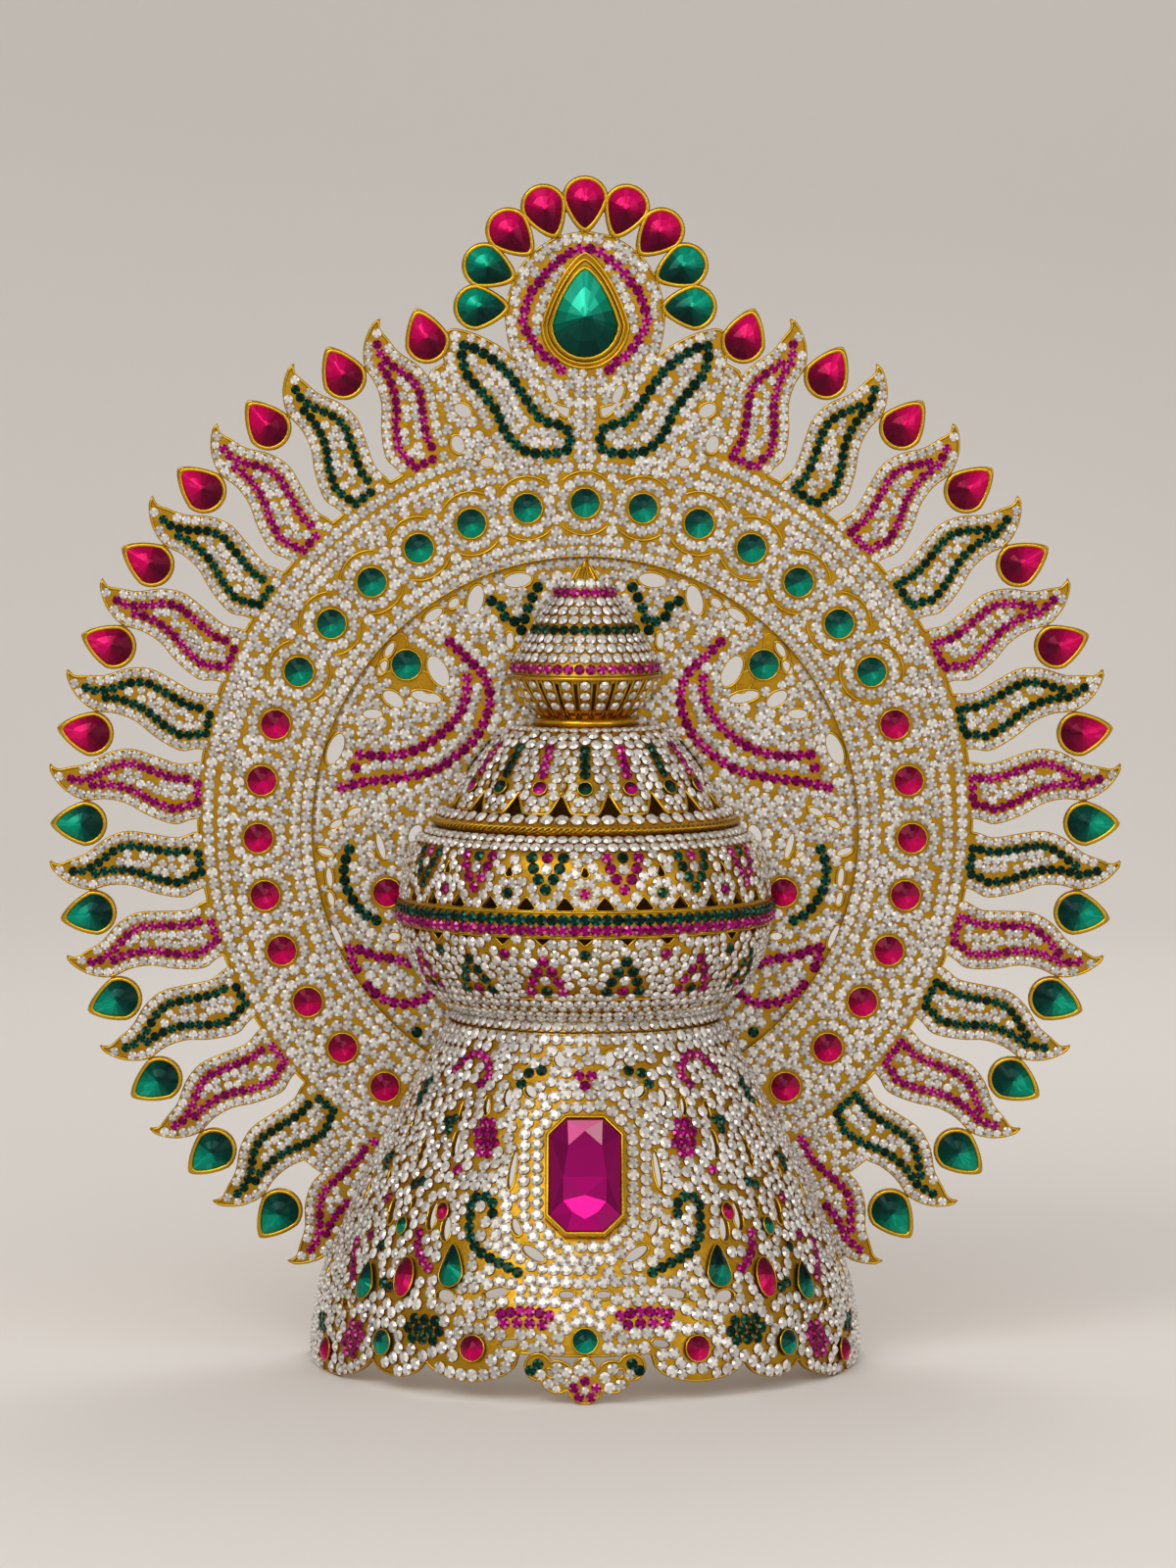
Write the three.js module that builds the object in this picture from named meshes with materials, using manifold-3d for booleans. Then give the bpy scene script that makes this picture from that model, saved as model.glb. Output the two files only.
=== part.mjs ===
// Deity crown: a pierced halo plate with flame rays and a crest, a scrollwork
// panel inside it, and a half-round body (skirt, pot, dome and tiers) in front.
// Millimetres, +Z up, +X to the wearer's left, the front faces -Y.
import * as THREE from 'three';
import { mergeVertices } from 'three/addons/utils/BufferGeometryUtils.js';
import Module from 'manifold-3d';

const wasm = await Module();
wasm.setup();

// ---------------------------------------------------------------- dimensions
const DEG = Math.PI / 180;
const CENTRE_Y = 34.75;           // moves the finished crown so that its box is centred on Y

const SHEET = 1.4;                // thickness of the halo plate
const PANEL_SHEET = 1.2;          // thickness of the scroll panel
const GAP = 0.3;                  // clearance between neighbouring pieces
const CUT = 6;                    // how far a cutting tool runs past a sheet
const MERGE = 1e-4;               // points closer than this are one

const RING_Z = 147.9;             // centre of the ring band
const RING_INNER = 76.4;
const RING_GEM_CIRCLE = 91.4;     // circle of the round stones
const RING_GEM_STEP = 10.15;      // degrees between the round stones
const RING_GEM_RADIUS = 3.9;
const RING_GEM_HEIGHT = 2.4;
const RING_CHANNEL = { half: 0.8, depth: 0.5 };   // carries the round stones along the ring
const RING_EMERALDS = 6;          // emeralds on each side of the top one
const RING_LAST = 14;             // number of the lowest ruby on each side
const PANEL_LAP = 4;              // how far the panel reaches behind the ring

const RAY_Z = 151.4;              // centre of the rays
const RAY_ROOT = 109.2;           // circle from which the flames rise
const RAY_FIRST = 18.3;           // degrees from the crown's top to the first pear stone
const RAY_STEP = 10.33;
const RAY_COUNT = 13;             // pears, and flames, on each side
const PEAR_CIRCLE = 141.3;
const PEAR_LENGTH = 13;
const PEAR_WIDTH = 10.3;
const PEAR_RIM = 1.3;             // gold showing round a pear stone
const PEAR_HEIGHT = 3.4;
const PEAR_TAPER = 0.62;          // how early a pear's sides draw in towards its point
const PEAR_POINT = 1.5;           // the rim is this much wider at the point
const RUBY_PEARS = 7;             // pears on each side, from the top, that are ruby

const CREST_PEAR_Z = 293.4;       // centre of the crest's fan of pears
const CREST_PEAR_CIRCLE = 28.8;
const CREST_PEAR_STEP = 22.4;
const CREST_PEAR_COUNT = 9;
const CREST_PEAR_LENGTH = 12.8;
const CREST_PEAR_WIDTH = 10.5;
const CREST_PEAR_RIM = 1.3;
const CREST_EYE = { z: 289, halfWidth: 22, up: 25.8, down: 24.5 };
const CREST_GEM = { z: 291.6, width: 17.9, length: 24.3, height: 5.2, base: 1.4 };

const BODY_AXIS_Y = 1.4;          // the half-round shells end flush here, on the panel
const WALL = 1.4;                 // wall of the half-round shells
const LIP_DEPTH = 8;              // the skirt's straight sides reach this far behind the halo
const LIP_SHORT = 1.2;            // their depth above LIP_TOP_Z
const LIP_HEEL = 0.3;             // share of a side's depth where its flat foot begins
const LIP_TOP_Z = 85.8;           // above this the skirt ends in front of the panel
const LIP_FULL_Z = 79;            // below this the sides have their full depth
const ARCH_TOP_Z = 86.6;          // top of the arch cut in plate and panel

const SKIRT_TOP_Z = 95;
const SKIRT_COLUMNS = 46;
const SKIRT_LOWER_ROWS = 6;       // rows of facets below LIP_FULL_Z; two more follow above
const SKIRT_ROWS = SKIRT_LOWER_ROWS + 2;

const PENDANT_RADIUS = 77.1;
const PENDANT_SHEET = 1.2;
const PENDANT_LOW = -1;
const PENDANT_HIGH = 17;

const FRONT_GEM = { z: 58.4, width: 19, length: 32, corner: 4.6, height: 5, girdle: 1.6, proud: 1.1 };
const FRONT_TABLE = { width: 0.56, length: 0.66, corner: 0.7 };   // shares of the stone's own sizes
const GEM_FRAME = { rim: 1.2, back: 2.4, front: 0.3, outerCorner: 0.8, innerCorner: 0.2 };

const GIRDLE = 1;                 // height of a stone's straight girdle
const WALL_GIRDLE = 0.8;
const WALL_STONE_LIFT = 0.03;     // share of its length that a stone on the skirt stands off
const WIRE = { half: 0.35, lift: 1, reach: 8 };   // half width, height off the wall, degrees a stretch
const LEAN_STEP = 3;              // the wall's lean is taken over this height to each side

const SEAT_CORNERS = 12;          // corners of a pear seat's outline
const STONE_CORNERS = 10;         // corners of a small stone's outline
const ROUND_CORNERS = 8;          // corners of a small round stone's outline
const HOLE_CORNERS = 8;           // corners of a pierced opening
const CREST_GEM_CORNERS = 16;
const LOBE_CORNERS = 16;
const LEAF_CORNERS = 26;
const EYE_CORNERS = 28;
const RING_CORNERS = 48;
const DISC_CORNERS = 72;
const NECK_COLUMNS = 16;          // facets round a half of each tier
const BOWL_COLUMNS = 18;
const TOWER_COLUMNS = 14;
const TIP_COLUMNS = 6;
const PENDANT_COLUMNS = 36;
const THINNEST = 0.3;             // least inside radius of a half-round shell

// ------------------------------------------------------------------ outlines
// Outside radius of the half-round body at each height.
const SKIRT_PROFILE = [
  { z: -0.5, r: 76.0 }, { z: 4.1, r: 76.4 }, { z: 13.7, r: 75.3 }, { z: 23.8, r: 73.1 },
  { z: 33.4, r: 69.0 }, { z: 45.7, r: 63.8 }, { z: 56.1, r: 58.9 }, { z: 66.3, r: 53.4 },
  { z: 77.5, r: 47.4 }, { z: 86.2, r: 42.4 }, { z: 92.8, r: 38.6 }, { z: 98.6, r: 36.3 },
];
const NECK_PROFILE = [
  { z: 95.3, r: 37.4 }, { z: 98.4, r: 36.3 }, { z: 101.6, r: 40.6 },
];
const BOWL_LOWER_PROFILE = [
  { z: 101.9, r: 41.0 }, { z: 107.0, r: 45.5 }, { z: 113.0, r: 49.0 }, { z: 118.4, r: 50.7 },
  { z: 122.5, r: 51.2 }, { z: 123.2, r: 52.2 }, { z: 125.8, r: 52.4 },
];
const BOWL_UPPER_PROFILE = [
  { z: 126.1, r: 52.4 }, { z: 129.2, r: 52.2 }, { z: 130.0, r: 51.3 }, { z: 135.6, r: 50.6 },
  { z: 140.2, r: 49.8 }, { z: 145.4, r: 47.2 }, { z: 149.3, r: 42.4 },
];
const BRIM_PROFILE = [
  { z: 149.6, r: 42.0 }, { z: 150.6, r: 43.0 }, { z: 151.8, r: 42.0 }, { z: 152.6, r: 40.6 },
  { z: 154.2, r: 38.8 },
];
const DOME_PROFILE = [
  { z: 154.5, r: 37.6 }, { z: 159.4, r: 35.0 }, { z: 166.5, r: 30.7 }, { z: 173.4, r: 25.4 },
  { z: 176.4, r: 21.9 }, { z: 177.4, r: 14.0 },
];
const BULB_PROFILE = [
  { z: 177.7, r: 12.4 }, { z: 179.6, r: 11.6 }, { z: 182.2, r: 15.0 }, { z: 187.0, r: 18.6 },
  { z: 190.4, r: 20.6 }, { z: 191.6, r: 21.2 },
];
const TIER_PROFILE = [
  { z: 191.9, r: 20.4 }, { z: 195.2, r: 19.8 }, { z: 199.4, r: 17.2 }, { z: 203.4, r: 14.8 },
  { z: 206.0, r: 13.6 }, { z: 209.4, r: 10.8 }, { z: 212.8, r: 8.4 }, { z: 217.0, r: 7.0 },
];
const TIP_PROFILE = [
  { z: 217.3, r: 5.6 }, { z: 219.6, r: 3.6 }, { z: 221.4, r: 1.8 }, { z: 223.4, r: 0.9 },
];

// A flame at distance r from the ray centre: its middle lies c towards the
// crown's top from the ray's own line, and it reaches half to each side.
const FLAME = [
  { r: 101.0, c: -0.6, half: 8.6 }, { r: 109.5, c: -1.1, half: 8.9 },
  { r: 114.2, c: -2.3, half: 8.5 }, { r: 121.8, c: -0.5, half: 8.4 },
  { r: 128.0, c: 1.7, half: 8.1 }, { r: 134.0, c: 1.7, half: 7.3 },
  { r: 139.6, c: -0.9, half: 5.8 }, { r: 144.6, c: -0.6, half: 3.9 },
  { r: 148.2, c: 1.0, half: 1.8 }, { r: 150.3, c: 2.6, half: 0.4 },
];

// Right half of a leaf flame beside the crest's eye, round its edge.
const CREST_LEAF = [
  { x: 1.0, z: 252.0 }, { x: 13.0, z: 249.0 }, { x: 23.5, z: 252.6 }, { x: 28.2, z: 260.4 },
  { x: 31.6, z: 266.6 }, { x: 37.0, z: 272.4 }, { x: 39.4, z: 279.4 }, { x: 38.4, z: 287.0 },
  { x: 33.4, z: 287.2 }, { x: 26.4, z: 284.4 }, { x: 20.4, z: 280.2 }, { x: 15.0, z: 273.0 },
  { x: 9.6, z: 266.8 }, { x: 4.6, z: 263.4 }, { x: 4.4, z: 274.0 }, { x: 0.0, z: 276.0 },
];
// Small scrolls that fill the corner between the leaf and the first flame.
const CREST_SHOULDER = [
  { x: 18.0, z: 256.0 }, { x: 29.0, z: 264.6 }, { x: 36.0, z: 273.0 }, { x: 39.5, z: 278.0 },
  { x: 43.0, z: 276.0 }, { x: 47.0, z: 264.0 }, { x: 50.0, z: 248.0 }, { x: 30.0, z: 246.0 },
];

// Pierced openings on the right-hand side; each has a twin on the left.
const CREST_OPENINGS = [
  { x: 9.2, z: 269.6, long: 5.4, wide: 2.6, tilt: 62 },
  { x: 34.0, z: 265.0, long: 5.2, wide: 3.6, tilt: 30 },
  { x: 35.4, z: 255.6, long: 5.0, wide: 3.6, tilt: 70 },
  { x: 27.2, z: 250.6, long: 4.0, wide: 2.8, tilt: 0 },
];
const PANEL_OPENINGS = [
  { x: 41.0, z: 192.4, long: 9.4, wide: 5.0, tilt: 45 },
  { x: 44.0, z: 185.4, long: 9.6, wide: 3.4, tilt: -20 },
  { x: 53.6, z: 184.6, long: 7.4, wide: 4.2, tilt: 35 },
  { x: 59.2, z: 180.4, long: 7.2, wide: 3.0, tilt: 0 },
  { x: 42.4, z: 208.4, long: 6.0, wide: 3.2, tilt: -35 },
  { x: 31.4, z: 211.6, long: 9.6, wide: 5.2, tilt: -45 },
  { x: 18.4, z: 217.6, long: 8.6, wide: 4.0, tilt: -8 },
  { x: 21.0, z: 201.0, long: 4.6, wide: 2.2, tilt: 90 },
  { x: 69.4, z: 170.6, long: 9.6, wide: 4.8, tilt: 62 },
  { x: 40.2, z: 152.2, long: 4.6, wide: 2.6, tilt: 80 },
  { x: 47.6, z: 146.4, long: 5.6, wide: 3.2, tilt: -50 },
  { x: 57.0, z: 143.4, long: 7.6, wide: 2.2, tilt: 75 },
  { x: 71.4, z: 143.0, long: 7.4, wide: 2.4, tilt: 84 },
  { x: 71.8, z: 132.0, long: 9.0, wide: 2.4, tilt: 82 },
  { x: 69.6, z: 118.0, long: 7.0, wide: 2.4, tilt: 66 },
  { x: 54.0, z: 118.0, long: 4.2, wide: 2.6, tilt: 0 },
];
// Openings of the skirt: the angle from the front's middle takes the place of x.
const SKIRT_OPENINGS = [
  { angle: 21.0, z: 62.5, long: 12.0, wide: 3.4, tilt: 90 },
  { angle: 13.0, z: 39.6, long: 5.6, wide: 3.2, tilt: 20 },
  { angle: 8.0, z: 88.6, long: 4.2, wide: 2.6, tilt: 0 },
  { angle: 22.0, z: 79.6, long: 5.4, wide: 3.0, tilt: 50 },
  { angle: 36.0, z: 49.6, long: 8.4, wide: 3.4, tilt: 75 },
  { angle: 28.0, z: 45.6, long: 5.4, wide: 3.0, tilt: 60 },
  { angle: 40.0, z: 72.0, long: 9.0, wide: 3.6, tilt: 80 },
  { angle: 52.0, z: 62.0, long: 9.0, wide: 3.8, tilt: 80 },
  { angle: 56.0, z: 46.0, long: 8.4, wide: 4.0, tilt: 75 },
  { angle: 66.0, z: 67.0, long: 9.0, wide: 4.0, tilt: 80 },
  { angle: 74.0, z: 50.0, long: 10.0, wide: 4.6, tilt: 82 },
  { angle: 62.0, z: 20.0, long: 6.0, wide: 3.6, tilt: 20 },
  { angle: 80.0, z: 27.0, long: 7.0, wide: 4.4, tilt: 80 },
  { angle: 30.0, z: 22.6, long: 4.6, wide: 3.0, tilt: 0 },
];
const PETAL_STEP = 21;            // degrees between the petals of the dome
const PETAL_NOTCHES_A_SIDE = 4;
const PETAL_NOTCH = { foot: 3.4, tip: 1.2, up: 3.4, down: 1 };
const BOWL_OPENING_STEP = 12.25;  // degrees between the dark arches above and below the band
const BOWL_OPENINGS_A_SIDE = 6;
const BOWL_OPENING_HALF = 2.6;
const BOWL_OPENING_RADIUS = 50;
const LOWER_OPENINGS = { z: 118.6, rise: 3.6 };
const UPPER_OPENINGS = { z: 133.4, rise: -3.0 };

// Lobes of the trefoil under the hem's middle; those off the middle have a twin.
const PENDANT_LOBES = [
  { x: 0.0, z: 5.0, r: 5.0 }, { x: 0.0, z: 9.8, r: 3.2 }, { x: 7.4, z: 7.4, r: 4.6 },
  { x: 12.6, z: 10.0, r: 3.8 },
];

// Stones of the panel, each with a twin on the left, and of the hem.
const PANEL_EMERALD = { x: 49.9, z: 193.8, radius: 4 };
const PANEL_RUBY = { x: 55.6, z: 130.3, radius: 3.7 };
const HEM_STONE = { width: 6.6, length: 6.6, height: 2.4 };
const HEM_STONES = [
  { angle: -68.5, z: 6.5 }, { angle: -46.5, z: 12.5 }, { angle: -23.5, z: 13.8 }, { angle: 0, z: 16.7 },
  { angle: 23.5, z: 13.8 }, { angle: 46.5, z: 12.5 }, { angle: 68.5, z: 6.5 },
];

// Scallops of the hem on the right-hand side, from the front's middle outwards.
const HEM_SCALLOPS = [
  { from: 0.0, to: 14.0, low: 12.6, high: 13.4 },
  { from: 14.0, to: 35.0, low: 5.0, high: 11.0 },
  { from: 35.0, to: 50.0, low: 4.0, high: 9.4 },
  { from: 50.0, to: 97.0, low: 0.0, high: 8.4 },
];

// ------------------------------------------------------------------ materials
const metal = (colour, roughness) =>
  new THREE.MeshStandardMaterial({ color: colour, roughness, metalness: 1 });
const stone = (colour) =>
  new THREE.MeshStandardMaterial({ color: colour, roughness: 0.08, metalness: 0 });

const GILT_SHEET = metal(0xd9a11a, 0.3);
const GILT_BODY = metal(0xe0aa22, 0.28);
const GILT_TRIM = metal(0xefc040, 0.22);
const RUBY = stone(0xbe003c);
const EMERALD = stone(0x00704a);
const MAGENTA = stone(0x9a0078);

// ------------------------------------------------------------------- helpers
/** Turns a closed geometry into a solid that can be cut and joined. */
function solidOf(geometry) {
  const bare = geometry.index ? geometry.toNonIndexed() : geometry.clone();
  bare.deleteAttribute('normal');
  bare.deleteAttribute('uv');
  const merged = mergeVertices(bare, MERGE);
  return new wasm.Manifold(new wasm.Mesh({
    numProp: 3,
    vertProperties: new Float32Array(merged.attributes.position.array),
    triVerts: new Uint32Array(merged.index.array),
  }));
}

/** The same faces wound the other way round. */
function turnedInsideOut(geometry) {
  const index = [];
  for (let face = 0; face < geometry.index.count; face += 3) {
    index.push(geometry.index.getX(face), geometry.index.getX(face + 2), geometry.index.getX(face + 1));
  }
  geometry.setIndex(index);
  return geometry;
}

/** A solid of a closed geometry whichever way its faces are wound. */
function facingOut(geometry) {
  const solid = solidOf(geometry);
  return solid.volume() > 0 ? solid : solidOf(turnedInsideOut(geometry));
}

/** A solid of a list of coordinates and a list of triangle corners. */
function faceted(vertices, index) {
  const geometry = new THREE.BufferGeometry();
  geometry.setAttribute('position', new THREE.Float32BufferAttribute(vertices, 3));
  geometry.setIndex(index);
  return facingOut(geometry);
}

/** Turns a solid back into a geometry. */
function geometryOf(solid) {
  const mesh = solid.getMesh();
  const geometry = new THREE.BufferGeometry();
  geometry.setAttribute('position', new THREE.BufferAttribute(mesh.vertProperties, 3));
  geometry.setIndex(new THREE.BufferAttribute(mesh.triVerts, 1));
  geometry.computeVertexNormals();
  return geometry;
}

const joined = (solids) => solids.reduce((all, one) => all.add(one));
const cutBy = (solid, tools) => tools.reduce((left, tool) => left.subtract(tool), solid);

/** A flat piece cut to an outline of {x, z} points; front and back are its Y faces. */
function sheet(outline, front, back) {
  const shape = new THREE.Shape(outline.map((point) => new THREE.Vector2(point.x, point.z)));
  const geometry = new THREE.ExtrudeGeometry(shape, { depth: back - front, bevelEnabled: false });
  geometry.rotateX(Math.PI / 2);
  geometry.translate(0, back, 0);
  return solidOf(geometry);
}

const mirrored = (outline) => outline.map((point) => ({ x: -point.x, z: point.z })).reverse();

/** A smooth closed curve through a few points, as count points. */
function smoothed(outline, count) {
  const points = outline.map((point) => new THREE.Vector3(point.x, 0, point.z));
  const curve = new THREE.CatmullRomCurve3(points, true, 'centripetal');
  return curve.getPoints(count).slice(0, count).map((point) => ({ x: point.x, z: point.z }));
}

/** An ellipse with its long axis tilted from the X direction. */
function ellipse(x, z, halfLong, halfWide, tilt, count) {
  return Array.from({ length: count }, (_, index) => {
    const turn = (index / count) * 2 * Math.PI;
    const along = halfLong * Math.cos(turn);
    const across = halfWide * Math.sin(turn);
    return {
      x: x + along * Math.cos(tilt * DEG) - across * Math.sin(tilt * DEG),
      z: z + along * Math.sin(tilt * DEG) + across * Math.cos(tilt * DEG),
    };
  });
}

/** A pear about the origin with its point towards +z, grown outwards by rim. */
function pear(length, width, rim, count) {
  const round = width / 2;
  return Array.from({ length: count }, (_, index) => {
    const turn = (index / count) * 2 * Math.PI;
    const lift = Math.cos(turn);
    const sine = Math.abs(Math.sin(turn)) < MERGE ? 0 : Math.sin(turn);
    const taper = lift > 0 && sine !== 0 ? Math.pow((1 - lift) / Math.abs(sine), PEAR_TAPER) : 1;
    const reach = lift > 0 ? length - round + rim * PEAR_POINT : round + rim;
    return { x: sine * taper * (round + rim), z: lift * reach - (length - width) / 2 };
  });
}

/** Places an outline: turned clockwise by angle from +z, then moved to (x, z). */
function placed(outline, angle, x, z) {
  const sin = Math.sin(angle * DEG);
  const cos = Math.cos(angle * DEG);
  return outline.map((point) => ({
    x: x + point.x * cos + point.z * sin,
    z: z - point.x * sin + point.z * cos,
  }));
}

/** A cut stone: a straight girdle on base, then facets up to its apex in front. */
function cutStone(outline, apex, base, girdle, height) {
  const count = outline.length;
  const rings = [base, base - girdle];
  const vertices = rings.flatMap((y) => outline.flatMap((point) => [point.x, y, point.z]));
  vertices.push(apex.x, base - height, apex.z, apex.x, base, apex.z);
  const tip = count * 2;
  const middle = tip + 1;
  const index = outline.flatMap((_, here) => {
    const next = (here + 1) % count;
    return [
      here, next, middle,
      here, here + count, next, next, here + count, next + count,
      here + count, tip, next + count,
    ];
  });
  return faceted(vertices, index);
}

/** Radius of a profile of {z, r} points at a height. */
function radiusAt(profile, z) {
  const upper = profile.findIndex((point) => point.z >= z);
  if (upper <= 0) return upper === 0 ? profile[0].r : profile[profile.length - 1].r;
  const low = profile[upper - 1];
  const high = profile[upper];
  return low.r + ((high.r - low.r) * (z - low.z)) / (high.z - low.z);
}

/** A half-round shell of a profile: open behind, its ends flush on the body axis. */
function halfShell(profile, columns, wall) {
  const outside = profile.map((point) => new THREE.Vector2(point.r, point.z));
  const inner = (radius) => Math.max(radius - wall, THINNEST);
  const inside = profile.map((point) => new THREE.Vector2(inner(point.r), point.z)).reverse();
  const ring = [...outside, ...inside, outside[0].clone()];
  const geometry = new THREE.LatheGeometry(ring, columns * 2);
  geometry.rotateX(Math.PI / 2);
  const whole = facingOut(geometry);
  const top = profile[profile.length - 1].z;
  const reach = Math.max(...profile.map((point) => point.r)) + CUT;
  const behind = sheet(
    [{ x: -reach, z: -CUT }, { x: reach, z: -CUT }, { x: reach, z: top + CUT }, { x: -reach, z: top + CUT }],
    0, reach,
  );
  return whole.subtract(behind).translate([0, BODY_AXIS_Y, 0]);
}

/** A flat outline pushed through a half-round wall, straight in towards its axis. */
function radialTool(outline, angle, radius, depth) {
  return sheet(outline, -depth, depth).translate([0, -radius, 0]).rotate([0, 0, angle]);
}

// --------------------------------------------------------------- flat plates
/** Outline of the arch through plate and panel: the skirt's own outline and a gap. */
function archOutline() {
  const between = SKIRT_PROFILE.map((point) => point.z).filter((z) => z > 0 && z < ARCH_TOP_Z);
  const heights = [-CUT, ...between, ARCH_TOP_Z];
  const right = heights.map((z) => ({ x: radiusAt(SKIRT_PROFILE, z) + GAP, z }));
  return [...right, ...mirrored(right)];
}

function archTool() {
  return sheet(archOutline(), -CUT, LIP_DEPTH + CUT);
}

/** Both sides of a list of elliptical openings, as cutting tools. */
function openingTools(openings) {
  return openings.flatMap((hole) => {
    const outline = ellipse(hole.x, hole.z, hole.long / 2, hole.wide / 2, hole.tilt, HOLE_CORNERS);
    return [sheet(outline, -CUT, CUT), sheet(mirrored(outline), -CUT, CUT)];
  });
}

/** One flame of the halo, on the right-hand side, at an angle from the top. */
function flameOutline(angle) {
  const out = { x: Math.sin(angle * DEG), z: Math.cos(angle * DEG) };
  const up = { x: -Math.cos(angle * DEG), z: Math.sin(angle * DEG) };
  const edge = (row, side) => {
    const shift = row.c + side * row.half;
    return { x: out.x * row.r + up.x * shift, z: RAY_Z + out.z * row.r + up.z * shift };
  };
  return [...FLAME.map((row) => edge(row, 1)), ...FLAME.map((row) => edge(row, -1)).reverse()];
}

const pearAngle = (index) => RAY_FIRST + RAY_STEP * index;

function rimPearOutline(index, rim, count) {
  const angle = pearAngle(index);
  return placed(
    pear(PEAR_LENGTH, PEAR_WIDTH, rim, count), angle,
    PEAR_CIRCLE * Math.sin(angle * DEG), RAY_Z + PEAR_CIRCLE * Math.cos(angle * DEG),
  );
}

function crestPearOutline(index, rim, count) {
  const angle = (index - (CREST_PEAR_COUNT - 1) / 2) * CREST_PEAR_STEP;
  return placed(
    pear(CREST_PEAR_LENGTH, CREST_PEAR_WIDTH, rim, count), angle + 180,
    CREST_PEAR_CIRCLE * Math.sin(angle * DEG), CREST_PEAR_Z + CREST_PEAR_CIRCLE * Math.cos(angle * DEG),
  );
}

/** The crest's egg-shaped eye: a wide half ellipse above, a deeper one below. */
function crestEyeOutline() {
  return Array.from({ length: EYE_CORNERS }, (_, index) => {
    const turn = (index / EYE_CORNERS) * 2 * Math.PI;
    const reach = Math.sin(turn) > 0 ? CREST_EYE.up : CREST_EYE.down;
    return { x: CREST_EYE.halfWidth * Math.cos(turn), z: CREST_EYE.z + reach * Math.sin(turn) };
  });
}

function makeHaloPlate() {
  const pieces = [ellipse(0, RAY_Z, RAY_ROOT, RAY_ROOT, 0, DISC_CORNERS), crestEyeOutline()];
  for (const outline of [smoothed(CREST_LEAF, LEAF_CORNERS), CREST_SHOULDER]) {
    pieces.push(outline, mirrored(outline));
  }
  for (let index = 0; index < RAY_COUNT; index += 1) {
    const flame = flameOutline(pearAngle(index) + RAY_STEP / 2);
    const seat = rimPearOutline(index, PEAR_RIM, SEAT_CORNERS);
    pieces.push(flame, mirrored(flame), seat, mirrored(seat));
  }
  for (let index = 0; index < CREST_PEAR_COUNT; index += 1) {
    pieces.push(crestPearOutline(index, CREST_PEAR_RIM, SEAT_CORNERS));
  }
  const whole = joined(pieces.map((outline) => sheet(outline, 0, SHEET)));
  const inside = sheet(ellipse(0, RING_Z, RING_INNER, RING_INNER, 0, RING_CORNERS), -CUT, CUT);
  return cutBy(whole, [inside, archTool(), ...openingTools(CREST_OPENINGS)]);
}

function makeScrollPanel() {
  const front = SHEET + GAP;
  const radius = RING_INNER + PANEL_LAP;
  const disc = sheet(ellipse(0, RING_Z, radius, radius, 0, RING_CORNERS), front, front + PANEL_SHEET);
  return cutBy(disc, [archTool(), ...openingTools(PANEL_OPENINGS)]);
}

// ------------------------------------------------------------- skirt and pot
/** Height of the hem's lower edge at an angle from the front's middle. */
function hemAt(angle) {
  const side = Math.abs(angle);
  const lobe = HEM_SCALLOPS.find((row) => side >= row.from && side < row.to);
  if (!lobe) return 0;
  const middle = (lobe.from + lobe.to) / 2;
  const reach = lobe.from === 0 ? side / lobe.to : Math.abs(side - middle) / (lobe.to - middle);
  return lobe.high - (lobe.high - lobe.low) * Math.sqrt(Math.max(0, 1 - reach * reach));
}

/** Depth of the skirt's straight side behind its axis at a height. */
function lipAt(z) {
  const full = THREE.MathUtils.clamp((LIP_TOP_Z - z) / (LIP_TOP_Z - LIP_FULL_Z), 0, 1);
  return THREE.MathUtils.lerp(LIP_SHORT, LIP_DEPTH, full);
}

/** Height of the skirt's facet rows: even steps up to the full sides, then two more. */
function skirtRowAt(row, hem) {
  if (row <= SKIRT_LOWER_ROWS) return hem + ((LIP_FULL_Z - hem) * row) / SKIRT_LOWER_ROWS;
  return row === SKIRT_ROWS ? SKIRT_TOP_Z : LIP_TOP_Z;
}

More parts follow.
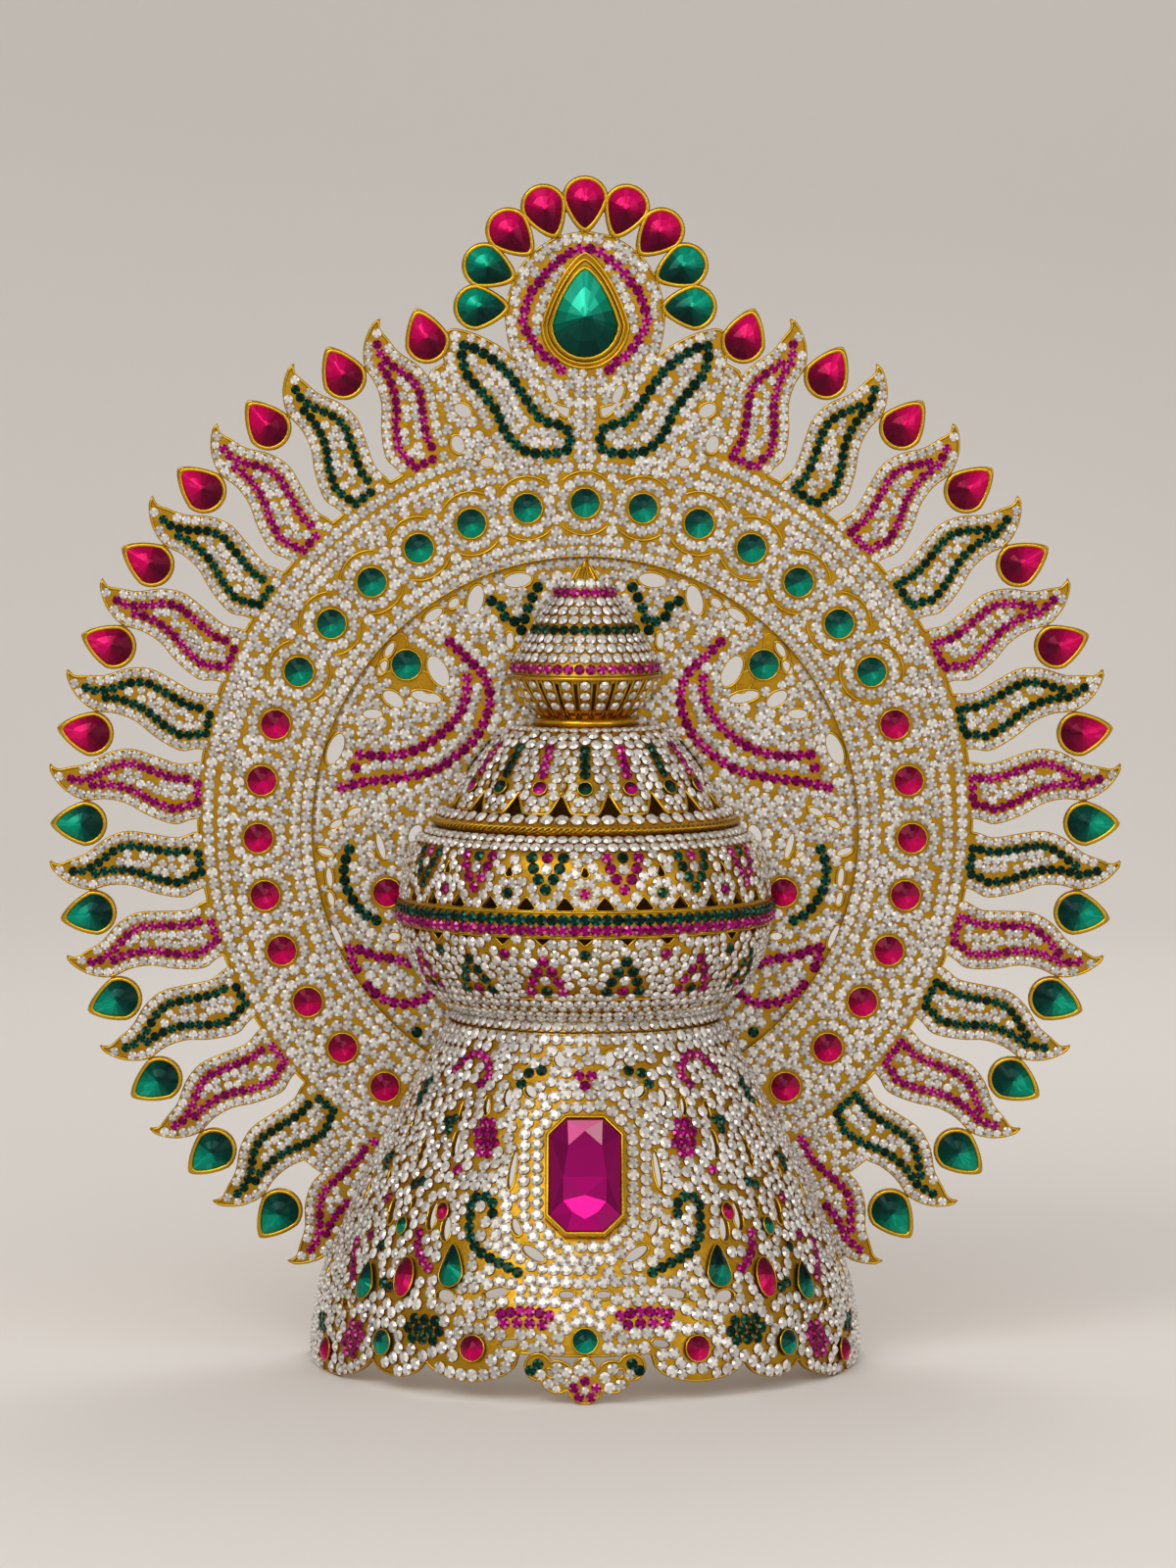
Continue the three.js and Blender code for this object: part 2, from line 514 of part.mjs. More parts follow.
/** The pierced bell: a half-round wall with straight sides behind and a scalloped hem. */
function makeSkirt() {
  const stations = [{ angle: -90, behind: 1 }, { angle: -90, behind: LIP_HEEL }];
  for (let column = 0; column <= SKIRT_COLUMNS; column += 1) {
    stations.push({ angle: -90 + (180 * column) / SKIRT_COLUMNS, behind: 0 });
  }
  stations.push({ angle: 90, behind: LIP_HEEL }, { angle: 90, behind: 1 });
  const place = (station, row, inset) => {
    const hem = station.behind > 0 ? 0 : hemAt(station.angle);
    const z = skirtRowAt(row, hem);
    const radius = radiusAt(SKIRT_PROFILE, z) - inset;
    const y = station.behind > 0 ? station.behind * lipAt(z) : -radius * Math.cos(station.angle * DEG);
    return [radius * Math.sin(station.angle * DEG), y, z];
  };
  const vertices = [0, WALL].flatMap((inset) => stations.flatMap((station) =>
    Array.from({ length: SKIRT_ROWS + 1 }, (_, row) => place(station, row, inset)).flat()));
  const tall = SKIRT_ROWS + 1;
  const layer = stations.length * tall;
  const index = [];
  const quad = (a, b, c, d) => index.push(a, b, c, a, c, d);
  for (let column = 0; column < stations.length - 1; column += 1) {
    for (let row = 0; row < SKIRT_ROWS; row += 1) {
      const low = column * tall + row;
      const next = low + tall;
      quad(low, next, next + 1, low + 1);
      quad(layer + low, layer + low + 1, layer + next + 1, layer + next);
    }
    const foot = column * tall;
    const top = foot + SKIRT_ROWS;
    quad(foot, layer + foot, layer + foot + tall, foot + tall);
    quad(top, top + tall, layer + top + tall, layer + top);
  }
  const end = (stations.length - 1) * tall;
  for (let row = 0; row < SKIRT_ROWS; row += 1) {
    quad(row, row + 1, layer + row + 1, layer + row);
    quad(end + row, layer + end + row, layer + end + row + 1, end + row + 1);
  }
  const shell = faceted(vertices, index);
  const tools = SKIRT_OPENINGS.flatMap((hole) => {
    const radius = radiusAt(SKIRT_PROFILE, hole.z);
    const outline = ellipse(0, hole.z, hole.long / 2, hole.wide / 2, hole.tilt, HOLE_CORNERS);
    return [
      radialTool(outline, hole.angle, radius, CUT),
      radialTool(mirrored(outline), -hole.angle, radius, CUT),
    ];
  });
  return cutBy(shell, tools);
}

/** The notches between the petals of the dome's lower edge. */
function petalNotches() {
  const edge = DOME_PROFILE[0];
  const tools = [];
  const { foot, tip, up, down } = PETAL_NOTCH;
  const notch = [
    { x: -foot, z: edge.z - down }, { x: foot, z: edge.z - down },
    { x: tip, z: edge.z + up }, { x: -tip, z: edge.z + up },
  ];
  for (let step = -PETAL_NOTCHES_A_SIDE; step < PETAL_NOTCHES_A_SIDE; step += 1) {
    const tool = radialTool(notch, (step + 0.5) * PETAL_STEP, edge.r, CUT);
    tools.push(tool.translate([0, BODY_AXIS_Y, 0]));
  }
  return tools;
}

/** Small arches pierced along a half of the pot, beside its band. */
function bowlOpenings({ z, rise }) {
  const arch = [{ x: -BOWL_OPENING_HALF, z }, { x: BOWL_OPENING_HALF, z }, { x: 0, z: z + rise }];
  const outline = rise > 0 ? arch : arch.reverse();
  const tools = [];
  for (let step = -BOWL_OPENINGS_A_SIDE; step < BOWL_OPENINGS_A_SIDE; step += 1) {
    const tool = radialTool(outline, (step + 0.5) * BOWL_OPENING_STEP, BOWL_OPENING_RADIUS, CUT);
    tools.push(tool.translate([0, BODY_AXIS_Y, 0]));
  }
  return tools;
}

// --------------------------------------------------------------- stones, trim
/** Lean of the skirt's wall at a height, in degrees from upright. */
function wallLean(z) {
  const change = radiusAt(SKIRT_PROFILE, z - LEAN_STEP) - radiusAt(SKIRT_PROFILE, z + LEAN_STEP);
  return Math.atan2(change, 2 * LEAN_STEP) / DEG;
}

const octagon = (width, length, corner) => [
  { x: width / 2, z: length / 2 - corner }, { x: width / 2 - corner, z: length / 2 },
  { x: corner - width / 2, z: length / 2 }, { x: -width / 2, z: length / 2 - corner },
  { x: -width / 2, z: corner - length / 2 }, { x: corner - width / 2, z: -length / 2 },
  { x: width / 2 - corner, z: -length / 2 }, { x: width / 2, z: corner - length / 2 },
];

/** Puts a flat piece of the front stone's setting onto the skirt. */
function onSkirtFront(solid, z, proud) {
  const lean = wallLean(z);
  return solid.rotate([-lean, 0, 0]).translate([0, -(radiusAt(SKIRT_PROFILE, z) + proud), z]);
}

function makeFrontGem() {
  const { width, length, corner, height, girdle, proud, z } = FRONT_GEM;
  const outline = octagon(width, length, corner);
  const table = octagon(
    width * FRONT_TABLE.width, length * FRONT_TABLE.length, corner * FRONT_TABLE.corner);
  const foot = sheet(outline, -girdle, 0);
  return onSkirtFront(foot.add(frustum(outline, table, -girdle, -height)), z, proud);
}

/** A solid between two outlines with the same number of corners. */
function frustum(outline, table, back, front) {
  const count = outline.length;
  const vertices = [
    ...outline.flatMap((point) => [point.x, back, point.z]),
    ...table.flatMap((point) => [point.x, front, point.z]),
    0, back, 0, 0, front, 0,
  ];
  const index = outline.flatMap((_, here) => {
    const next = (here + 1) % count;
    return [
      here, here + count, next, next, here + count, next + count,
      here, next, 2 * count, here + count, 2 * count + 1, next + count,
    ];
  });
  return faceted(vertices, index);
}

function makeGemFrame() {
  const { width, length, corner, proud, z } = FRONT_GEM;
  const { rim, back, front, outerCorner, innerCorner } = GEM_FRAME;
  const grow = 2 * (rim + GAP);
  const outer = octagon(width + grow, length + grow, corner + outerCorner);
  const inner = octagon(width + 2 * GAP, length + 2 * GAP, corner + innerCorner);
  const frame = sheet(outer, -back, front).subtract(sheet(inner, -CUT, CUT));
  return onSkirtFront(frame, z, proud);
}

/** The trefoil under the hem's middle: one casting, curved as the hem is and lapped over it. */
function makeHemPendant() {
  const profile = [{ z: PENDANT_LOW, r: PENDANT_RADIUS }, { z: PENDANT_HIGH, r: PENDANT_RADIUS }];
  const band = halfShell(profile, PENDANT_COLUMNS, PENDANT_SHEET).translate([0, -BODY_AXIS_Y, 0]);
  const lobes = PENDANT_LOBES.flatMap((lobe) => {
    const outline = ellipse(lobe.x, lobe.z, lobe.r, lobe.r, 0, LOBE_CORNERS);
    return lobe.x === 0 ? [outline] : [outline, mirrored(outline)];
  });
  const cut = joined(lobes.map((outline) => sheet(outline, -PENDANT_RADIUS - CUT, -PENDANT_RADIUS / 2)));
  return band.intersect(cut);
}

/** Round stones joined by the channel that carries them along the ring. */
function makeRingGems(from, to) {
  const base = -GAP;
  const pieces = [];
  const at = (index, radius) => {
    const angle = index * RING_GEM_STEP * DEG;
    return { x: radius * Math.sin(angle), z: RING_Z + radius * Math.cos(angle) };
  };
  const outer = [];
  const inner = [];
  for (let index = from; index <= to; index += 1) {
    const spot = at(index, RING_GEM_CIRCLE);
    const outline = ellipse(spot.x, spot.z, RING_GEM_RADIUS, RING_GEM_RADIUS, 0, ROUND_CORNERS);
    pieces.push(cutStone(outline, spot, base, GIRDLE, RING_GEM_HEIGHT));
    outer.push(at(index, RING_GEM_CIRCLE + RING_CHANNEL.half));
    inner.push(at(index, RING_GEM_CIRCLE - RING_CHANNEL.half));
  }
  pieces.push(sheet([...outer.reverse(), ...inner], base - RING_CHANNEL.depth, base));
  return joined(pieces);
}

/** Stones on the skirt joined by a thin wire; rows hold each stone's angle and height. */
function makeWallGems(rows) {
  const stones = rows.map((row) => {
    const flat = cutStone(row.shape(row), { x: 0, z: 0 }, 0, WALL_GIRDLE, row.height);
    const radius = radiusAt(SKIRT_PROFILE, row.z) + GAP + row.length * WALL_STONE_LIFT;
    return flat.rotate([-wallLean(row.z), 0, 0]).translate([0, -radius, row.z]).rotate([0, 0, row.angle]);
  });
  const wires = rows.slice(1).map((row, index) => wireBetween(rows[index], row));
  return joined([...stones, ...wires]);
}

/** A short chain of straight wires that follows the wall from one stone to the next. */
function wireBetween(start, finish) {
  const steps = Math.max(2, Math.ceil(Math.abs(finish.angle - start.angle) / WIRE.reach));
  const at = (part) => {
    const angle = THREE.MathUtils.lerp(start.angle, finish.angle, part) * DEG;
    const z = THREE.MathUtils.lerp(start.z, finish.z, part);
    const radius = radiusAt(SKIRT_PROFILE, z) + WIRE.lift;
    return new THREE.Vector3(radius * Math.sin(angle), -radius * Math.cos(angle), z);
  };
  const stops = Array.from({ length: steps + 1 }, (_, step) => at(step / steps));
  const curve = new THREE.CatmullRomCurve3(stops);
  const half = WIRE.half;
  const section = new THREE.Shape([
    new THREE.Vector2(-half, -half), new THREE.Vector2(half, -half),
    new THREE.Vector2(half, half), new THREE.Vector2(-half, half),
  ]);
  return solidOf(new THREE.ExtrudeGeometry(section, { steps, extrudePath: curve, bevelEnabled: false }));
}

const pearShape = (row) => pear(row.length, row.width, 0, STONE_CORNERS);
const roundShape = (row) => ellipse(0, 0, row.width / 2, row.width / 2, 0, ROUND_CORNERS);
const navetteShape = (row) => ellipse(0, 0, row.width / 2, row.length / 2, 0, STONE_CORNERS);

// ------------------------------------------------------------------ assembly
const crown = new THREE.Group();
crown.position.y = CENTRE_Y;

function addPiece(name, solid, material) {
  const mesh = new THREE.Mesh(geometryOf(solid), material);
  mesh.name = name;
  crown.add(mesh);
}

addPiece('halo_plate', makeHaloPlate(), GILT_SHEET);
addPiece('scroll_panel', makeScrollPanel(), GILT_SHEET);
addPiece('skirt', makeSkirt(), GILT_BODY);
addPiece('neck_collar', halfShell(NECK_PROFILE, NECK_COLUMNS, WALL), GILT_TRIM);
const lowerBowl = halfShell(BOWL_LOWER_PROFILE, BOWL_COLUMNS, WALL);
addPiece('bowl_lower', cutBy(lowerBowl, bowlOpenings(LOWER_OPENINGS)), GILT_BODY);
const upperBowl = halfShell(BOWL_UPPER_PROFILE, BOWL_COLUMNS, WALL);
addPiece('bowl_upper', cutBy(upperBowl, bowlOpenings(UPPER_OPENINGS)), GILT_BODY);
addPiece('brim_ring', halfShell(BRIM_PROFILE, BOWL_COLUMNS, WALL), GILT_TRIM);
addPiece('petal_dome', cutBy(halfShell(DOME_PROFILE, BOWL_COLUMNS, WALL), petalNotches()), GILT_BODY);
addPiece('bulb', halfShell(BULB_PROFILE, TOWER_COLUMNS, WALL), GILT_TRIM);
addPiece('tier_cone', halfShell(TIER_PROFILE, TOWER_COLUMNS, WALL), GILT_BODY);
addPiece('finial_tip', halfShell(TIP_PROFILE, TIP_COLUMNS, WALL), GILT_TRIM);
addPiece('gem_frame', makeGemFrame(), GILT_TRIM);
addPiece('hem_pendant', makeHemPendant(), GILT_TRIM);
addPiece('front_gem', makeFrontGem(), MAGENTA);
const crestOutline = placed(pear(CREST_GEM.length, CREST_GEM.width, 0, CREST_GEM_CORNERS), 0, 0, CREST_GEM.z);
addPiece('crest_gem', cutStone(
  crestOutline, { x: 0, z: CREST_GEM.z }, -GAP, CREST_GEM.base, CREST_GEM.height), EMERALD);

for (let index = 0; index < CREST_PEAR_COUNT; index += 1) {
  const angle = (index - (CREST_PEAR_COUNT - 1) / 2) * CREST_PEAR_STEP;
  const apex = {
    x: (CREST_PEAR_CIRCLE + 1) * Math.sin(angle * DEG),
    z: CREST_PEAR_Z + (CREST_PEAR_CIRCLE + 1) * Math.cos(angle * DEG),
  };
  const isRuby = index > 1 && index < CREST_PEAR_COUNT - 2;
  const solid = cutStone(crestPearOutline(index, 0, STONE_CORNERS), apex, -GAP, GIRDLE, PEAR_HEIGHT);
  addPiece(`crest_pear_${index + 1}`, solid, isRuby ? RUBY : EMERALD);
}

for (const side of ['right', 'left']) {
  const sign = side === 'left' ? -1 : 1;
  for (let index = 0; index < RAY_COUNT; index += 1) {
    const angle = pearAngle(index) * DEG;
    const outline = rimPearOutline(index, 0, STONE_CORNERS);
    const apex = {
      x: sign * (PEAR_CIRCLE - 1) * Math.sin(angle),
      z: RAY_Z + (PEAR_CIRCLE - 1) * Math.cos(angle),
    };
    const solid = cutStone(sign < 0 ? mirrored(outline) : outline, apex, -GAP, GIRDLE, PEAR_HEIGHT);
    addPiece(`rim_pear_${side}_${index + 1}`, solid, index < RUBY_PEARS ? RUBY : EMERALD);
  }
  const roundStone = ({ x, z, radius }) => {
    const outline = ellipse(sign * x, z, radius, radius, 0, ROUND_CORNERS);
    return cutStone(outline, { x: sign * x, z }, SHEET, GIRDLE, RING_GEM_HEIGHT);
  };
  addPiece(`panel_emerald_${side}`, roundStone(PANEL_EMERALD), EMERALD);
  addPiece(`panel_ruby_${side}`, roundStone(PANEL_RUBY), RUBY);
  addPiece(`drop_gems_${side}`, makeWallGems([
    { angle: sign * 30.8, z: 33.7, width: 7.4, length: 10.5, height: 2.8, shape: pearShape },
    { angle: sign * 43.5, z: 28.5, width: 6.0, length: 10.5, height: 2.6, shape: navetteShape },
    { angle: sign * 57.0, z: 26.0, width: 6.6, length: 10.0, height: 2.6, shape: pearShape },
  ]), EMERALD);
}

addPiece('ring_emeralds', makeRingGems(-RING_EMERALDS, RING_EMERALDS), EMERALD);
addPiece('ring_rubies_right', makeRingGems(RING_EMERALDS + 1, RING_LAST), RUBY);
addPiece('ring_rubies_left', makeRingGems(-RING_LAST, -RING_EMERALDS - 1), RUBY);
const hemStones = HEM_STONES.map((row) => ({ ...row, ...HEM_STONE, shape: roundShape }));
addPiece('hem_gems', makeWallGems(hemStones), RUBY);

export default crown;
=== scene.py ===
"""Deity crown: a gilt halo of flame rays and a half-round body, paved with foil-backed cut glass.

Shapes are worked out in millimetres in the crown's own frame (+Z up, the front faces -Y, the
crown stands on Z = 0) and are scaled to metres when the meshes are made.
"""
import logging
import math
from collections.abc import Callable, Iterable
from dataclasses import dataclass, field
from enum import Enum

import bpy
import numpy as np
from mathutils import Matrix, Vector
from mathutils.geometry import delaunay_2d_cdt
from mathutils.kdtree import KDTree


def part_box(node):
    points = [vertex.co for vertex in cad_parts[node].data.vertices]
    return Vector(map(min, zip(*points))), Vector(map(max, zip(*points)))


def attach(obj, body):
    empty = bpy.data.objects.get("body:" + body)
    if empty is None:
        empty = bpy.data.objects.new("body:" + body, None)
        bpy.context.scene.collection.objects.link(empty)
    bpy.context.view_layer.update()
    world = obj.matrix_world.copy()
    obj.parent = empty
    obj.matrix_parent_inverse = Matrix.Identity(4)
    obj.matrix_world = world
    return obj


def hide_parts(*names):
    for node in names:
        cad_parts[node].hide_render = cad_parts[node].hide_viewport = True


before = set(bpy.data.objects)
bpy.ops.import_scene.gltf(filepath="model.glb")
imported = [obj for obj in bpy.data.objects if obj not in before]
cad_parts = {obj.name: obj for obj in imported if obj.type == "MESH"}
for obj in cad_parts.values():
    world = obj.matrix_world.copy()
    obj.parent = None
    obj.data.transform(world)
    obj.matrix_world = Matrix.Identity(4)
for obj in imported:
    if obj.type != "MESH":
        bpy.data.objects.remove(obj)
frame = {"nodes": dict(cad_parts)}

log = logging.getLogger("crown")

MM = 0.001
DEG = math.pi / 180
NUDGE = 0.05  # a step along a surface that is short enough to tell its slope
SEED = 7
Row = tuple[float, ...]
Faces = list[list[int]]


# ---------------------------------------------------------------- places from the frame
def corner(node: str, high: bool, axis: int) -> float:
    """Returns one coordinate of a CAD node's box, in millimetres."""
    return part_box(node)[1 if high else 0][axis] / MM


@dataclass(frozen=True)
class Planes:
    """Depths along Y that the flat and the half-round pieces share.

    Attributes:
        plate: Front face of the halo plate, and axis of the skirt.
        plate_back: Back face of the halo plate.
        panel: Front face of the scroll panel.
        panel_back: Back face of the scroll panel.
        body: Axis of the pot and the tiers above it.
    """

    plate: float = corner("halo_plate", False, 1)
    plate_back: float = corner("halo_plate", True, 1)
    panel: float = corner("scroll_panel", False, 1)
    panel_back: float = corner("scroll_panel", True, 1)
    body: float = corner("bowl_lower", True, 1)


PLANES = Planes()


# ---------------------------------------------------------------- finishes
class Slot(Enum):
    """Material slots of the record that the visual pieces take their finish from."""

    PLATE = "gilt_plate"
    BODY = "gilt_body"
    TRIM = "gilt_trim"
    CLEAR = "clear_crystal"
    RUBY = "ruby_glass"
    EMERALD = "emerald_glass"
    MAGENTA = "magenta_glass"


class Tint(Enum):
    """Colours of the cut glass."""

    CLEAR = "clear"
    MAGENTA = "magenta"
    FOREST = "forest"
    RUBY = "ruby"
    EMERALD = "emerald"
    FUCHSIA = "fuchsia"

    @property
    def slot(self) -> Slot:
        """The record's slot for this colour."""
        slots = {Tint.CLEAR: Slot.CLEAR, Tint.MAGENTA: Slot.MAGENTA, Tint.RUBY: Slot.RUBY,
                 Tint.FUCHSIA: Slot.MAGENTA}
        return slots.get(self, Slot.EMERALD)


class NodeTree:
    """Nodes under construction."""

    def __init__(self, tree: bpy.types.NodeTree) -> None:
        """Takes up a tree."""
        self.tree = tree

    def fill(self, node: bpy.types.Node, inputs: dict[str, object]) -> None:
        """Fills a node's inputs.

        Args:
            node: The node.
            inputs: For each input by name, a socket to take or a value.
        """
        for name, value in inputs.items():
            socket = next(item for item in node.inputs if item.name == name and item.enabled)
            if isinstance(value, bpy.types.NodeSocket):
                self.tree.links.new(value, socket)
            else:
                socket.default_value = value

    def node(self, kind: str, inputs: dict[str, object], **settings: object) -> bpy.types.Node:
        """Adds a node.

        Args:
            kind: Type of the node.
            inputs: For each input by name, a socket to take or a value.
            settings: Properties of the node.

        Returns:
            The node.
        """
        node = self.tree.nodes.new(kind)
        for name, value in settings.items():
            setattr(node, name, value)
        self.fill(node, inputs)
        return node


class FinishTree(NodeTree):
    """The nodes of a material."""

    def __init__(self, name: str) -> None:
        """Starts a material with its shader.

        Args:
            name: Name of the material.
        """
        self.material = bpy.data.materials.new(name)
        self.material.use_nodes = True
        super().__init__(self.material.node_tree)
        self.shader = self.tree.nodes["Principled BSDF"]

    def noise(self, scale: float, detail: float = 2.0) -> bpy.types.NodeSocket:
        """Adds noise on object coordinates.

        Args:
            scale: Its scale.
            detail: How many finer layers it has.

        Returns:
            Its value, from 0 to 1.
        """
        place = self.node("ShaderNodeTexCoord", {}).outputs["Object"]
        return self.node("ShaderNodeTexNoise", {
            "Vector": place, "Scale": scale, "Detail": detail}).outputs["Fac"]

    def ramp(self, share: bpy.types.NodeSocket, stops: list[tuple[float, Row]]) -> bpy.types.NodeSocket:
        """Adds a colour ramp.

        Args:
            share: What picks the colour, from 0 to 1.
            stops: Positions with their linear colours.

        Returns:
            The colour.
        """
        node = self.node("ShaderNodeValToRGB", {"Fac": share})
        elements = node.color_ramp.elements
        while len(elements) < len(stops):
            elements.new(0.5)
        for element, (position, colour) in zip(elements, stops):
            element.position = position
            element.color = (*colour, 1.0)
        return node.outputs["Color"]


@dataclass(frozen=True)
class CastGold:
    """Gilding over cast or beaten sheet: bright, slightly grainy, browner in patches that follow noise.

    Attributes:
        name: Material name.
        bright: Linear colour of the fresh gilding.
        shade: Linear colour of the duller, browner patches.
        roughness: Least and most roughness.
        grain: Size of the casting's grain, in millimetres.
        bump: Depth of the grain, in millimetres.
    """

    PATCH = 0.2
    name: str
    # These defaults are the plate gilding's, darkened as painted shade between the stones on top of the
    # gilt's own tone.
    bright: Row = (0.45, 0.25, 0.015)
    shade: Row = (0.31, 0.15, 0.008)
    roughness: Row = (0.32, 0.50)
    grain: float = 0.9
    bump: float = 0.10

    def build(self) -> bpy.types.Material:
        """Makes the material, of noise on object coordinates.

        Returns:
            The material.
        """
        tree = FinishTree(self.name)
        patches = tree.noise(self.PATCH / (self.grain * MM), 5.0)
        grain = tree.noise(1.0 / (self.grain * MM), 3.0)
        rough = tree.node("ShaderNodeMapRange", {
            "Value": patches, "From Min": 0.3, "From Max": 0.7, "To Min": self.roughness[1],
            "To Max": self.roughness[0]})
        bump = tree.node("ShaderNodeBump", {"Distance": self.bump * MM, "Height": grain})
        tree.fill(tree.shader, {
            "Base Color": tree.ramp(patches, [(0.25, self.shade), (0.75, self.bright)]),
            "Roughness": rough.outputs["Result"], "Normal": bump.outputs["Normal"], "Metallic": 1.0})
        return tree.material


@dataclass(frozen=True)
class FoiledGlass:
    """Cut glass over foil: the light that the foil returns is painted into each facet's colour, as painted
    reflections and highlights.

    Attributes:
        name: Material name.
        dark: Linear colour of a facet painted as returning little light: painted shade.
        middle: Linear colour of an ordinary facet.
        light: Linear colour of a facet painted as returning much light: painted reflection.
        spark: Linear colour of the few facets painted with a flash: painted highlight.
        metallic: How much of the look is the foil's.
        roughness: Blur of the foil.
        coat: Strength of the polished surface's own shine.
        specular: Strength of the shine below it.
    """

    name: str
    dark: Row
    middle: Row
    light: Row
    spark: Row
    metallic: float = 0.4
    roughness: float = 0.25
    coat: float = 0.07
    specular: float = 0.08

    def build(self) -> bpy.types.Material:
        """Makes the material, which reads the stones' painted light and their random shade attributes.

        Returns:
            The material.
        """
        tree = FinishTree(self.name)
        both = tree.node("ShaderNodeMath", {}, operation="ADD", use_clamp=True)
        for socket, name in zip(both.inputs, ("glow", "shade")):
            share = tree.node("ShaderNodeAttribute", {}, attribute_name=name)
            tree.tree.links.new(share.outputs["Fac"], socket)
        colour = tree.ramp(both.outputs["Value"], [
            (0.0, self.dark), (0.5, self.middle), (0.86, self.light), (1.0, self.spark)])
        tree.fill(tree.shader, {
            "Base Color": colour, "Metallic": self.metallic, "Roughness": self.roughness,
            "Specular IOR Level": self.specular, "Coat Weight": self.coat, "Coat Roughness": 0.04})
        return tree.material


class Finishes:
    """Every material of the crown, made once."""

    def __init__(self) -> None:
        """Builds the three gildings and the six glass colours."""
        # Plate and body gildings are darker than the trim: partly the gilt's own tone, partly painted shade
        # for the crevices between the stones. The stones' cups take the plate gilding, so each stone also
        # gets a dark rim of painted shade.
        self.gold = {
            Slot.PLATE: CastGold("gilding_plate").build(),
            Slot.BODY: CastGold(
                "gilding_body", bright=(0.48, 0.27, 0.017), shade=(0.34, 0.17, 0.009)).build(),
            Slot.TRIM: CastGold(
                "gilding_trim", bright=(0.60, 0.36, 0.024), shade=(0.47, 0.26, 0.016),
                roughness=(0.16, 0.3), bump=0.06).build(),
        }
        # The four colours of each glass go from painted dark facets to painted highlights (spark), picked
        # by each facet's painted light.
        self.glass = {
            Tint.CLEAR: FoiledGlass(
                "glass_clear", (0.10, 0.08, 0.065), (0.45, 0.415, 0.37), (0.78, 0.755, 0.71),
                (1.0, 1.0, 1.0), coat=0.5, specular=0.35).build(),
            Tint.MAGENTA: FoiledGlass(
                "glass_magenta", (0.03, 0.0, 0.012), (0.125, 0.0, 0.047), (0.45, 0.0, 0.19),
                (0.66, 0.18, 0.36)).build(),
            Tint.FOREST: FoiledGlass(
                "glass_forest", (0.0, 0.002, 0.001), (0.0, 0.010, 0.006), (0.0, 0.045, 0.026),
                (0.03, 0.16, 0.11)).build(),
            Tint.RUBY: FoiledGlass(
                "glass_ruby", (0.03, 0.0, 0.008), (0.23, 0.0, 0.034), (0.62, 0.0, 0.098),
                (0.92, 0.03, 0.20)).build(),
            Tint.EMERALD: FoiledGlass(
                "glass_emerald", (0.0, 0.004, 0.005), (0.0, 0.066, 0.046), (0.0, 0.28, 0.17),
                (0.02, 0.52, 0.34)).build(),
            Tint.FUCHSIA: FoiledGlass(
                "glass_fuchsia", (0.045, 0.0, 0.012), (0.33, 0.0, 0.12), (0.80, 0.0, 0.28),
                (0.60, 0.26, 0.34), metallic=0.3, coat=0.08).build(),
        }


# ---------------------------------------------------------------- outlines
def smooth(points: Iterable[Row], closed: bool = False, steps: int = 8) -> np.ndarray:
    """Draws a smooth curve through a few points.

    Args:
        points: Points of any dimension.
        closed: Whether the curve comes back to its first point.
        steps: Points on each stretch.

    Returns:
        The curve's points, one row each.
    """
    knots = np.asarray(points, dtype=float)
    count = len(knots)
    if closed:
        ring = np.vstack([knots[-1], knots, knots[0], knots[1]])
    else:
        ring = np.vstack([2 * knots[0] - knots[1], knots, 2 * knots[-1] - knots[-2]])
    share = np.linspace(0, 1, steps, endpoint=False)[:, None]
    stretches = []
    for start in range(count if closed else count - 1):
        a, b, c, d = ring[start:start + 4]
        stretches.append(0.5 * (
            2 * b + (c - a) * share + (2 * a - 5 * b + 4 * c - d) * share**2
            + (3 * b - 3 * c + d - a) * share**3))
    if not closed:
        stretches.append(knots[-1][None, :])
    return np.vstack(stretches)


def on_circle(centre_z: float, radius: float, angle: float) -> tuple[float, float]:
    """Returns a place on a circle about the middle line, at an angle in degrees from its top."""
    return radius * math.sin(angle * DEG), centre_z + radius * math.cos(angle * DEG)


def arc(centre: Row, radius: float, start: float, finish: float, step: float = 2.0) -> np.ndarray:
    """Returns points on a circle between two angles, in degrees from +Z towards +X.

    Args:
        centre: Centre of the circle.
        radius: Its radius.
        start: First angle.
        finish: Last angle.
        step: Degrees between points.

    Returns:
        The points.
    """
    count = max(2, int(abs(finish - start) / step) + 1)
    angle = np.linspace(start, finish, count) * DEG
    return np.stack([centre[0] + radius * np.sin(angle), centre[1] + radius * np.cos(angle)], 1)


def oval(centre: Row, long: float, wide: float, tilt: float = 0.0, count: int = 24) -> np.ndarray:
    """Returns an ellipse of a length and a width, its long axis tilted from +X in degrees.

    Args:
        centre: Its centre.
        long: Its length.
        wide: Its width.
        tilt: How far its long axis is turned from +X.
        count: How many points it has.

    Returns:
        The points, anticlockwise.
    """
    turn = np.linspace(0, 2 * math.pi, count, endpoint=False)
    along, across = long / 2 * np.cos(turn), wide / 2 * np.sin(turn)
    cos, sin = math.cos(tilt * DEG), math.sin(tilt * DEG)
    return np.stack([centre[0] + along * cos - across * sin, centre[1] + along * sin + across * cos], 1)


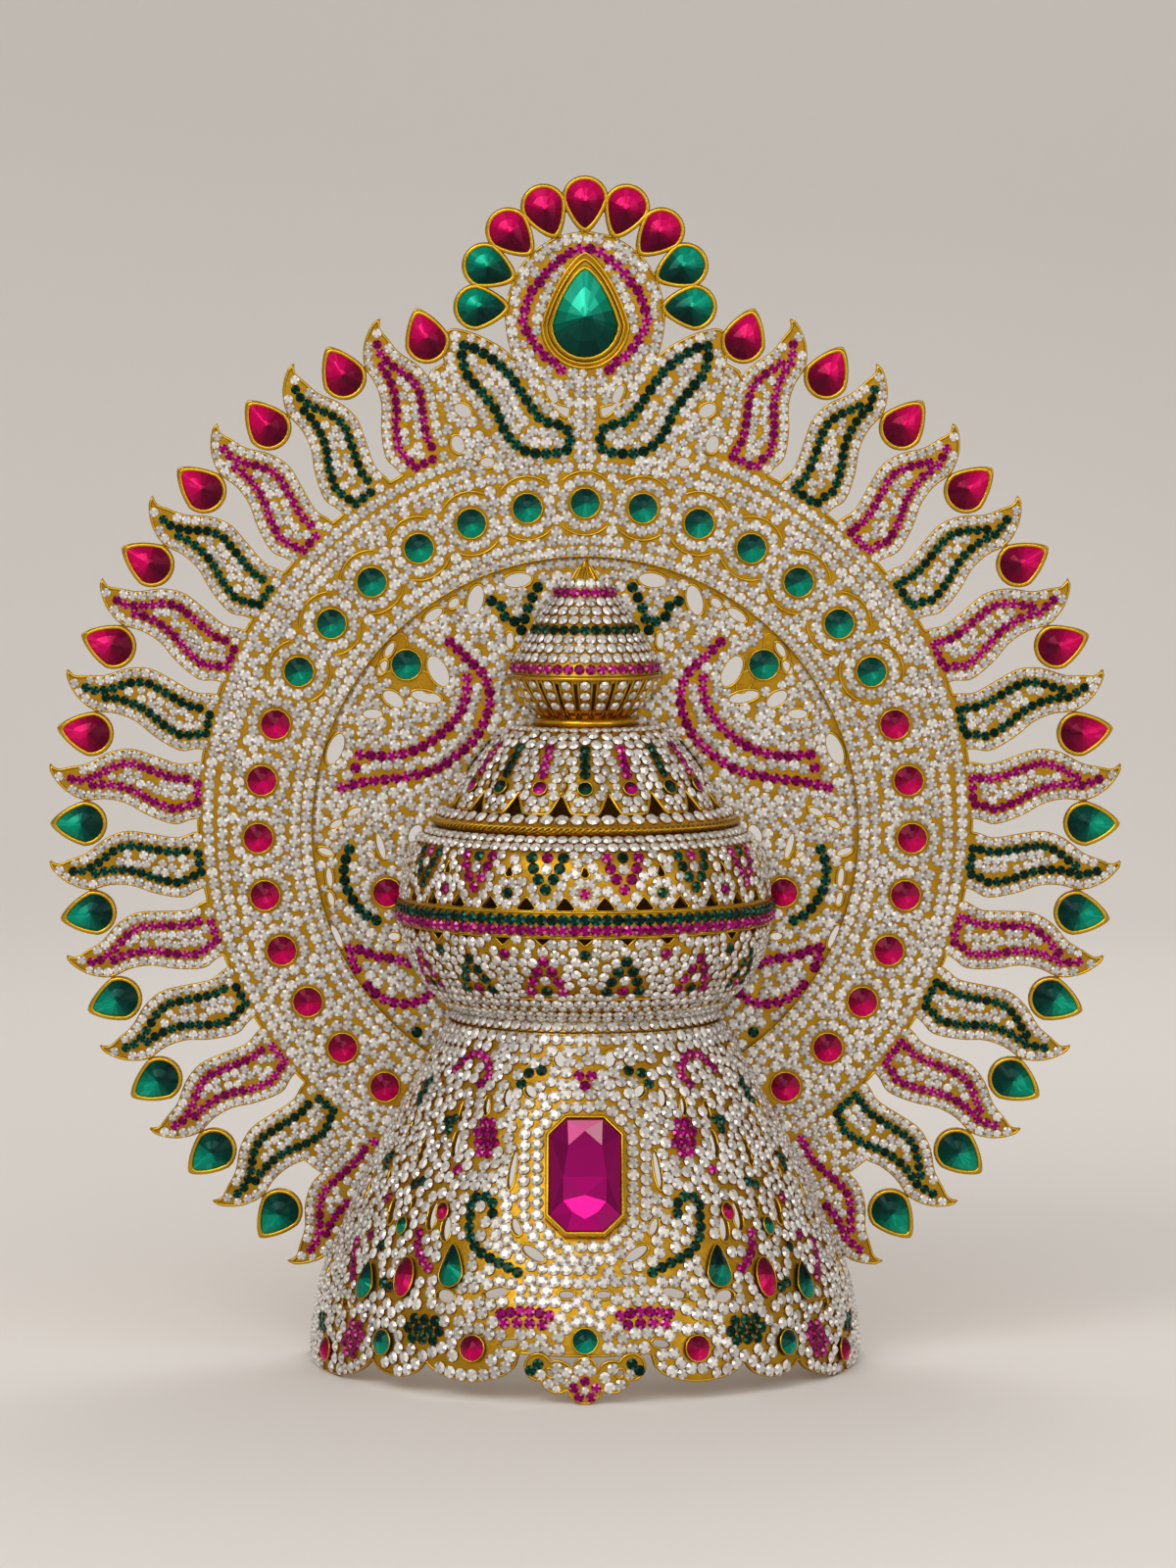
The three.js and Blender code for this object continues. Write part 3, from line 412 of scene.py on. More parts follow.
def pear(length: float, width: float, rim: float = 0.0, count: int = 28) -> np.ndarray:
    """Returns a pear about the origin with its point towards +Z, grown outwards by a rim.

    Args:
        length: Its length.
        width: Its width.
        rim: How far it is grown outwards.
        count: How many points it has.

    Returns:
        The points.
    """
    turn = np.linspace(0, -2 * math.pi, count, endpoint=False)
    lift, side = np.cos(turn), np.sin(turn)
    half_width = width / 2
    taper = np.clip(1 - lift, 0, 1) ** 0.45 / np.maximum(side**2, 1e-9) ** 0.225
    across = np.where(np.abs(side) < 1e-6, 0, side * np.where(lift > 0, taper, 1)) * (half_width + rim)
    reach = np.where(lift > 0, length - half_width + rim * 1.5, half_width + rim)
    return np.stack([across, lift * reach - (length - width) / 2], 1)


def turned(points: np.ndarray, angle: float, centre: Row = (0.0, 0.0)) -> np.ndarray:
    """Turns an outline clockwise from +Z, then moves it.

    Args:
        points: The outline about the origin.
        angle: Degrees.
        centre: Where it is moved to.

    Returns:
        The moved points.
    """
    cos, sin = math.cos(angle * DEG), math.sin(angle * DEG)
    x, z = points[:, 0], points[:, 1]
    return np.stack([centre[0] + x * cos + z * sin, centre[1] - x * sin + z * cos], 1)


def mirrored(points: np.ndarray) -> np.ndarray:
    """Returns the outline's twin on the other side, wound the same way round."""
    return (np.asarray(points) * (-1, 1))[::-1]


def both_sides(outlines: Iterable[np.ndarray]) -> list[np.ndarray]:
    """Returns each outline and its twin on the other side."""
    return [twin for outline in outlines for twin in (np.asarray(outline), mirrored(outline))]


def polygon_distance(places: np.ndarray, outline: np.ndarray) -> np.ndarray:
    """Measures signed distances to a closed outline.

    Args:
        places: Points, one row each.
        outline: Corners of the outline in order.

    Returns:
        Distances, negative inside.
    """
    nearest = np.full(len(places), np.inf)
    inside = np.zeros(len(places), dtype=bool)
    for start, finish in zip(outline, np.roll(outline, -1, 0)):
        edge = finish - start
        offset = places - start
        share = np.clip(offset @ edge / max(float(edge @ edge), 1e-12), 0, 1)
        gap = offset - share[:, None] * edge
        nearest = np.minimum(nearest, (gap**2).sum(1))
        crosses = (places[:, 1] >= start[1]) != (places[:, 1] >= finish[1])
        side = edge[0] * offset[:, 1] - edge[1] * offset[:, 0]
        inside ^= crosses & ((side > 0) == (edge[1] > 0))
    return np.where(inside, -1, 1) * np.sqrt(nearest)


class Field:
    """Signed distance to a pierced outline on an even grid; negative inside the metal."""

    MARGIN = 12.0

    def __init__(self, low: Row, high: Row, step: float) -> None:
        """Lays the grid.

        Args:
            low: Lowest of both coordinates.
            high: Highest of both coordinates.
            step: Spacing of the grid.
        """
        self.low = low
        self.step = step
        self.x = np.arange(low[0], high[0] + step, step)
        self.z = np.arange(low[1], high[1] + step, step)
        self.values = np.full((len(self.z), len(self.x)), self.MARGIN)

    def copy(self) -> "Field":
        """Returns a field that can be cut without changing this one.

        Returns:
            The new field.
        """
        twin = object.__new__(Field)
        twin.low, twin.step, twin.x, twin.z = self.low, self.step, self.x, self.z
        twin.values = self.values.copy()
        return twin

    def _combine(self, outline: np.ndarray, cut: bool) -> None:
        """Joins one outline to the metal or cuts it out.

        Args:
            outline: The outline.
            cut: Whether it is cut out.
        """
        low, high = outline.min(0) - self.MARGIN, outline.max(0) + self.MARGIN
        columns = slice(*np.searchsorted(self.x, (low[0], high[0])))
        rows = slice(*np.searchsorted(self.z, (low[1], high[1])))
        x, z = np.meshgrid(self.x[columns], self.z[rows])
        distance = polygon_distance(np.stack([x.ravel(), z.ravel()], 1), outline).reshape(x.shape)
        here = self.values[rows, columns]
        self.values[rows, columns] = np.maximum(here, -distance) if cut else np.minimum(here, distance)

    def add(self, outlines: Iterable[np.ndarray]) -> None:
        """Joins outlines to the metal."""
        for outline in outlines:
            self._combine(outline, False)

    def cut(self, outlines: Iterable[np.ndarray]) -> None:
        """Cuts outlines out of the metal."""
        for outline in outlines:
            self._combine(outline, True)

    def disc(self, centre: Row, radius: float, cut: bool = False) -> None:
        """Joins a disc to the metal, or cuts it out.

        Args:
            centre: Its centre.
            radius: Its radius.
            cut: Whether it is cut out.
        """
        x, z = np.meshgrid(self.x, self.z)
        distance = np.hypot(x - centre[0], z - centre[1]) - radius
        self.values = np.maximum(self.values, -distance) if cut else np.minimum(self.values, distance)

    def depth(self, places: np.ndarray) -> np.ndarray:
        """Returns how deep inside the metal each place lies, by interpolation.

        Args:
            places: Points, one row each.

        Returns:
            A depth for each, negative off the metal.
        """
        column = np.clip((places[:, 0] - self.low[0]) / self.step, 0, len(self.x) - 1.001)
        row = np.clip((places[:, 1] - self.low[1]) / self.step, 0, len(self.z) - 1.001)
        i, j = column.astype(int), row.astype(int)
        s, t = column - i, row - j
        v = self.values
        low = v[j, i] * (1 - s) + v[j, i + 1] * s
        high = v[j + 1, i] * (1 - s) + v[j + 1, i + 1] * s
        return -(low * (1 - t) + high * t)

    def loops(self, inset: float = 0.0, slack: float = 0.03) -> list[np.ndarray]:
        """Returns closed loops that run at an inset from the metal's edges.

        Args:
            inset: Distance inside the edge.
            slack: How far a dropped point may lie from the loop.

        Returns:
            Loops of points, the metal on their left.
        """
        places, _, rim = march(self.values + inset, self.x, self.z, False)
        following = dict(rim.tolist())
        found = []
        while following:
            start, here = following.popitem()
            ring = [start]
            while here != start:
                ring.append(here)
                here = following.pop(here)
            found.append(thinned(places[ring], slack))
        return [loop for loop in found if len(loop) > 2]


def march(values: np.ndarray, x: np.ndarray, z: np.ndarray,
          filled: bool) -> tuple[np.ndarray, Faces, np.ndarray]:
    """Cuts a grid along the zero line of a signed distance.

    Args:
        values: Distances, one row for each z, negative inside.
        x: Coordinate of each column.
        z: Coordinate of each row.
        filled: Whether the cells are wanted, and not the cut edge alone.

    Returns:
        Places of the vertices, the cells anticlockwise, and pairs of vertices along the cut edge.
    """
    rows, columns = values.shape
    count = rows * columns
    number = np.arange(count).reshape(rows, columns)
    corners = [number[:-1, :-1], number[:-1, 1:], number[1:, 1:], number[1:, :-1]]
    edges = [
        count + number[:-1, :-1], 2 * count + number[:-1, 1:],
        count + number[1:, :-1], 2 * count + number[:-1, :-1]]
    inside = values < 0
    states = [inside[:-1, :-1], inside[:-1, 1:], inside[1:, 1:], inside[1:, :-1]]
    code = sum(state.astype(int) << bit for bit, state in enumerate(states))
    cells, rim = [], [np.empty((0, 2), dtype=int)]
    for case in range(1, 16 if filled else 15):
        mask = code == case
        flags = [bool(case >> bit & 1) for bit in range(4)]
        walk, leaving = [], []
        for bit in range(4):
            if flags[bit]:
                walk.append(corners[bit][mask])
                leaving.append(False)
            if flags[bit] != flags[(bit + 1) % 4]:
                walk.append(edges[bit][mask])
                leaving.append(flags[bit])
        cells.append(np.stack(walk, 1))
        for here, leaves in enumerate(leaving):
            if leaves:
                rim.append(np.stack([walk[here], walk[(here + 1) % len(walk)]], 1))
    rim = np.vstack(rim)
    used = np.unique(np.concatenate([group.ravel() for group in cells] if filled else [rim.ravel()]))
    faces = [cell for group in cells for cell in np.searchsorted(used, group).tolist()] if filled else []
    flat = values.ravel()
    kind, base = used // count, used % count
    other = np.minimum(base + np.where(kind == 1, 1, np.where(kind == 2, columns, 0)), count - 1)
    gap = flat[base] - flat[other]
    share = np.where(kind > 0, flat[base] / np.where(gap == 0, 1, gap), 0)
    px = x[base % columns] + share * (x[other % columns] - x[base % columns])
    pz = z[base // columns] + share * (z[other // columns] - z[base // columns])
    return np.stack([px, pz], 1), faces, np.searchsorted(used, rim)


def thinned(loop: np.ndarray, slack: float, longest: float = 2.5) -> np.ndarray:
    """Drops the points of a loop that lie close to a straight line.

    Args:
        loop: The loop, closed by its own first point.
        slack: How far a dropped point may lie from the line.
        longest: Longest straight run that is left.

    Returns:
        The points that stay.
    """
    keep = np.zeros(len(loop), dtype=bool)
    far = int(np.argmax(((loop - loop[0]) ** 2).sum(1)))
    keep[[0, far]] = True
    stack = [(0, far), (far, len(loop))]
    ring = np.vstack([loop, loop[:1]])
    while stack:
        first, last = stack.pop()
        if last - first < 2:
            continue
        span = ring[last] - ring[first]
        offset = ring[first + 1:last] - ring[first]
        run = max(float(np.hypot(*span)), 1e-9)
        distance = np.abs(span[0] * offset[:, 1] - span[1] * offset[:, 0]) / run
        worst = int(np.argmax(distance))
        if distance[worst] > slack or run > longest:
            middle = first + 1 + worst if distance[worst] > slack else (first + last) // 2
            keep[middle] = True
            stack += [(first, middle), (middle, last)]
    return loop[keep]


# ---------------------------------------------------------------- surfaces
@dataclass(frozen=True)
class FlatSheet:
    """The front of a flat plate; its coordinates are x and z.

    Attributes:
        front: Y of the front.
    """

    front: float

    def place(self, uv: np.ndarray, inset: float = 0.0) -> np.ndarray:
        """Returns points in space, sunk behind the front by an inset."""
        return np.stack([uv[:, 0], np.full(len(uv), self.front + inset), uv[:, 1]], 1)


@dataclass(frozen=True)
class RoundWall:
    """A half-round wall; its coordinates are millimetres round it at its reach, and z.

    Attributes:
        profile: Rows of z and outside radius, from the bottom up.
        axis: Y of the wall's axis.
        reach: Radius at which the first coordinate is true to size.
        relief: Swelling of the wall, from angles in degrees and heights to millimetres.
    """

    profile: tuple[Row, ...]
    axis: float
    reach: float
    relief: Callable[[np.ndarray, np.ndarray], np.ndarray] | None = None

    def flat(self, points: Iterable[Row]) -> np.ndarray:
        """Returns the wall's coordinates of points given as angle in degrees and z."""
        return np.asarray(points, dtype=float) * (DEG * self.reach, 1)

    def radius(self, z: np.ndarray | float) -> np.ndarray | float:
        """Returns the outside radius at a height."""
        curve = smooth(self.profile)
        return np.interp(z, curve[:, 0], curve[:, 1])

    def place(self, uv: np.ndarray, inset: float = 0.0) -> np.ndarray:
        """Returns points in space; past 90 degrees the wall runs straight back.

        Args:
            uv: The wall's own coordinates, one row each.
            inset: How far inside the wall's face.

        Returns:
            The points.
        """
        angle, z = uv[:, 0] / (DEG * self.reach), uv[:, 1]
        radius = self.radius(z) - inset
        if self.relief:
            radius = radius + self.relief(angle, z)
        turn = np.clip(angle, -90, 90) * DEG
        behind = np.maximum(np.abs(angle) - 90, 0) * DEG * self.profile[0][1]
        return np.stack([radius * np.sin(turn), self.axis - radius * np.cos(turn) + behind, z], 1)


Surface = FlatSheet | RoundWall


def normals(surface: Surface, uv: np.ndarray) -> np.ndarray:
    """Returns the outward unit normals of a surface, by small steps along it.

    Args:
        surface: The surface.
        uv: Places on it.

    Returns:
        Unit vectors, one row each.
    """
    along = surface.place(uv + (NUDGE, 0)) - surface.place(uv - (NUDGE, 0))
    up = surface.place(uv + (0, NUDGE)) - surface.place(uv - (0, NUDGE))
    cross = np.cross(along, up)
    return cross / np.linalg.norm(cross, axis=1, keepdims=True)


def lifted(surface: Surface, uv: np.ndarray, lift: float) -> np.ndarray:
    """Returns points in space that stand off a surface by a lift."""
    return surface.place(uv) + lift * normals(surface, uv)


# ---------------------------------------------------------------- setting small stones
class Paver:
    """Sets small round stones on one surface and keeps them clear of each other.

    Attributes:
        stones: For each stone set, its two coordinates, its radius and its colour.
    """

    CLEAR_RADIUS = 1.6
    COLOUR_RADIUS = 1.56
    FILLERS = (1.72, 1.6, 1.45, 1.3, 1.12)
    PITCH = 1.94  # spacing of a plain row, in radii
    COLOUR_PITCH = 3.0
    TIGHT = 0.92  # share of the full clearance that clear stones keep
    FORCED = 0.76  # the same for coloured ones
    SNUG = 0.8  # the same for a stone set by itself
    OVERHUNG = 0.3  # share of the radius that lies on metal in a row along an edge
    PATCH_EDGE = 0.3
    EDGE = 0.10
    GRID = 0.35
    FAR = 9.0

    def __init__(self, surface: Surface, ground: Field, clear: float = CLEAR_RADIUS,
                 least: float = FILLERS[-1]) -> None:
        """Starts an empty setting.

        Args:
            surface: What the stones sit on.
            ground: Where on it stones may sit.
            clear: Radius of the ordinary clear stones.
            least: Radius of the smallest that fill gaps.
        """
        self.surface = surface
        self.ground = ground
        self.clear = clear
        self.least = least
        self.places = np.empty((0, 3))
        self.radii = np.empty(0)
        self.stones: list[tuple[float, float, float, Tint]] = []

    def reserve(self, path: np.ndarray, radius: float) -> None:
        """Keeps stones away from round places along a path."""
        self.places = np.vstack([self.places, self.surface.place(path)])
        self.radii = np.append(self.radii, np.full(len(path), radius))

    def _room(self, spot: np.ndarray, radius: float, share: float) -> bool:
        """Says whether a stone fits at a spot, allowing a share of the full clearance."""
        apart = np.linalg.norm(self.places - spot, axis=1)
        return bool((apart >= share * (self.radii + radius)).all())

    def put(self, uv: np.ndarray, tint: Tint, radius: float, share: float, inside: float = 0.75) -> None:
        """Sets one stone if there is room for it, and metal under a share of its radius.

        Args:
            uv: Place of the stone.
            tint: Its colour.
            radius: Its radius.
            share: Share of the full clearance that it needs.
            inside: Share of its radius that must lie on metal.
        """
        if self.ground.depth(uv[None])[0] < radius * inside:
            return
        if self._room(self.surface.place(uv[None])[0], radius, share):
            self.reserve(uv[None], radius)
            self.stones.append((float(uv[0]), float(uv[1]), radius, tint))

    def row(self, path: np.ndarray, tint: Tint = Tint.CLEAR, closed: bool = False,
            pitch: float = 0.0, radius: float = 0.0, inside: float = 0.75) -> None:
        """Sets a row of stones along a path.

        Args:
            path: The path, in the surface's coordinates.
            tint: Colour of the stones; coloured rows may crowd their neighbours a little.
            closed: Whether the path is a loop.
            pitch: Spacing that the row is close to; 0 takes the usual one.
            radius: Radius of the stones; 0 takes the usual one.
            inside: Share of a stone's radius that must lie on metal.
        """
        coloured = tint is not Tint.CLEAR
        radius = radius or (self.COLOUR_RADIUS if coloured else self.clear)
        line = np.vstack([path, path[:1]]) if closed else np.asarray(path, dtype=float)
        steps = np.linalg.norm(np.diff(self.surface.place(line), axis=0), axis=1)
        run = np.concatenate([[0], np.cumsum(steps)])
        count = max(1, round(run[-1] / (pitch or self.PITCH * radius)))
        at = np.linspace(0, run[-1], count + (not closed), endpoint=not closed)
        spots = np.stack([np.interp(at, run, line[:, axis]) for axis in (0, 1)], 1)
        for spot in spots:
            self.put(spot, tint, radius, self.FORCED if coloured else self.TIGHT, inside)

    def patch(self, outline: np.ndarray, tint: Tint, pitch: float = 2.95) -> None:
        """Fills an outline with coloured stones in staggered rows along its longest way.

        Args:
            outline: Edge of the patch.
            tint: Colour of its stones.
            pitch: Their spacing.
        """
        centre = outline.mean(0)
        turn = np.linalg.svd(outline - centre)[2]
        low, high = ((outline - centre) @ turn.T).min(0), ((outline - centre) @ turn.T).max(0)
        rise = pitch * math.sin(60 * DEG)
        rows = max(1, round((high[1] - low[1]) / rise))
        for index in range(rows):
            across = (index - (rows - 1) / 2) * rise
            shift = pitch / 2 * (index % 2)
            for along in np.arange(-math.ceil(high[0] / pitch) * pitch + shift, high[0] + pitch, pitch):
                spot = centre + np.array([along, across]) @ turn
                if polygon_distance(spot[None], outline)[0] < -self.PATCH_EDGE:
                    self.put(spot, tint, self.COLOUR_RADIUS, self.FORCED)

    def edge_row(self, inset: float = CLEAR_RADIUS) -> None:
        """Sets a clear row that follows every edge of the ground.

        Args:
            inset: How far inside the edge it runs.
        """
        for loop in sorted(self.ground.loops(inset), key=len, reverse=True):
            if np.linalg.norm(np.ptp(loop, axis=0)) > self.PITCH * self.clear:
                self.row(loop, closed=True)

    def fill(self) -> None:
        """Packs clear stones into what is left, the larger sizes first."""
        for radius in self.FILLERS:
            if self.least <= radius <= self.clear:
                self._pack(radius)

    def _pack(self, radius: float) -> None:
        """Packs clear stones of one size, each as close to its two nearest neighbours as it can be.

        Args:
            radius: Radius of the stones.
        """
        ground = self.ground
        x, z = np.meshgrid(np.arange(ground.x[0], ground.x[-1], self.GRID),
                           np.arange(ground.z[0], ground.z[-1], self.GRID))
        spots = np.stack([x.ravel(), z.ravel()], 1)
        room = ground.depth(spots) - self.EDGE
        spots, room = spots[room >= radius], room[room >= radius]
        points = self.surface.place(spots)
        tree = KDTree(len(self.places))
        for index, place in enumerate(self.places):
            tree.insert(place, index)
        tree.balance()
        widest = self.radii.max(initial=0.0)
        need = radius * (2 * self.TIGHT - 1)
        close = np.stack([room, np.full(len(room), self.FAR)])
        for index, point in enumerate(points):
            near = tree.find_range(point, widest + radius * 2)
            if near:
                gaps = [gap - self.radii[other] for _, other, gap in near]
                close[:, index] = sorted([room[index], self.FAR, *gaps])[:2]
        keep = close[0] >= need
        spots, points, close = spots[keep], points[keep], close[:, keep]
        found = []
        while len(spots):
            best = int(np.argmin(close.sum(0)))
            found.append(best_spot := spots[best])
            self.stones.append((float(best_spot[0]), float(best_spot[1]), radius, Tint.CLEAR))
            gap = np.linalg.norm(points - points[best], axis=1) - radius
            close = np.stack([np.minimum(close[0], gap), np.minimum(close[1], np.maximum(close[0], gap))])
            keep = close[0] >= need
            spots, points, close = spots[keep], points[keep], close[:, keep]
        if found:
            self.reserve(np.array(found), radius)


# ---------------------------------------------------------------- meshes
def placed(name: str, data: bpy.types.ID) -> bpy.types.Object:
    """Returns a new object in the scene.

    Args:
        name: Name of the object.
        data: Its mesh, light or camera.

    Returns:
        The object.
    """
    thing = bpy.data.objects.new(name, data)
    bpy.context.scene.collection.objects.link(thing)
    return thing


@dataclass
class Casting:
    """Faces gathered from one or more shapes, to become one piece.

    Attributes:
        vertices: Groups of points in millimetres.
        faces: Faces over all the points.
        glow: Painted brightness of each face, the light that its foil returns painted into its colour.
    """

    vertices: list[np.ndarray] = field(default_factory=list)
    faces: Faces = field(default_factory=list)
    glow: list[float] = field(default_factory=list)

    def add(self, points: np.ndarray, faces: Faces, glow: Iterable[float] | float = 0.5) -> None:
        """Adds one shape.

        Args:
            points: Its points.
            faces: Its faces, numbered from its own first point.
            glow: One painted brightness for all its faces, or one each.
        """
        start = sum(len(group) for group in self.vertices)
        self.vertices.append(points)
        self.faces += [[start + corner for corner in face] for face in faces]
        self.glow += [glow] * len(faces) if isinstance(glow, float) else list(glow)

    def build(self, name: str, material: bpy.types.Material, smooth_below: float = 0.0) -> bpy.types.Object:
        """Makes the piece.

        Args:
            name: Name of the piece.
            material: Its finish.
            smooth_below: Edges that bend less than this many degrees are shaded smooth.

        Returns:
            The piece, at the origin.
        """
        mesh = bpy.data.meshes.new(name)
        mesh.from_pydata((np.vstack(self.vertices) * MM).tolist(), [], self.faces)
        mesh.attributes.new("glow", "FLOAT", "FACE").data.foreach_set("value", self.glow)
        mesh.materials.append(material)
        if smooth_below:
            mesh.shade_smooth()
            mesh.set_sharp_from_angle(angle=smooth_below * DEG)
        return placed(name, mesh)


def walled(front: np.ndarray, back: np.ndarray, faces: Faces) -> tuple[np.ndarray, Faces]:
    """Gives a skin its thickness.

    Args:
        front: Points of the skin.
        back: The same points on the far side.
        faces: Faces of the front, anticlockwise.

    Returns:
        Points and faces of the closed wall.
    """
    count = len(front)
    edges = {(face[here - 1], face[here]) for face in faces for here in range(len(face))}
    sides = [[b, a, a + count, b + count] for a, b in sorted(edges) if (b, a) not in edges]
    behind = [[corner + count for corner in reversed(face)] for face in faces]
    return np.vstack([front, back]), faces + behind + sides


def belt(low: int, count: int) -> Faces:
    """Returns the four-sided faces between two rings of points.

    Args:
        low: Number of the lower ring.
        count: Points in a ring.

    Returns:
        The faces, anticlockwise from outside.
    """
    first = low * count
    after = [(here + 1) % count for here in range(count)]
    return [[first + here, first + after[here], first + count + after[here], first + count + here]
            for here in range(count)]


def plate(metal: Field, front: float, back: float) -> tuple[np.ndarray, Faces]:
    """Returns points and faces of a flat plate cut to a field's outline.

    Args:
        metal: Outline of the metal.
        front: Y of its front.
        back: Y of its back.

    Returns:
        Points and faces.
    """
    points, edges = [], []
    for loop in metal.loops():
        start = len(points)
        points += [Vector(place) for place in loop]
        edges += [(start + here, start + (here + 1) % len(loop)) for here in range(len(loop))]
    places, _, triangles, *_ = delaunay_2d_cdt(points, edges, [], 0, 1e-6)
    places = np.array([tuple(place) for place in places])
    corners = np.array(triangles)
    inside = metal.depth(places[corners].mean(1)) > 0
    faces = corners[inside].tolist()
    return walled(FlatSheet(front).place(places), FlatSheet(back).place(places), faces)


def shell(metal: Field, wall: RoundWall, thickness: float) -> tuple[np.ndarray, Faces]:
    """Returns points and faces of a half-round wall cut to a field's outline."""
    places, faces, _ = march(metal.values, metal.x, metal.z, True)
    return walled(wall.place(places), wall.place(places, thickness), faces)


def hand_over(piece: bpy.types.Object, slot: Slot, *nodes: str) -> None:
    """Fixes a finished piece to the crown, hides the CAD nodes that it stands for and logs its triangles.

    Args:
        piece: The piece.
        slot: Its slot in the record; not used.
        nodes: CAD nodes that it stands for.
    """
    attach(piece, "root")
    if nodes:
        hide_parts(*nodes)
    triangles = sum(len(face.vertices) - 2 for face in piece.data.polygons)
    log.info("%s: %d triangles", piece.name, triangles)


# ---------------------------------------------------------------- repeated things
class Recipe(NodeTree):
    """A Geometry Nodes tree that grows something on points or paths."""

    def __init__(self, name: str) -> None:
        """Starts a tree with a geometry input and output.

        Args:
            name: Name of the tree.
        """
        super().__init__(bpy.data.node_groups.new(name, "GeometryNodeTree"))
        self.tree.interface.new_socket("Geometry", in_out="OUTPUT", socket_type="NodeSocketGeometry")
        self.sockets: dict[str, str] = {}
        self.add_input("Geometry", "NodeSocketGeometry")
        self.enter = self.tree.nodes.new("NodeGroupInput")
        self.leave = self.tree.nodes.new("NodeGroupOutput")

    def add_input(self, name: str, kind: str) -> None:
        """Adds a named input to the tree."""
        item = self.tree.interface.new_socket(name, in_out="INPUT", socket_type=kind)
        self.sockets[name] = item.identifier

    def named(self, name: str, kind: str) -> bpy.types.NodeSocket:
        """Returns a socket that reads a named attribute."""
        node = self.node("GeometryNodeInputNamedAttribute", {"Name": name}, data_type=kind)
        return next(socket for socket in node.outputs if socket.enabled and socket.name == "Attribute")

    def random(self, low: float, high: float, seed: int) -> bpy.types.NodeSocket:
        """Returns a socket with one random number for each element."""
        node = self.node("FunctionNodeRandomValue", {"Min": low, "Max": high, "Seed": seed})
        return next(socket for socket in node.outputs if socket.enabled)

    def finish(self, last: bpy.types.NodeSocket) -> None:
        """Ends the tree by realizing its instances and setting their material.

        Args:
            last: Geometry of the instances.
        """
        solid = self.node("GeometryNodeRealizeInstances", {"Geometry": last})
        dressed = self.node("GeometryNodeSetMaterial", {
            "Geometry": solid.outputs[0], "Material": self.enter.outputs["Finish"]})
        self.tree.links.new(dressed.outputs[0], self.leave.inputs[0])

    def grow(self, source: bpy.types.Object, values: dict[str, object]) -> bpy.types.Object:
        """Runs the tree on an object and keeps the result as its plain mesh.

        Args:
            source: The object that carries the points or the paths.
            values: The tree's inputs by name.

        Returns:
            The same object, with its new mesh and no modifier.
        """
        modifier = source.modifiers.new("recipe", "NODES")
        modifier.node_group = self.tree
        for name, value in values.items():
            modifier[self.sockets[name]] = value
        graph = bpy.context.evaluated_depsgraph_get()
        mesh = bpy.data.meshes.new_from_object(source.evaluated_get(graph), depsgraph=graph)
        source.modifiers.remove(modifier)
        mesh.name = source.name
        source.data = mesh
        return source


def carrier(name: str, points: np.ndarray, edges: list[tuple[int, int]]) -> bpy.types.Object:
    """Makes an object of bare points and edges, in millimetres, for a recipe to grow on.

    Args:
        name: Name of the object.
        points: The points.
        edges: Pairs of joined points.

    Returns:
        The object.
    """
    mesh = bpy.data.meshes.new(name)
    mesh.from_pydata((points * MM).tolist(), edges, [])
    return placed(name, mesh)


@dataclass
class StoneCut:
    """The small round stone, of radius 1, seated in its gold cup.

    Attributes:
        sides: Facets round the stone.
        cup: Radius of the cup's foot.
        girdle: Radius and height of the cup's lip.
        table: Radius and height of the flat top.
        glow: Painted brightness of the facets in order: painted reflections and highlights.
        table_painted_light: Painted brightness of the flat top.
    """

    sides: int = 9
    cup: Row = (1.05, -0.12)
    girdle: Row = (0.99, 0.30)
    table: Row = (0.52, 0.62)
    # Painted light: each facet's brightness stands for the reflections and flashes of a real cut stone.
    glow: Row = (1.0, 0.62, 0.84, 0.40, 0.72, 0.93, 0.47, 0.80, 0.35)
    table_painted_light: float = 0.61

    def build(self) -> bpy.types.Object:
        """Makes the stone, hidden; its cup faces carry the attribute named cup.

        Returns:
            The stone.
        """
        turn = np.linspace(0, 2 * math.pi, self.sides, endpoint=False)
        ring = np.stack([np.cos(turn), np.sin(turn)], 1)
        points = np.vstack([
            np.column_stack([ring * radius, np.full(self.sides, height)])
            for radius, height in (self.cup, self.girdle, self.table)])
        count = self.sides
        top = [2 * count + here for here in range(count)]
        faces = [list(range(count))[::-1], *belt(0, count), *belt(1, count), top]
        mesh = bpy.data.meshes.new("stone_cut")
        mesh.from_pydata(points.tolist(), [], faces)
        glow = [0.0] * (count + 1) + list(self.glow) + [self.table_painted_light]
        mesh.attributes.new("glow", "FLOAT", "FACE").data.foreach_set("value", glow)
        cup = [1.0] * (count + 1) + [0.0] * (count + 1)
        mesh.attributes.new("cup", "FLOAT", "FACE").data.foreach_set("value", cup)
        return bpy.data.objects.new("stone_cut", mesh)


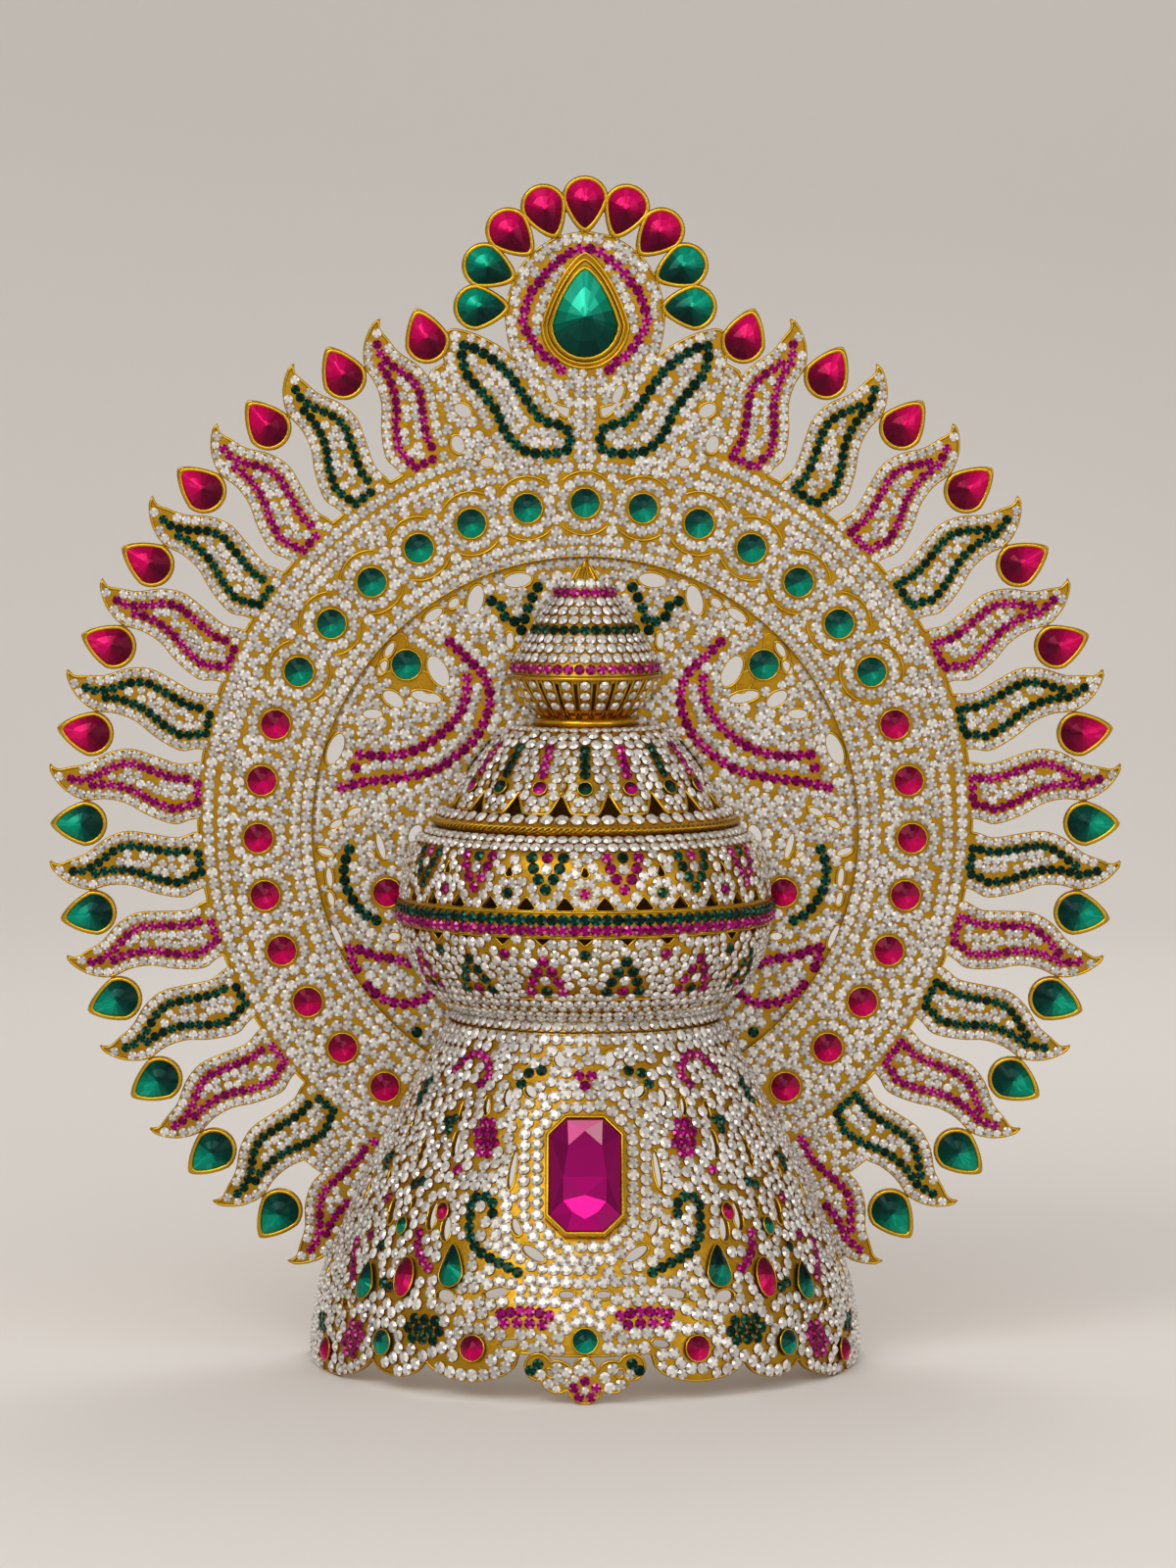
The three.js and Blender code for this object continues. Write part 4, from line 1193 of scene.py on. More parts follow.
class StoneSetter:
    """Grows small stones on points: each faces its own way and has its own spin and shade."""

    SHADE = 0.16

    def __init__(self, finishes: Finishes) -> None:
        """Builds the tree.

        Args:
            finishes: The crown's materials.
        """
        self.finishes = finishes
        self.stone = StoneCut().build()
        self.recipe = recipe = Recipe("set_stones")
        for name, kind in (("Stone", "NodeSocketObject"), ("Finish", "NodeSocketMaterial"),
                           ("Cup finish", "NodeSocketMaterial"), ("Seed", "NodeSocketInt")):
            recipe.add_input(name, kind)
        enter = recipe.enter
        stone = recipe.node("GeometryNodeObjectInfo", {"Object": enter.outputs["Stone"]})
        facing = recipe.node("FunctionNodeAlignRotationToVector", {
            "Vector": recipe.named("facing", "FLOAT_VECTOR")}, axis="Z")
        spin = recipe.node("FunctionNodeAxisAngleToRotation", {
            "Axis": (0, 0, 1), "Angle": recipe.random(0.0, 2 * math.pi, SEED)})
        rotation = recipe.node("FunctionNodeRotateRotation", {
            "Rotation": facing.outputs[0], "Rotate By": spin.outputs[0]}, rotation_space="LOCAL")
        grown = recipe.node("GeometryNodeInstanceOnPoints", {
            "Points": enter.outputs["Geometry"], "Instance": stone.outputs["Geometry"],
            "Rotation": rotation.outputs[0], "Scale": recipe.named("size", "FLOAT")})
        shade = recipe.node("FunctionNodeRandomValue", {
            "Min": -self.SHADE, "Max": self.SHADE, "Seed": enter.outputs["Seed"]})
        shaded = recipe.node("GeometryNodeStoreNamedAttribute", {
            "Geometry": grown.outputs[0], "Name": "shade",
            "Value": next(socket for socket in shade.outputs if socket.enabled)},
            data_type="FLOAT", domain="INSTANCE")
        solid = recipe.node("GeometryNodeRealizeInstances", {"Geometry": shaded.outputs[0]})
        glazed = recipe.node("GeometryNodeSetMaterial", {
            "Geometry": solid.outputs[0], "Material": enter.outputs["Finish"]})
        is_cup = recipe.node("FunctionNodeCompare", {
            "A": recipe.named("cup", "FLOAT"), "B": 0.5}, data_type="FLOAT", operation="GREATER_THAN")
        cupped = recipe.node("GeometryNodeSetMaterial", {
            "Geometry": glazed.outputs[0], "Selection": is_cup.outputs[0],
            "Material": enter.outputs["Cup finish"]})
        recipe.tree.links.new(cupped.outputs[0], recipe.leave.inputs[0])

    def set(self, name: str, pavers: Iterable[Paver]) -> None:
        """Grows the stones of some pavers, one piece for each colour.

        Args:
            name: What the pieces' names start with.
            pavers: Where the stones are.
        """
        for seed, tint in enumerate(Tint, SEED):
            spots, facing, sizes = [], [], []
            for paver in pavers:
                rows = [stone for stone in paver.stones if stone[3] is tint]
                if rows:
                    uv = np.array([row[:2] for row in rows])
                    spots.append(paver.surface.place(uv))
                    facing.append(normals(paver.surface, uv))
                    sizes.append(np.array([row[2] for row in rows]) * MM)
            if not spots:
                continue
            piece = carrier(f"{name}_{tint.value}", np.vstack(spots), [])
            piece.data.attributes.new("facing", "FLOAT_VECTOR", "POINT").data.foreach_set(
                "vector", np.vstack(facing).ravel())
            piece.data.attributes.new("size", "FLOAT", "POINT").data.foreach_set(
                "value", np.concatenate(sizes))
            self.recipe.grow(piece, {
                "Stone": self.stone, "Finish": self.finishes.glass[tint],
                "Cup finish": self.finishes.gold[Slot.PLATE], "Seed": seed})
            hand_over(piece, tint.slot)
            log.info("%s: %d stones", piece.name, sum(len(group) for group in spots))


class WireWorker:
    """Draws round gold wire along paths."""

    def __init__(self, finishes: Finishes) -> None:
        """Builds the tree.

        Args:
            finishes: The crown's materials.
        """
        self.finishes = finishes
        self.recipe = recipe = Recipe("draw_wire")
        for name, kind in (("Radius", "NodeSocketFloat"), ("Sides", "NodeSocketInt"),
                           ("Finish", "NodeSocketMaterial")):
            recipe.add_input(name, kind)
        enter = recipe.enter
        path = recipe.node("GeometryNodeMeshToCurve", {"Mesh": enter.outputs["Geometry"]})
        section = recipe.node("GeometryNodeCurvePrimitiveCircle", {
            "Resolution": enter.outputs["Sides"], "Radius": enter.outputs["Radius"]}, mode="RADIUS")
        wire = recipe.node("GeometryNodeCurveToMesh", {
            "Curve": path.outputs[0], "Profile Curve": section.outputs[0], "Fill Caps": True})
        soft = recipe.node("GeometryNodeSetShadeSmooth", {
            "Geometry": wire.outputs[0], "Shade Smooth": True})
        recipe.finish(soft.outputs[0])

    def draw(self, name: str, paths: Iterable[tuple[np.ndarray, bool]], radius: float,
             *nodes: str, sides: int = 6, slot: Slot = Slot.TRIM) -> None:
        """Draws wires as one piece.

        Args:
            name: Name of the piece.
            paths: Paths in space, each with whether it is a loop.
            radius: Radius of the wire.
            nodes: CAD nodes that the wires stand for.
            sides: Sides of the wire's section.
            slot: Which gilding it has.
        """
        points, edges = [], []
        for path, closed in paths:
            start = len(points)
            points += path.tolist()
            last = len(path) - (not closed)
            edges += [(start + here, start + (here + 1) % len(path)) for here in range(last)]
        piece = carrier(name, np.array(points), edges)
        self.recipe.grow(piece, {
            "Radius": radius * MM, "Sides": sides, "Finish": self.finishes.gold[slot]})
        hand_over(piece, slot, *nodes)


# ---------------------------------------------------------------- large stones
@dataclass(frozen=True)
class Seat:
    """Where a large stone sits: a point with its own right, up and outward directions.

    Attributes:
        point: The place itself.
        right: Unit vector to the stone's right.
        up: Unit vector to the stone's top.
        out: Unit vector away from the metal.
    """

    point: np.ndarray
    right: np.ndarray
    up: np.ndarray
    out: np.ndarray

    @classmethod
    def on(cls, surface: Surface, uv: Row, turn: float = 0.0, lift: float = 0.0) -> "Seat":
        """Finds the seat at a place on a surface.

        Args:
            surface: The surface.
            uv: The place.
            turn: Degrees clockwise from the surface's up to the stone's up.
            lift: How far off the surface the seat stands.

        Returns:
            The seat.
        """
        spot = np.array([uv], dtype=float)
        out = normals(surface, spot)[0]
        along = (surface.place(spot + (NUDGE, 0)) - surface.place(spot - (NUDGE, 0)))[0]
        along /= np.linalg.norm(along)
        rise = np.cross(out, along)
        cos, sin = math.cos(turn * DEG), math.sin(turn * DEG)
        point = surface.place(spot)[0] + lift * out
        return cls(point, along * cos - rise * sin, along * sin + rise * cos, out)

    def place(self, flat: np.ndarray, height: float | np.ndarray) -> np.ndarray:
        """Returns points in space of a flat outline at a height above the seat."""
        rise = np.broadcast_to(height, len(flat))[:, None]
        return self.point + flat[:, :1] * self.right + flat[:, 1:] * self.up + rise * self.out


@dataclass(frozen=True)
class BigCut:
    """A large faceted stone, its facets painted lighter towards one side and darker towards the other.

    Attributes:
        outline: Its girdle about its own centre, anticlockwise from the front.
        levels: From the foot up, each level's share of the outline and its height.
        apex: Where the facets meet; a table closes the top if the last share isn't 0.
        shine: Direction of the facets painted brightest, degrees clockwise from its up; the far side is
            painted darkest.
        contrast: How much brighter and darker the facets are painted than the middle.
        middle: Painted brightness of an ordinary facet.
    """

    # STEEP tones down the painted light of the lower faces; UNEVEN spreads each facet's painted brightness
    # at random.
    STEEP = 0.6
    UNEVEN = 0.07
    outline: np.ndarray
    levels: tuple[Row, ...]
    apex: Row = (0.0, 0.0)
    shine: float = 180.0
    contrast: float = 0.4
    middle: float = 0.45

    def cast(self, heap: Casting, seat: Seat, random: np.random.Generator) -> None:
        """Adds the stone to a casting.

        Args:
            heap: The casting.
            seat: Where it sits.
            random: Source of the facets' small differences.
        """
        count = len(self.outline)
        apex = np.array(self.apex)
        rings = [seat.place(apex + (self.outline - apex) * share, height)
                 for share, height in self.levels if share > 0]
        points = np.vstack(rings)
        faces, glow = [list(range(count))[::-1]], [0.1]
        middle = (self.outline + np.roll(self.outline, -1, 0)) / 2 - apex
        toward = np.arctan2(middle[:, 0], middle[:, 1])
        bright = np.cos(toward - self.shine * DEG)
        for low in range(len(rings) - 1):
            faces += belt(low, count)
            edge = self.contrast * bright * (1.0 if low else self.STEEP)
            glow += [self.middle + here + random.uniform(-self.UNEVEN, self.UNEVEN) for here in edge]
        top = (len(rings) - 1) * count
        if self.levels[-1][0] > 0:
            faces.append([top + here for here in range(count)])
            glow.append(self.middle + 0.1)
        else:
            points = np.vstack([points, seat.place(apex[None], self.levels[-1][1])])
            for here in range(count):
                faces.append([top + here, top + (here + 1) % count, len(points) - 1])
                uneven = random.uniform(-self.UNEVEN, self.UNEVEN)
                glow.append(self.middle + self.contrast * bright[here] + uneven)
        heap.add(points, faces, glow)

    def rim(self, seat: Seat, grow: float, height: float) -> tuple[np.ndarray, bool]:
        """Returns the loop of a bezel that stands a little outside the stone.

        Args:
            seat: The stone's seat.
            grow: How far outside the stone it stands.
            height: How high it stands.

        Returns:
            The loop's points, and that it is closed.
        """
        edge = np.roll(self.outline, -1, 0) - np.roll(self.outline, 1, 0)
        outward = np.stack([edge[:, 1], -edge[:, 0]], 1)
        outward /= np.linalg.norm(outward, axis=1, keepdims=True)
        return seat.place(self.outline + grow * outward, height), True


@dataclass(frozen=True)
class FrontCut(BigCut):
    """The eight-sided front stone, its table painted with a reflection: a dark middle, a flash below and a
    pale cross above.

    Attributes:
        height: Height of the table.
        marks: Corners on the stone's face: across and up as shares of its half sizes, and share of height.
        facets: Faces by corner, the outline's eight first and then the marks, with their painted
            brightness.
    """

    height: float = 4.8
    marks: tuple[Row, ...] = (
        (-0.50, 0.92, 0.84), (0.50, 0.92, 0.84), (0.0, 0.72, 1.0), (-0.47, 0.46, 0.98),
        (0.48, 0.46, 0.98), (-0.62, -0.10, 0.98), (0.62, -0.10, 0.98), (-0.62, -0.52, 0.94),
        (0.0, -0.43, 1.0), (0.60, -0.54, 0.94), (-0.36, -0.72, 0.88), (0.0, -0.84, 0.84),
        (0.36, -0.72, 0.88))
    facets: tuple[tuple[tuple[int, ...], float], ...] = (
        ((2, 3, 8, 9), 0.22), ((3, 4, 8), 0.34), ((1, 2, 9), 0.30), ((8, 4, 11), 0.26),
        ((11, 4, 13), 0.20), ((13, 4, 5), 0.30), ((13, 5, 15), 0.24), ((15, 5, 18), 0.50),
        ((18, 5, 6), 0.42), ((18, 6, 19), 0.56), ((19, 6, 7), 0.62), ((19, 7, 20), 0.54),
        ((9, 12, 1), 0.22), ((12, 14, 1), 0.28), ((14, 0, 1), 0.34), ((14, 17, 0), 0.20),
        ((17, 20, 0), 0.48), ((20, 7, 0), 0.40), ((8, 10, 9), 0.93), ((8, 11, 10), 0.90),
        ((9, 10, 12), 1.0), ((10, 11, 12), 0.36), ((11, 13, 14, 12), 0.40), ((13, 15, 16), 0.40),
        ((13, 16, 14), 0.55), ((14, 16, 17), 0.42), ((15, 18, 19, 16), 0.84), ((16, 19, 20, 17), 0.82))

    def cast(self, heap: Casting, seat: Seat, random: np.random.Generator) -> None:
        """Adds the stone to a casting.

        Args:
            heap: The casting.
            seat: Where it sits.
            random: Source of the facets' small differences.
        """
        half = np.abs(self.outline).max(0)
        marks = np.array(self.marks)
        girdle = self.levels[-1][1]
        points = np.vstack([
            seat.place(self.outline, girdle), seat.place(marks[:, :2] * half, marks[:, 2] * self.height),
            seat.place(self.outline, 0.0)])
        count, foot = len(self.outline), len(self.outline) + len(marks)
        faces = [list(corners) for corners, _ in self.facets]
        glow = [value + random.uniform(-0.02, 0.02) for _, value in self.facets]
        faces += [[foot + here, foot + (here + 1) % count, (here + 1) % count, here]
                  for here in range(count)]
        faces.append([foot + here for here in range(count)][::-1])
        heap.add(points, faces, glow + [0.2] * (count + 1))


def rivoli(radius: float, height: float = 2.4, sides: int = 14) -> BigCut:
    """Returns a round stone cut to a low cone, painted brightest towards its bottom.

    Args:
        radius: Its radius.
        height: Height of its point.
        sides: Facets round it.

    Returns:
        The stone.
    """
    return BigCut(
        oval((0.0, 0.0), 2 * radius, 2 * radius, 0.0, sides),
        ((1.0, 0.0), (1.0, 0.9), (0.55, height - 0.55), (0.0, height)), shine=165.0, contrast=0.34,
        middle=0.52)


def pear_cut(length: float, width: float, height: float, shine: float, middle: float = 0.50) -> BigCut:
    """Returns a pear-shaped stone, painted brightest towards one direction.

    Args:
        length: Its length.
        width: Its width.
        height: Its height.
        shine: Direction of its facets painted brightest.
        middle: Painted brightness of an ordinary facet.

    Returns:
        The stone.
    """
    return BigCut(
        pear(length, width, count=24),
        ((1.0, 0.0), (1.0, 1.0), (0.62, height * 0.72), (0.25, height * 0.94), (0.0, height)),
        apex=(0.0, -width * 0.06), shine=shine, contrast=0.36, middle=middle)


def oval_cut(length: float, width: float, height: float = 2.6) -> BigCut:
    """Returns an oval or navette stone, painted brightest towards its bottom.

    Args:
        length: Its length.
        width: Its width.
        height: Its height.

    Returns:
        The stone.
    """
    return BigCut(
        oval((0.0, 0.0), width, length, 0.0, 16),
        ((1.0, 0.0), (1.0, 0.8), (0.6, height * 0.8), (0.0, height)), shine=170.0, contrast=0.28,
        middle=0.44)


class Jeweller:
    """Gathers large stones by colour, and their bezels, and makes the pieces."""

    def __init__(self, name: str) -> None:
        """Starts with nothing set.

        Args:
            name: What the pieces' names start with.
        """
        self.name = name
        self.heaps: dict[Tint, Casting] = {}
        self.bezels: list[tuple[np.ndarray, bool]] = []
        self.random = np.random.default_rng(SEED)

    def set(self, cut: BigCut, seat: Seat, tint: Tint, grow: float = 0.5, height: float = 0.7) -> None:
        """Sets one stone and its bezel."""
        cut.cast(self.heaps.setdefault(tint, Casting()), seat, self.random)
        self.bezels.append(cut.rim(seat, grow, height))

    def make(self, shop: "Workshop", wire: float, nodes: dict[Tint, list[str]]) -> None:
        """Makes the pieces.

        Args:
            shop: The workshop.
            wire: Radius of a bezel.
            nodes: CAD nodes that the stones of each colour stand for.
        """
        for tint, heap in self.heaps.items():
            piece = heap.build(f"{self.name}_{tint.value}", shop.finishes.glass[tint])
            hand_over(piece, tint.slot, *nodes.get(tint, []))
        shop.wires.draw(f"{self.name}_bezels", self.bezels, wire)


# ---------------------------------------------------------------- the crown's parts
@dataclass
class Workshop:
    """What every part needs to be made: the finishes, and who sets stones and draws wire.

    Attributes:
        finishes: The crown's materials.
        setter: Who sets the small stones.
        wires: Who draws the wires.
    """

    SUNK = 0.7  # share of its radius that a wire lies inside the edge
    OPENING = 20.0  # what is wider is an outer edge
    finishes: Finishes
    setter: StoneSetter
    wires: WireWorker

    def cast(self, name: str, slot: Slot, shape: tuple[np.ndarray, Faces], *nodes: str,
             smooth_below: float = 0.0) -> None:
        """Makes one solid of metal.

        Args:
            name: Name of the piece.
            slot: Which gilding it has.
            shape: Its points and faces.
            nodes: CAD nodes that it stands for.
            smooth_below: Edges that bend less than this many degrees are shaded smooth.
        """
        heap = Casting()
        heap.add(*shape)
        hand_over(heap.build(name, self.finishes.gold[slot], smooth_below), slot, *nodes)

    def edge_wire(self, name: str, surface: Surface, metal: Field, radius: float, inset: float = 0.0,
                  widest: float = math.inf) -> None:
        """Draws a wire along the edges of a part's metal.

        Args:
            name: Name of the piece.
            surface: What the metal lies on.
            metal: Outline of the metal.
            radius: Radius of the wire.
            inset: How far inside the edge it runs; 0 takes the usual share of its radius.
            widest: Only openings narrower than this get a wire.
        """
        loops = [loop for loop in metal.loops(inset or radius * self.SUNK) if np.ptp(loop[:, 0]) < widest]
        self.wires.draw(name, [(surface.place(loop), True) for loop in loops], radius)

    def set_stones(self, name: str, paver: Paver, edged: bool = True) -> None:
        """Fills a setting up and makes its stones.

        Args:
            name: What the pieces' names start with.
            paver: The setting, with its coloured rows.
            edged: Whether a clear row follows every edge first.
        """
        if edged:
            paver.edge_row()
        paver.fill()
        self.setter.set(name, [paver])


@dataclass
class Halo:
    """The flat plate of flames, ring band and crest, and everything set on it.

    Attributes:
        ray_z: Centre of the rays.
        root: Radius of the disc that the flames rise from.
        first: Degrees from the top to the first pear stone.
        step: Degrees between pears, and between flames.
        count: Flames, and pears, on each side.
        upper: Edge of a flame nearer the crown's top: distance from the centre, and how far up.
        lower: The other edge.
        loop_inset: How far inside a flame's edge its coloured row runs.
        loop_root: Distance from the rays' centre where a coloured row turns back.
        loop_tip: Across and up a flame, the place of its last coloured stone.
        loop_pitch: Spacing of the coloured stones on a flame.
        ray_stones: Largest and smallest radius of a flame's stones.
        ray_start: Distance from the rays' centre where the flames' stones begin.
        crest_edge: Heights, and how far the crest reaches sideways there before the flames begin.
        pear_circle: Circle of the rim's pears.
        pear_size: Length and width of a pear.
        pear_height: Height of every small pear's cut.
        ruby_pears: How many pears on each side, from the top, are ruby.
        ring_z: Centre of the ring band.
        ring_inner: Radius of its opening.
        gem_circle: Circle of its round stones.
        gem_step: Degrees between them.
        gem_reach: They run this many degrees to each side of the top.
        green_reach: Up to this many degrees they are green.
        gem_radius: Their radius.
        gem_rim: How far round them the metal stays free of small stones.
        gem_collar: How far outside them their rows of small stones run.
        ring_rows: Circles of the plain rows that edge the ring.
        crest_pear_z: Centre of the crest's fan of pears.
        crest_pear_circle: Circle of the fan.
        crest_pear_step: Degrees between its pears.
        crest_pear_count: How many pears it has.
        crest_pear_size: Length and width of one.
        crest_gem_z: Height of the large pear in the crest.
        crest_gem_size: Its length and width.
        crest_bed: How far outside it the two wires of its bed run.
        crest_eye: Right half of the crest's round head, from its top down.
        crest_arch: Right half of the magenta row round the large pear.
        crest_leaf: Outline of the right leaf below the head.
        leaf_loop: The green row inside that leaf.
        crest_stem: The clear row that rises from the ring to the head.
        crest_shoulder: Outline of the metal between the leaf and the first flame.
        web_radii: Inner and outer radius of the web between the last flames and the skirt.
        web_angles: From and to angle of that web.
        ridged: Stones of the ring up to this angle have ridges beside them.
        ridge: Radius of a ridge round them, and its degrees to each side.
        seat_rims: Rim of the pears' seats, and what stays clear round them and the large pear.
        openings: Place, length, width and tilt of the crest's openings on the right.
    """

    ray_z: float = 151.4
    root: float = 108.4
    first: float = 18.3
    step: float = 10.33
    count: int = 13
    upper: tuple[Row, ...] = (
        (102.0, 7.6), (109.5, 6.9), (114.2, 6.0), (121.8, 7.9), (128.0, 9.2), (134.0, 7.7),
        (139.6, 4.2), (144.3, 2.9), (147.4, 2.0), (149.0, 2.4), (150.3, 3.4))
    lower: tuple[Row, ...] = (
        (102.0, -8.0), (109.5, -9.1), (114.2, -10.8), (121.8, -8.9), (128.0, -6.1), (134.0, -5.3),
        (139.6, -6.1), (144.3, -4.5), (147.5, -2.1), (149.8, 0.8), (150.4, 2.8))
    loop_inset: float = 4.1
    loop_root: float = 108.3
    loop_tip: Row = (0.5, 144.0)
    loop_pitch: float = 2.6
    ray_stones: Row = (1.34, 1.12)
    ray_start: float = 107.0
    crest_edge: tuple[Row, ...] = (
        (0.0, 0.0), (200.0, 0.0), (240.0, 33.0), (254.6, 37.0), (258.5, 39.7), (266.2, 41.0),
        (272.5, 42.3), (277.4, 46.1), (300.0, 66.0))
    pear_circle: float = 141.3
    pear_size: Row = (13.0, 10.3)
    pear_height: float = 3.4
    ruby_pears: int = 7
    ring_z: float = 147.9
    ring_inner: float = 76.4
    gem_circle: float = 91.4
    gem_step: float = 10.15
    gem_reach: float = 145.0
    green_reach: float = 66.0
    gem_radius: float = 3.9
    gem_rim: float = 0.95
    gem_collar: float = 2.5
    ring_rows: Row = (104.6, 101.4, 78.1, 81.2)
    crest_pear_z: float = 293.4
    crest_pear_circle: float = 28.8
    crest_pear_step: float = 22.4
    crest_pear_count: int = 9
    crest_pear_size: Row = (13.3, 10.6)
    crest_gem_z: float = 292.0
    crest_gem_size: Row = (24.3, 17.9)
    crest_bed: Row = (1.8, 3.0)
    crest_eye: tuple[Row, ...] = (
        (0.0, 314.8), (9.0, 312.6), (17.0, 306.2), (21.4, 297.0), (22.0, 288.0), (19.0, 277.0),
        (12.0, 268.4), (0.0, 264.5))
    crest_arch: tuple[Row, ...] = (
        (6.7, 276.3), (9.1, 279.0), (11.5, 280.3), (13.7, 283.0), (15.3, 285.5), (17.0, 288.4),
        (17.1, 291.4), (16.1, 294.4), (15.3, 297.5), (13.3, 299.7), (10.7, 303.3), (7.3, 306.3),
        (3.7, 309.0), (0.0, 310.0))
    crest_leaf: tuple[Row, ...] = (
        (1.0, 252.0), (13.0, 249.0), (23.5, 252.6), (28.2, 260.4), (31.6, 266.6), (37.0, 272.4),
        (39.4, 279.4), (38.4, 287.0), (33.4, 287.2), (26.4, 284.4), (20.4, 280.2), (15.0, 273.0),
        (9.6, 266.8), (4.6, 263.4), (4.4, 274.0), (0.0, 276.0))
    leaf_loop: tuple[Row, ...] = (
        (34.0, 282.8), (33.2, 275.8), (29.0, 270.4), (24.8, 265.0), (21.5, 258.0), (15.5, 253.4),
        (5.2, 254.0), (5.2, 260.0), (12.0, 262.4), (16.5, 268.2), (21.5, 275.4), (28.5, 281.0))
    crest_stem: tuple[Row, ...] = ((1.6, 252.0), (1.6, 279.0))
    crest_shoulder: tuple[Row, ...] = (
        (18.0, 256.0), (29.0, 264.6), (36.0, 273.0), (39.5, 278.0), (43.0, 276.0), (47.0, 264.0),
        (50.0, 248.0), (30.0, 246.0))
    web_radii: Row = (100.0, 124.5)
    web_angles: Row = (136.5, 147.5)
    ridged: float = 62.0
    ridge: Row = (8.9, 44.0)
    seat_rims: Row = (1.15, 1.2, 3.2)
    openings: tuple[Row, ...] = (
        (9.2, 269.6, 5.4, 2.6, 62.0), (34.0, 265.0, 5.2, 3.6, 30.0), (35.4, 255.6, 5.0, 3.6, 70.0),
        (27.2, 250.6, 4.0, 2.8, 0.0))

    def angles(self, half: float = 0.0) -> list[float]:
        """Returns the rays' angles on the right-hand side, shifted by a share of a step."""
        return [self.first + self.step * (index + half) for index in range(self.count)]

    def flame(self) -> np.ndarray:
        """Returns the outline of a flame that points straight up from the rays' centre."""
        edge = np.vstack([smooth(self.upper, steps=4), smooth(self.lower, steps=4)[::-1]])
        return np.stack([-edge[:, 1], edge[:, 0]], 1)[::-1]

    def flame_rows(self, inset: float) -> list[np.ndarray]:
        """Returns a loop inside the edge of every flame, from the top down, right and left.

        Args:
            inset: How far inside the edge.

        Returns:
            The loops.
        """
        alone = Field((-14.0, 98.0), (14.0, 154.0), 0.4)
        alone.add([self.flame()])
        loop = max(alone.loops(inset), key=len)
        loop = loop[loop[:, 1] > self.loop_root]
        return both_sides(turned(loop, angle, (0.0, self.ray_z)) for angle in self.angles(0.5))

    def ring_gems(self) -> list[tuple[float, float, float]]:
        """Returns the angle and place of each round stone of the ring, from the top both ways."""
        reach = int(self.gem_reach / self.gem_step)
        return [(index * self.gem_step, *on_circle(self.ring_z, self.gem_circle, index * self.gem_step))
                for index in range(-reach, reach + 1)]

    def crest_pears(self) -> list[tuple[float, float, float]]:
        """Returns the pears of the crest's fan, from left to right.

        Returns:
            Angle and place of each.
        """
        middle = (self.crest_pear_count - 1) / 2
        turns = [(index - middle) * self.crest_pear_step for index in range(self.crest_pear_count)]
        return [(turn, *on_circle(self.crest_pear_z, self.crest_pear_circle, turn)) for turn in turns]

    def seats(self, rim: float) -> list[np.ndarray]:
        """Returns the outlines of all pears, grown by a rim.

        Args:
            rim: How far the outlines are grown.

        Returns:
            The outlines.
        """
        outlines = both_sides(
            turned(pear(*self.pear_size, rim), angle, on_circle(self.ray_z, self.pear_circle, angle))
            for angle in self.angles())
        outlines += [turned(pear(*self.crest_pear_size, rim), turn + 180, (x, z))
                     for turn, x, z in self.crest_pears()]
        return outlines

    def metal(self, arch: np.ndarray) -> Field:
        """Returns the plate's outline.

        Args:
            arch: Outline of the opening that the skirt passes through.

        Returns:
            The field.
        """
        metal = Field((-156.0, 16.0), (156.0, 336.0), 0.5)
        metal.disc((0.0, self.ray_z), self.root)
        metal.add(both_sides(
            turned(self.flame(), angle, (0.0, self.ray_z)) for angle in self.angles(0.5)))
        metal.add(self.seats(self.seat_rims[0]))
        eye = smooth(self.crest_eye, steps=5)
        metal.add([np.vstack([eye, mirrored(eye)[1:-1]])])
        metal.add(both_sides([smooth(self.crest_leaf, True, 4), np.array(self.crest_shoulder)]))
        web = [arc((0.0, self.ray_z), radius, *self.web_angles) for radius in self.web_radii]
        metal.add(both_sides([np.vstack([web[0], web[1][::-1]])]))
        metal.disc((0.0, self.ring_z), self.ring_inner, cut=True)
        metal.cut([arch])
        metal.cut(both_sides(oval(row[:2], *row[2:]) for row in self.openings))
        return metal

    def build(self, shop: Workshop, arch: np.ndarray) -> None:
        """Makes the plate, its wires and its stones.

        Args:
            shop: The workshop.
            arch: Outline of the opening that the skirt passes through.
        """
        surface = FlatSheet(PLANES.plate)
        metal = self.metal(arch)
        shop.cast("halo_sheet", Slot.PLATE, plate(metal, PLANES.plate, PLANES.plate_back), "halo_plate")
        shop.edge_wire("halo_edge_wire", surface, metal, 0.45)
        ground = metal.copy()
        ground.cut(self.seats(self.seat_rims[1]))
        ground.cut([turned(pear(*self.crest_gem_size, self.seat_rims[2]), 0.0, (0.0, self.crest_gem_z))])
        ridges = []
        for angle, x, z in self.ring_gems():
            ground.disc((x, z), self.gem_radius + self.gem_rim, cut=True)
            if abs(angle) < self.ridged:
                radius, half = self.ridge
                ridges += [arc((x, z), radius, angle + side - half, angle + side + half, 6.0)
                           for side in (0.0, 180.0)]
        x, z = np.meshgrid(ground.x, ground.z)
        beyond = np.minimum(np.hypot(x, z - self.ray_z) - self.ray_start,
                            np.abs(x) - np.interp(z, *zip(*self.crest_edge)))
        rays, band = ground.copy(), ground
        rays.values = np.maximum(ground.values, -beyond)
        band.values = np.maximum(ground.values, beyond)
        pavers = [Paver(surface, band), Paver(surface, rays, *self.ray_stones)]
        for ridge in ridges:
            pavers[0].reserve(ridge, 0.3)
        self._set_band(pavers[0])
        self._set_rays(pavers[1])
        shop.setter.set("halo_stones", pavers)
        ridge_paths = [(lifted(surface, ridge, 0.1), False) for ridge in ridges]
        shop.wires.draw("ring_ridges", ridge_paths, 0.42)
        self._set_large(shop, surface)

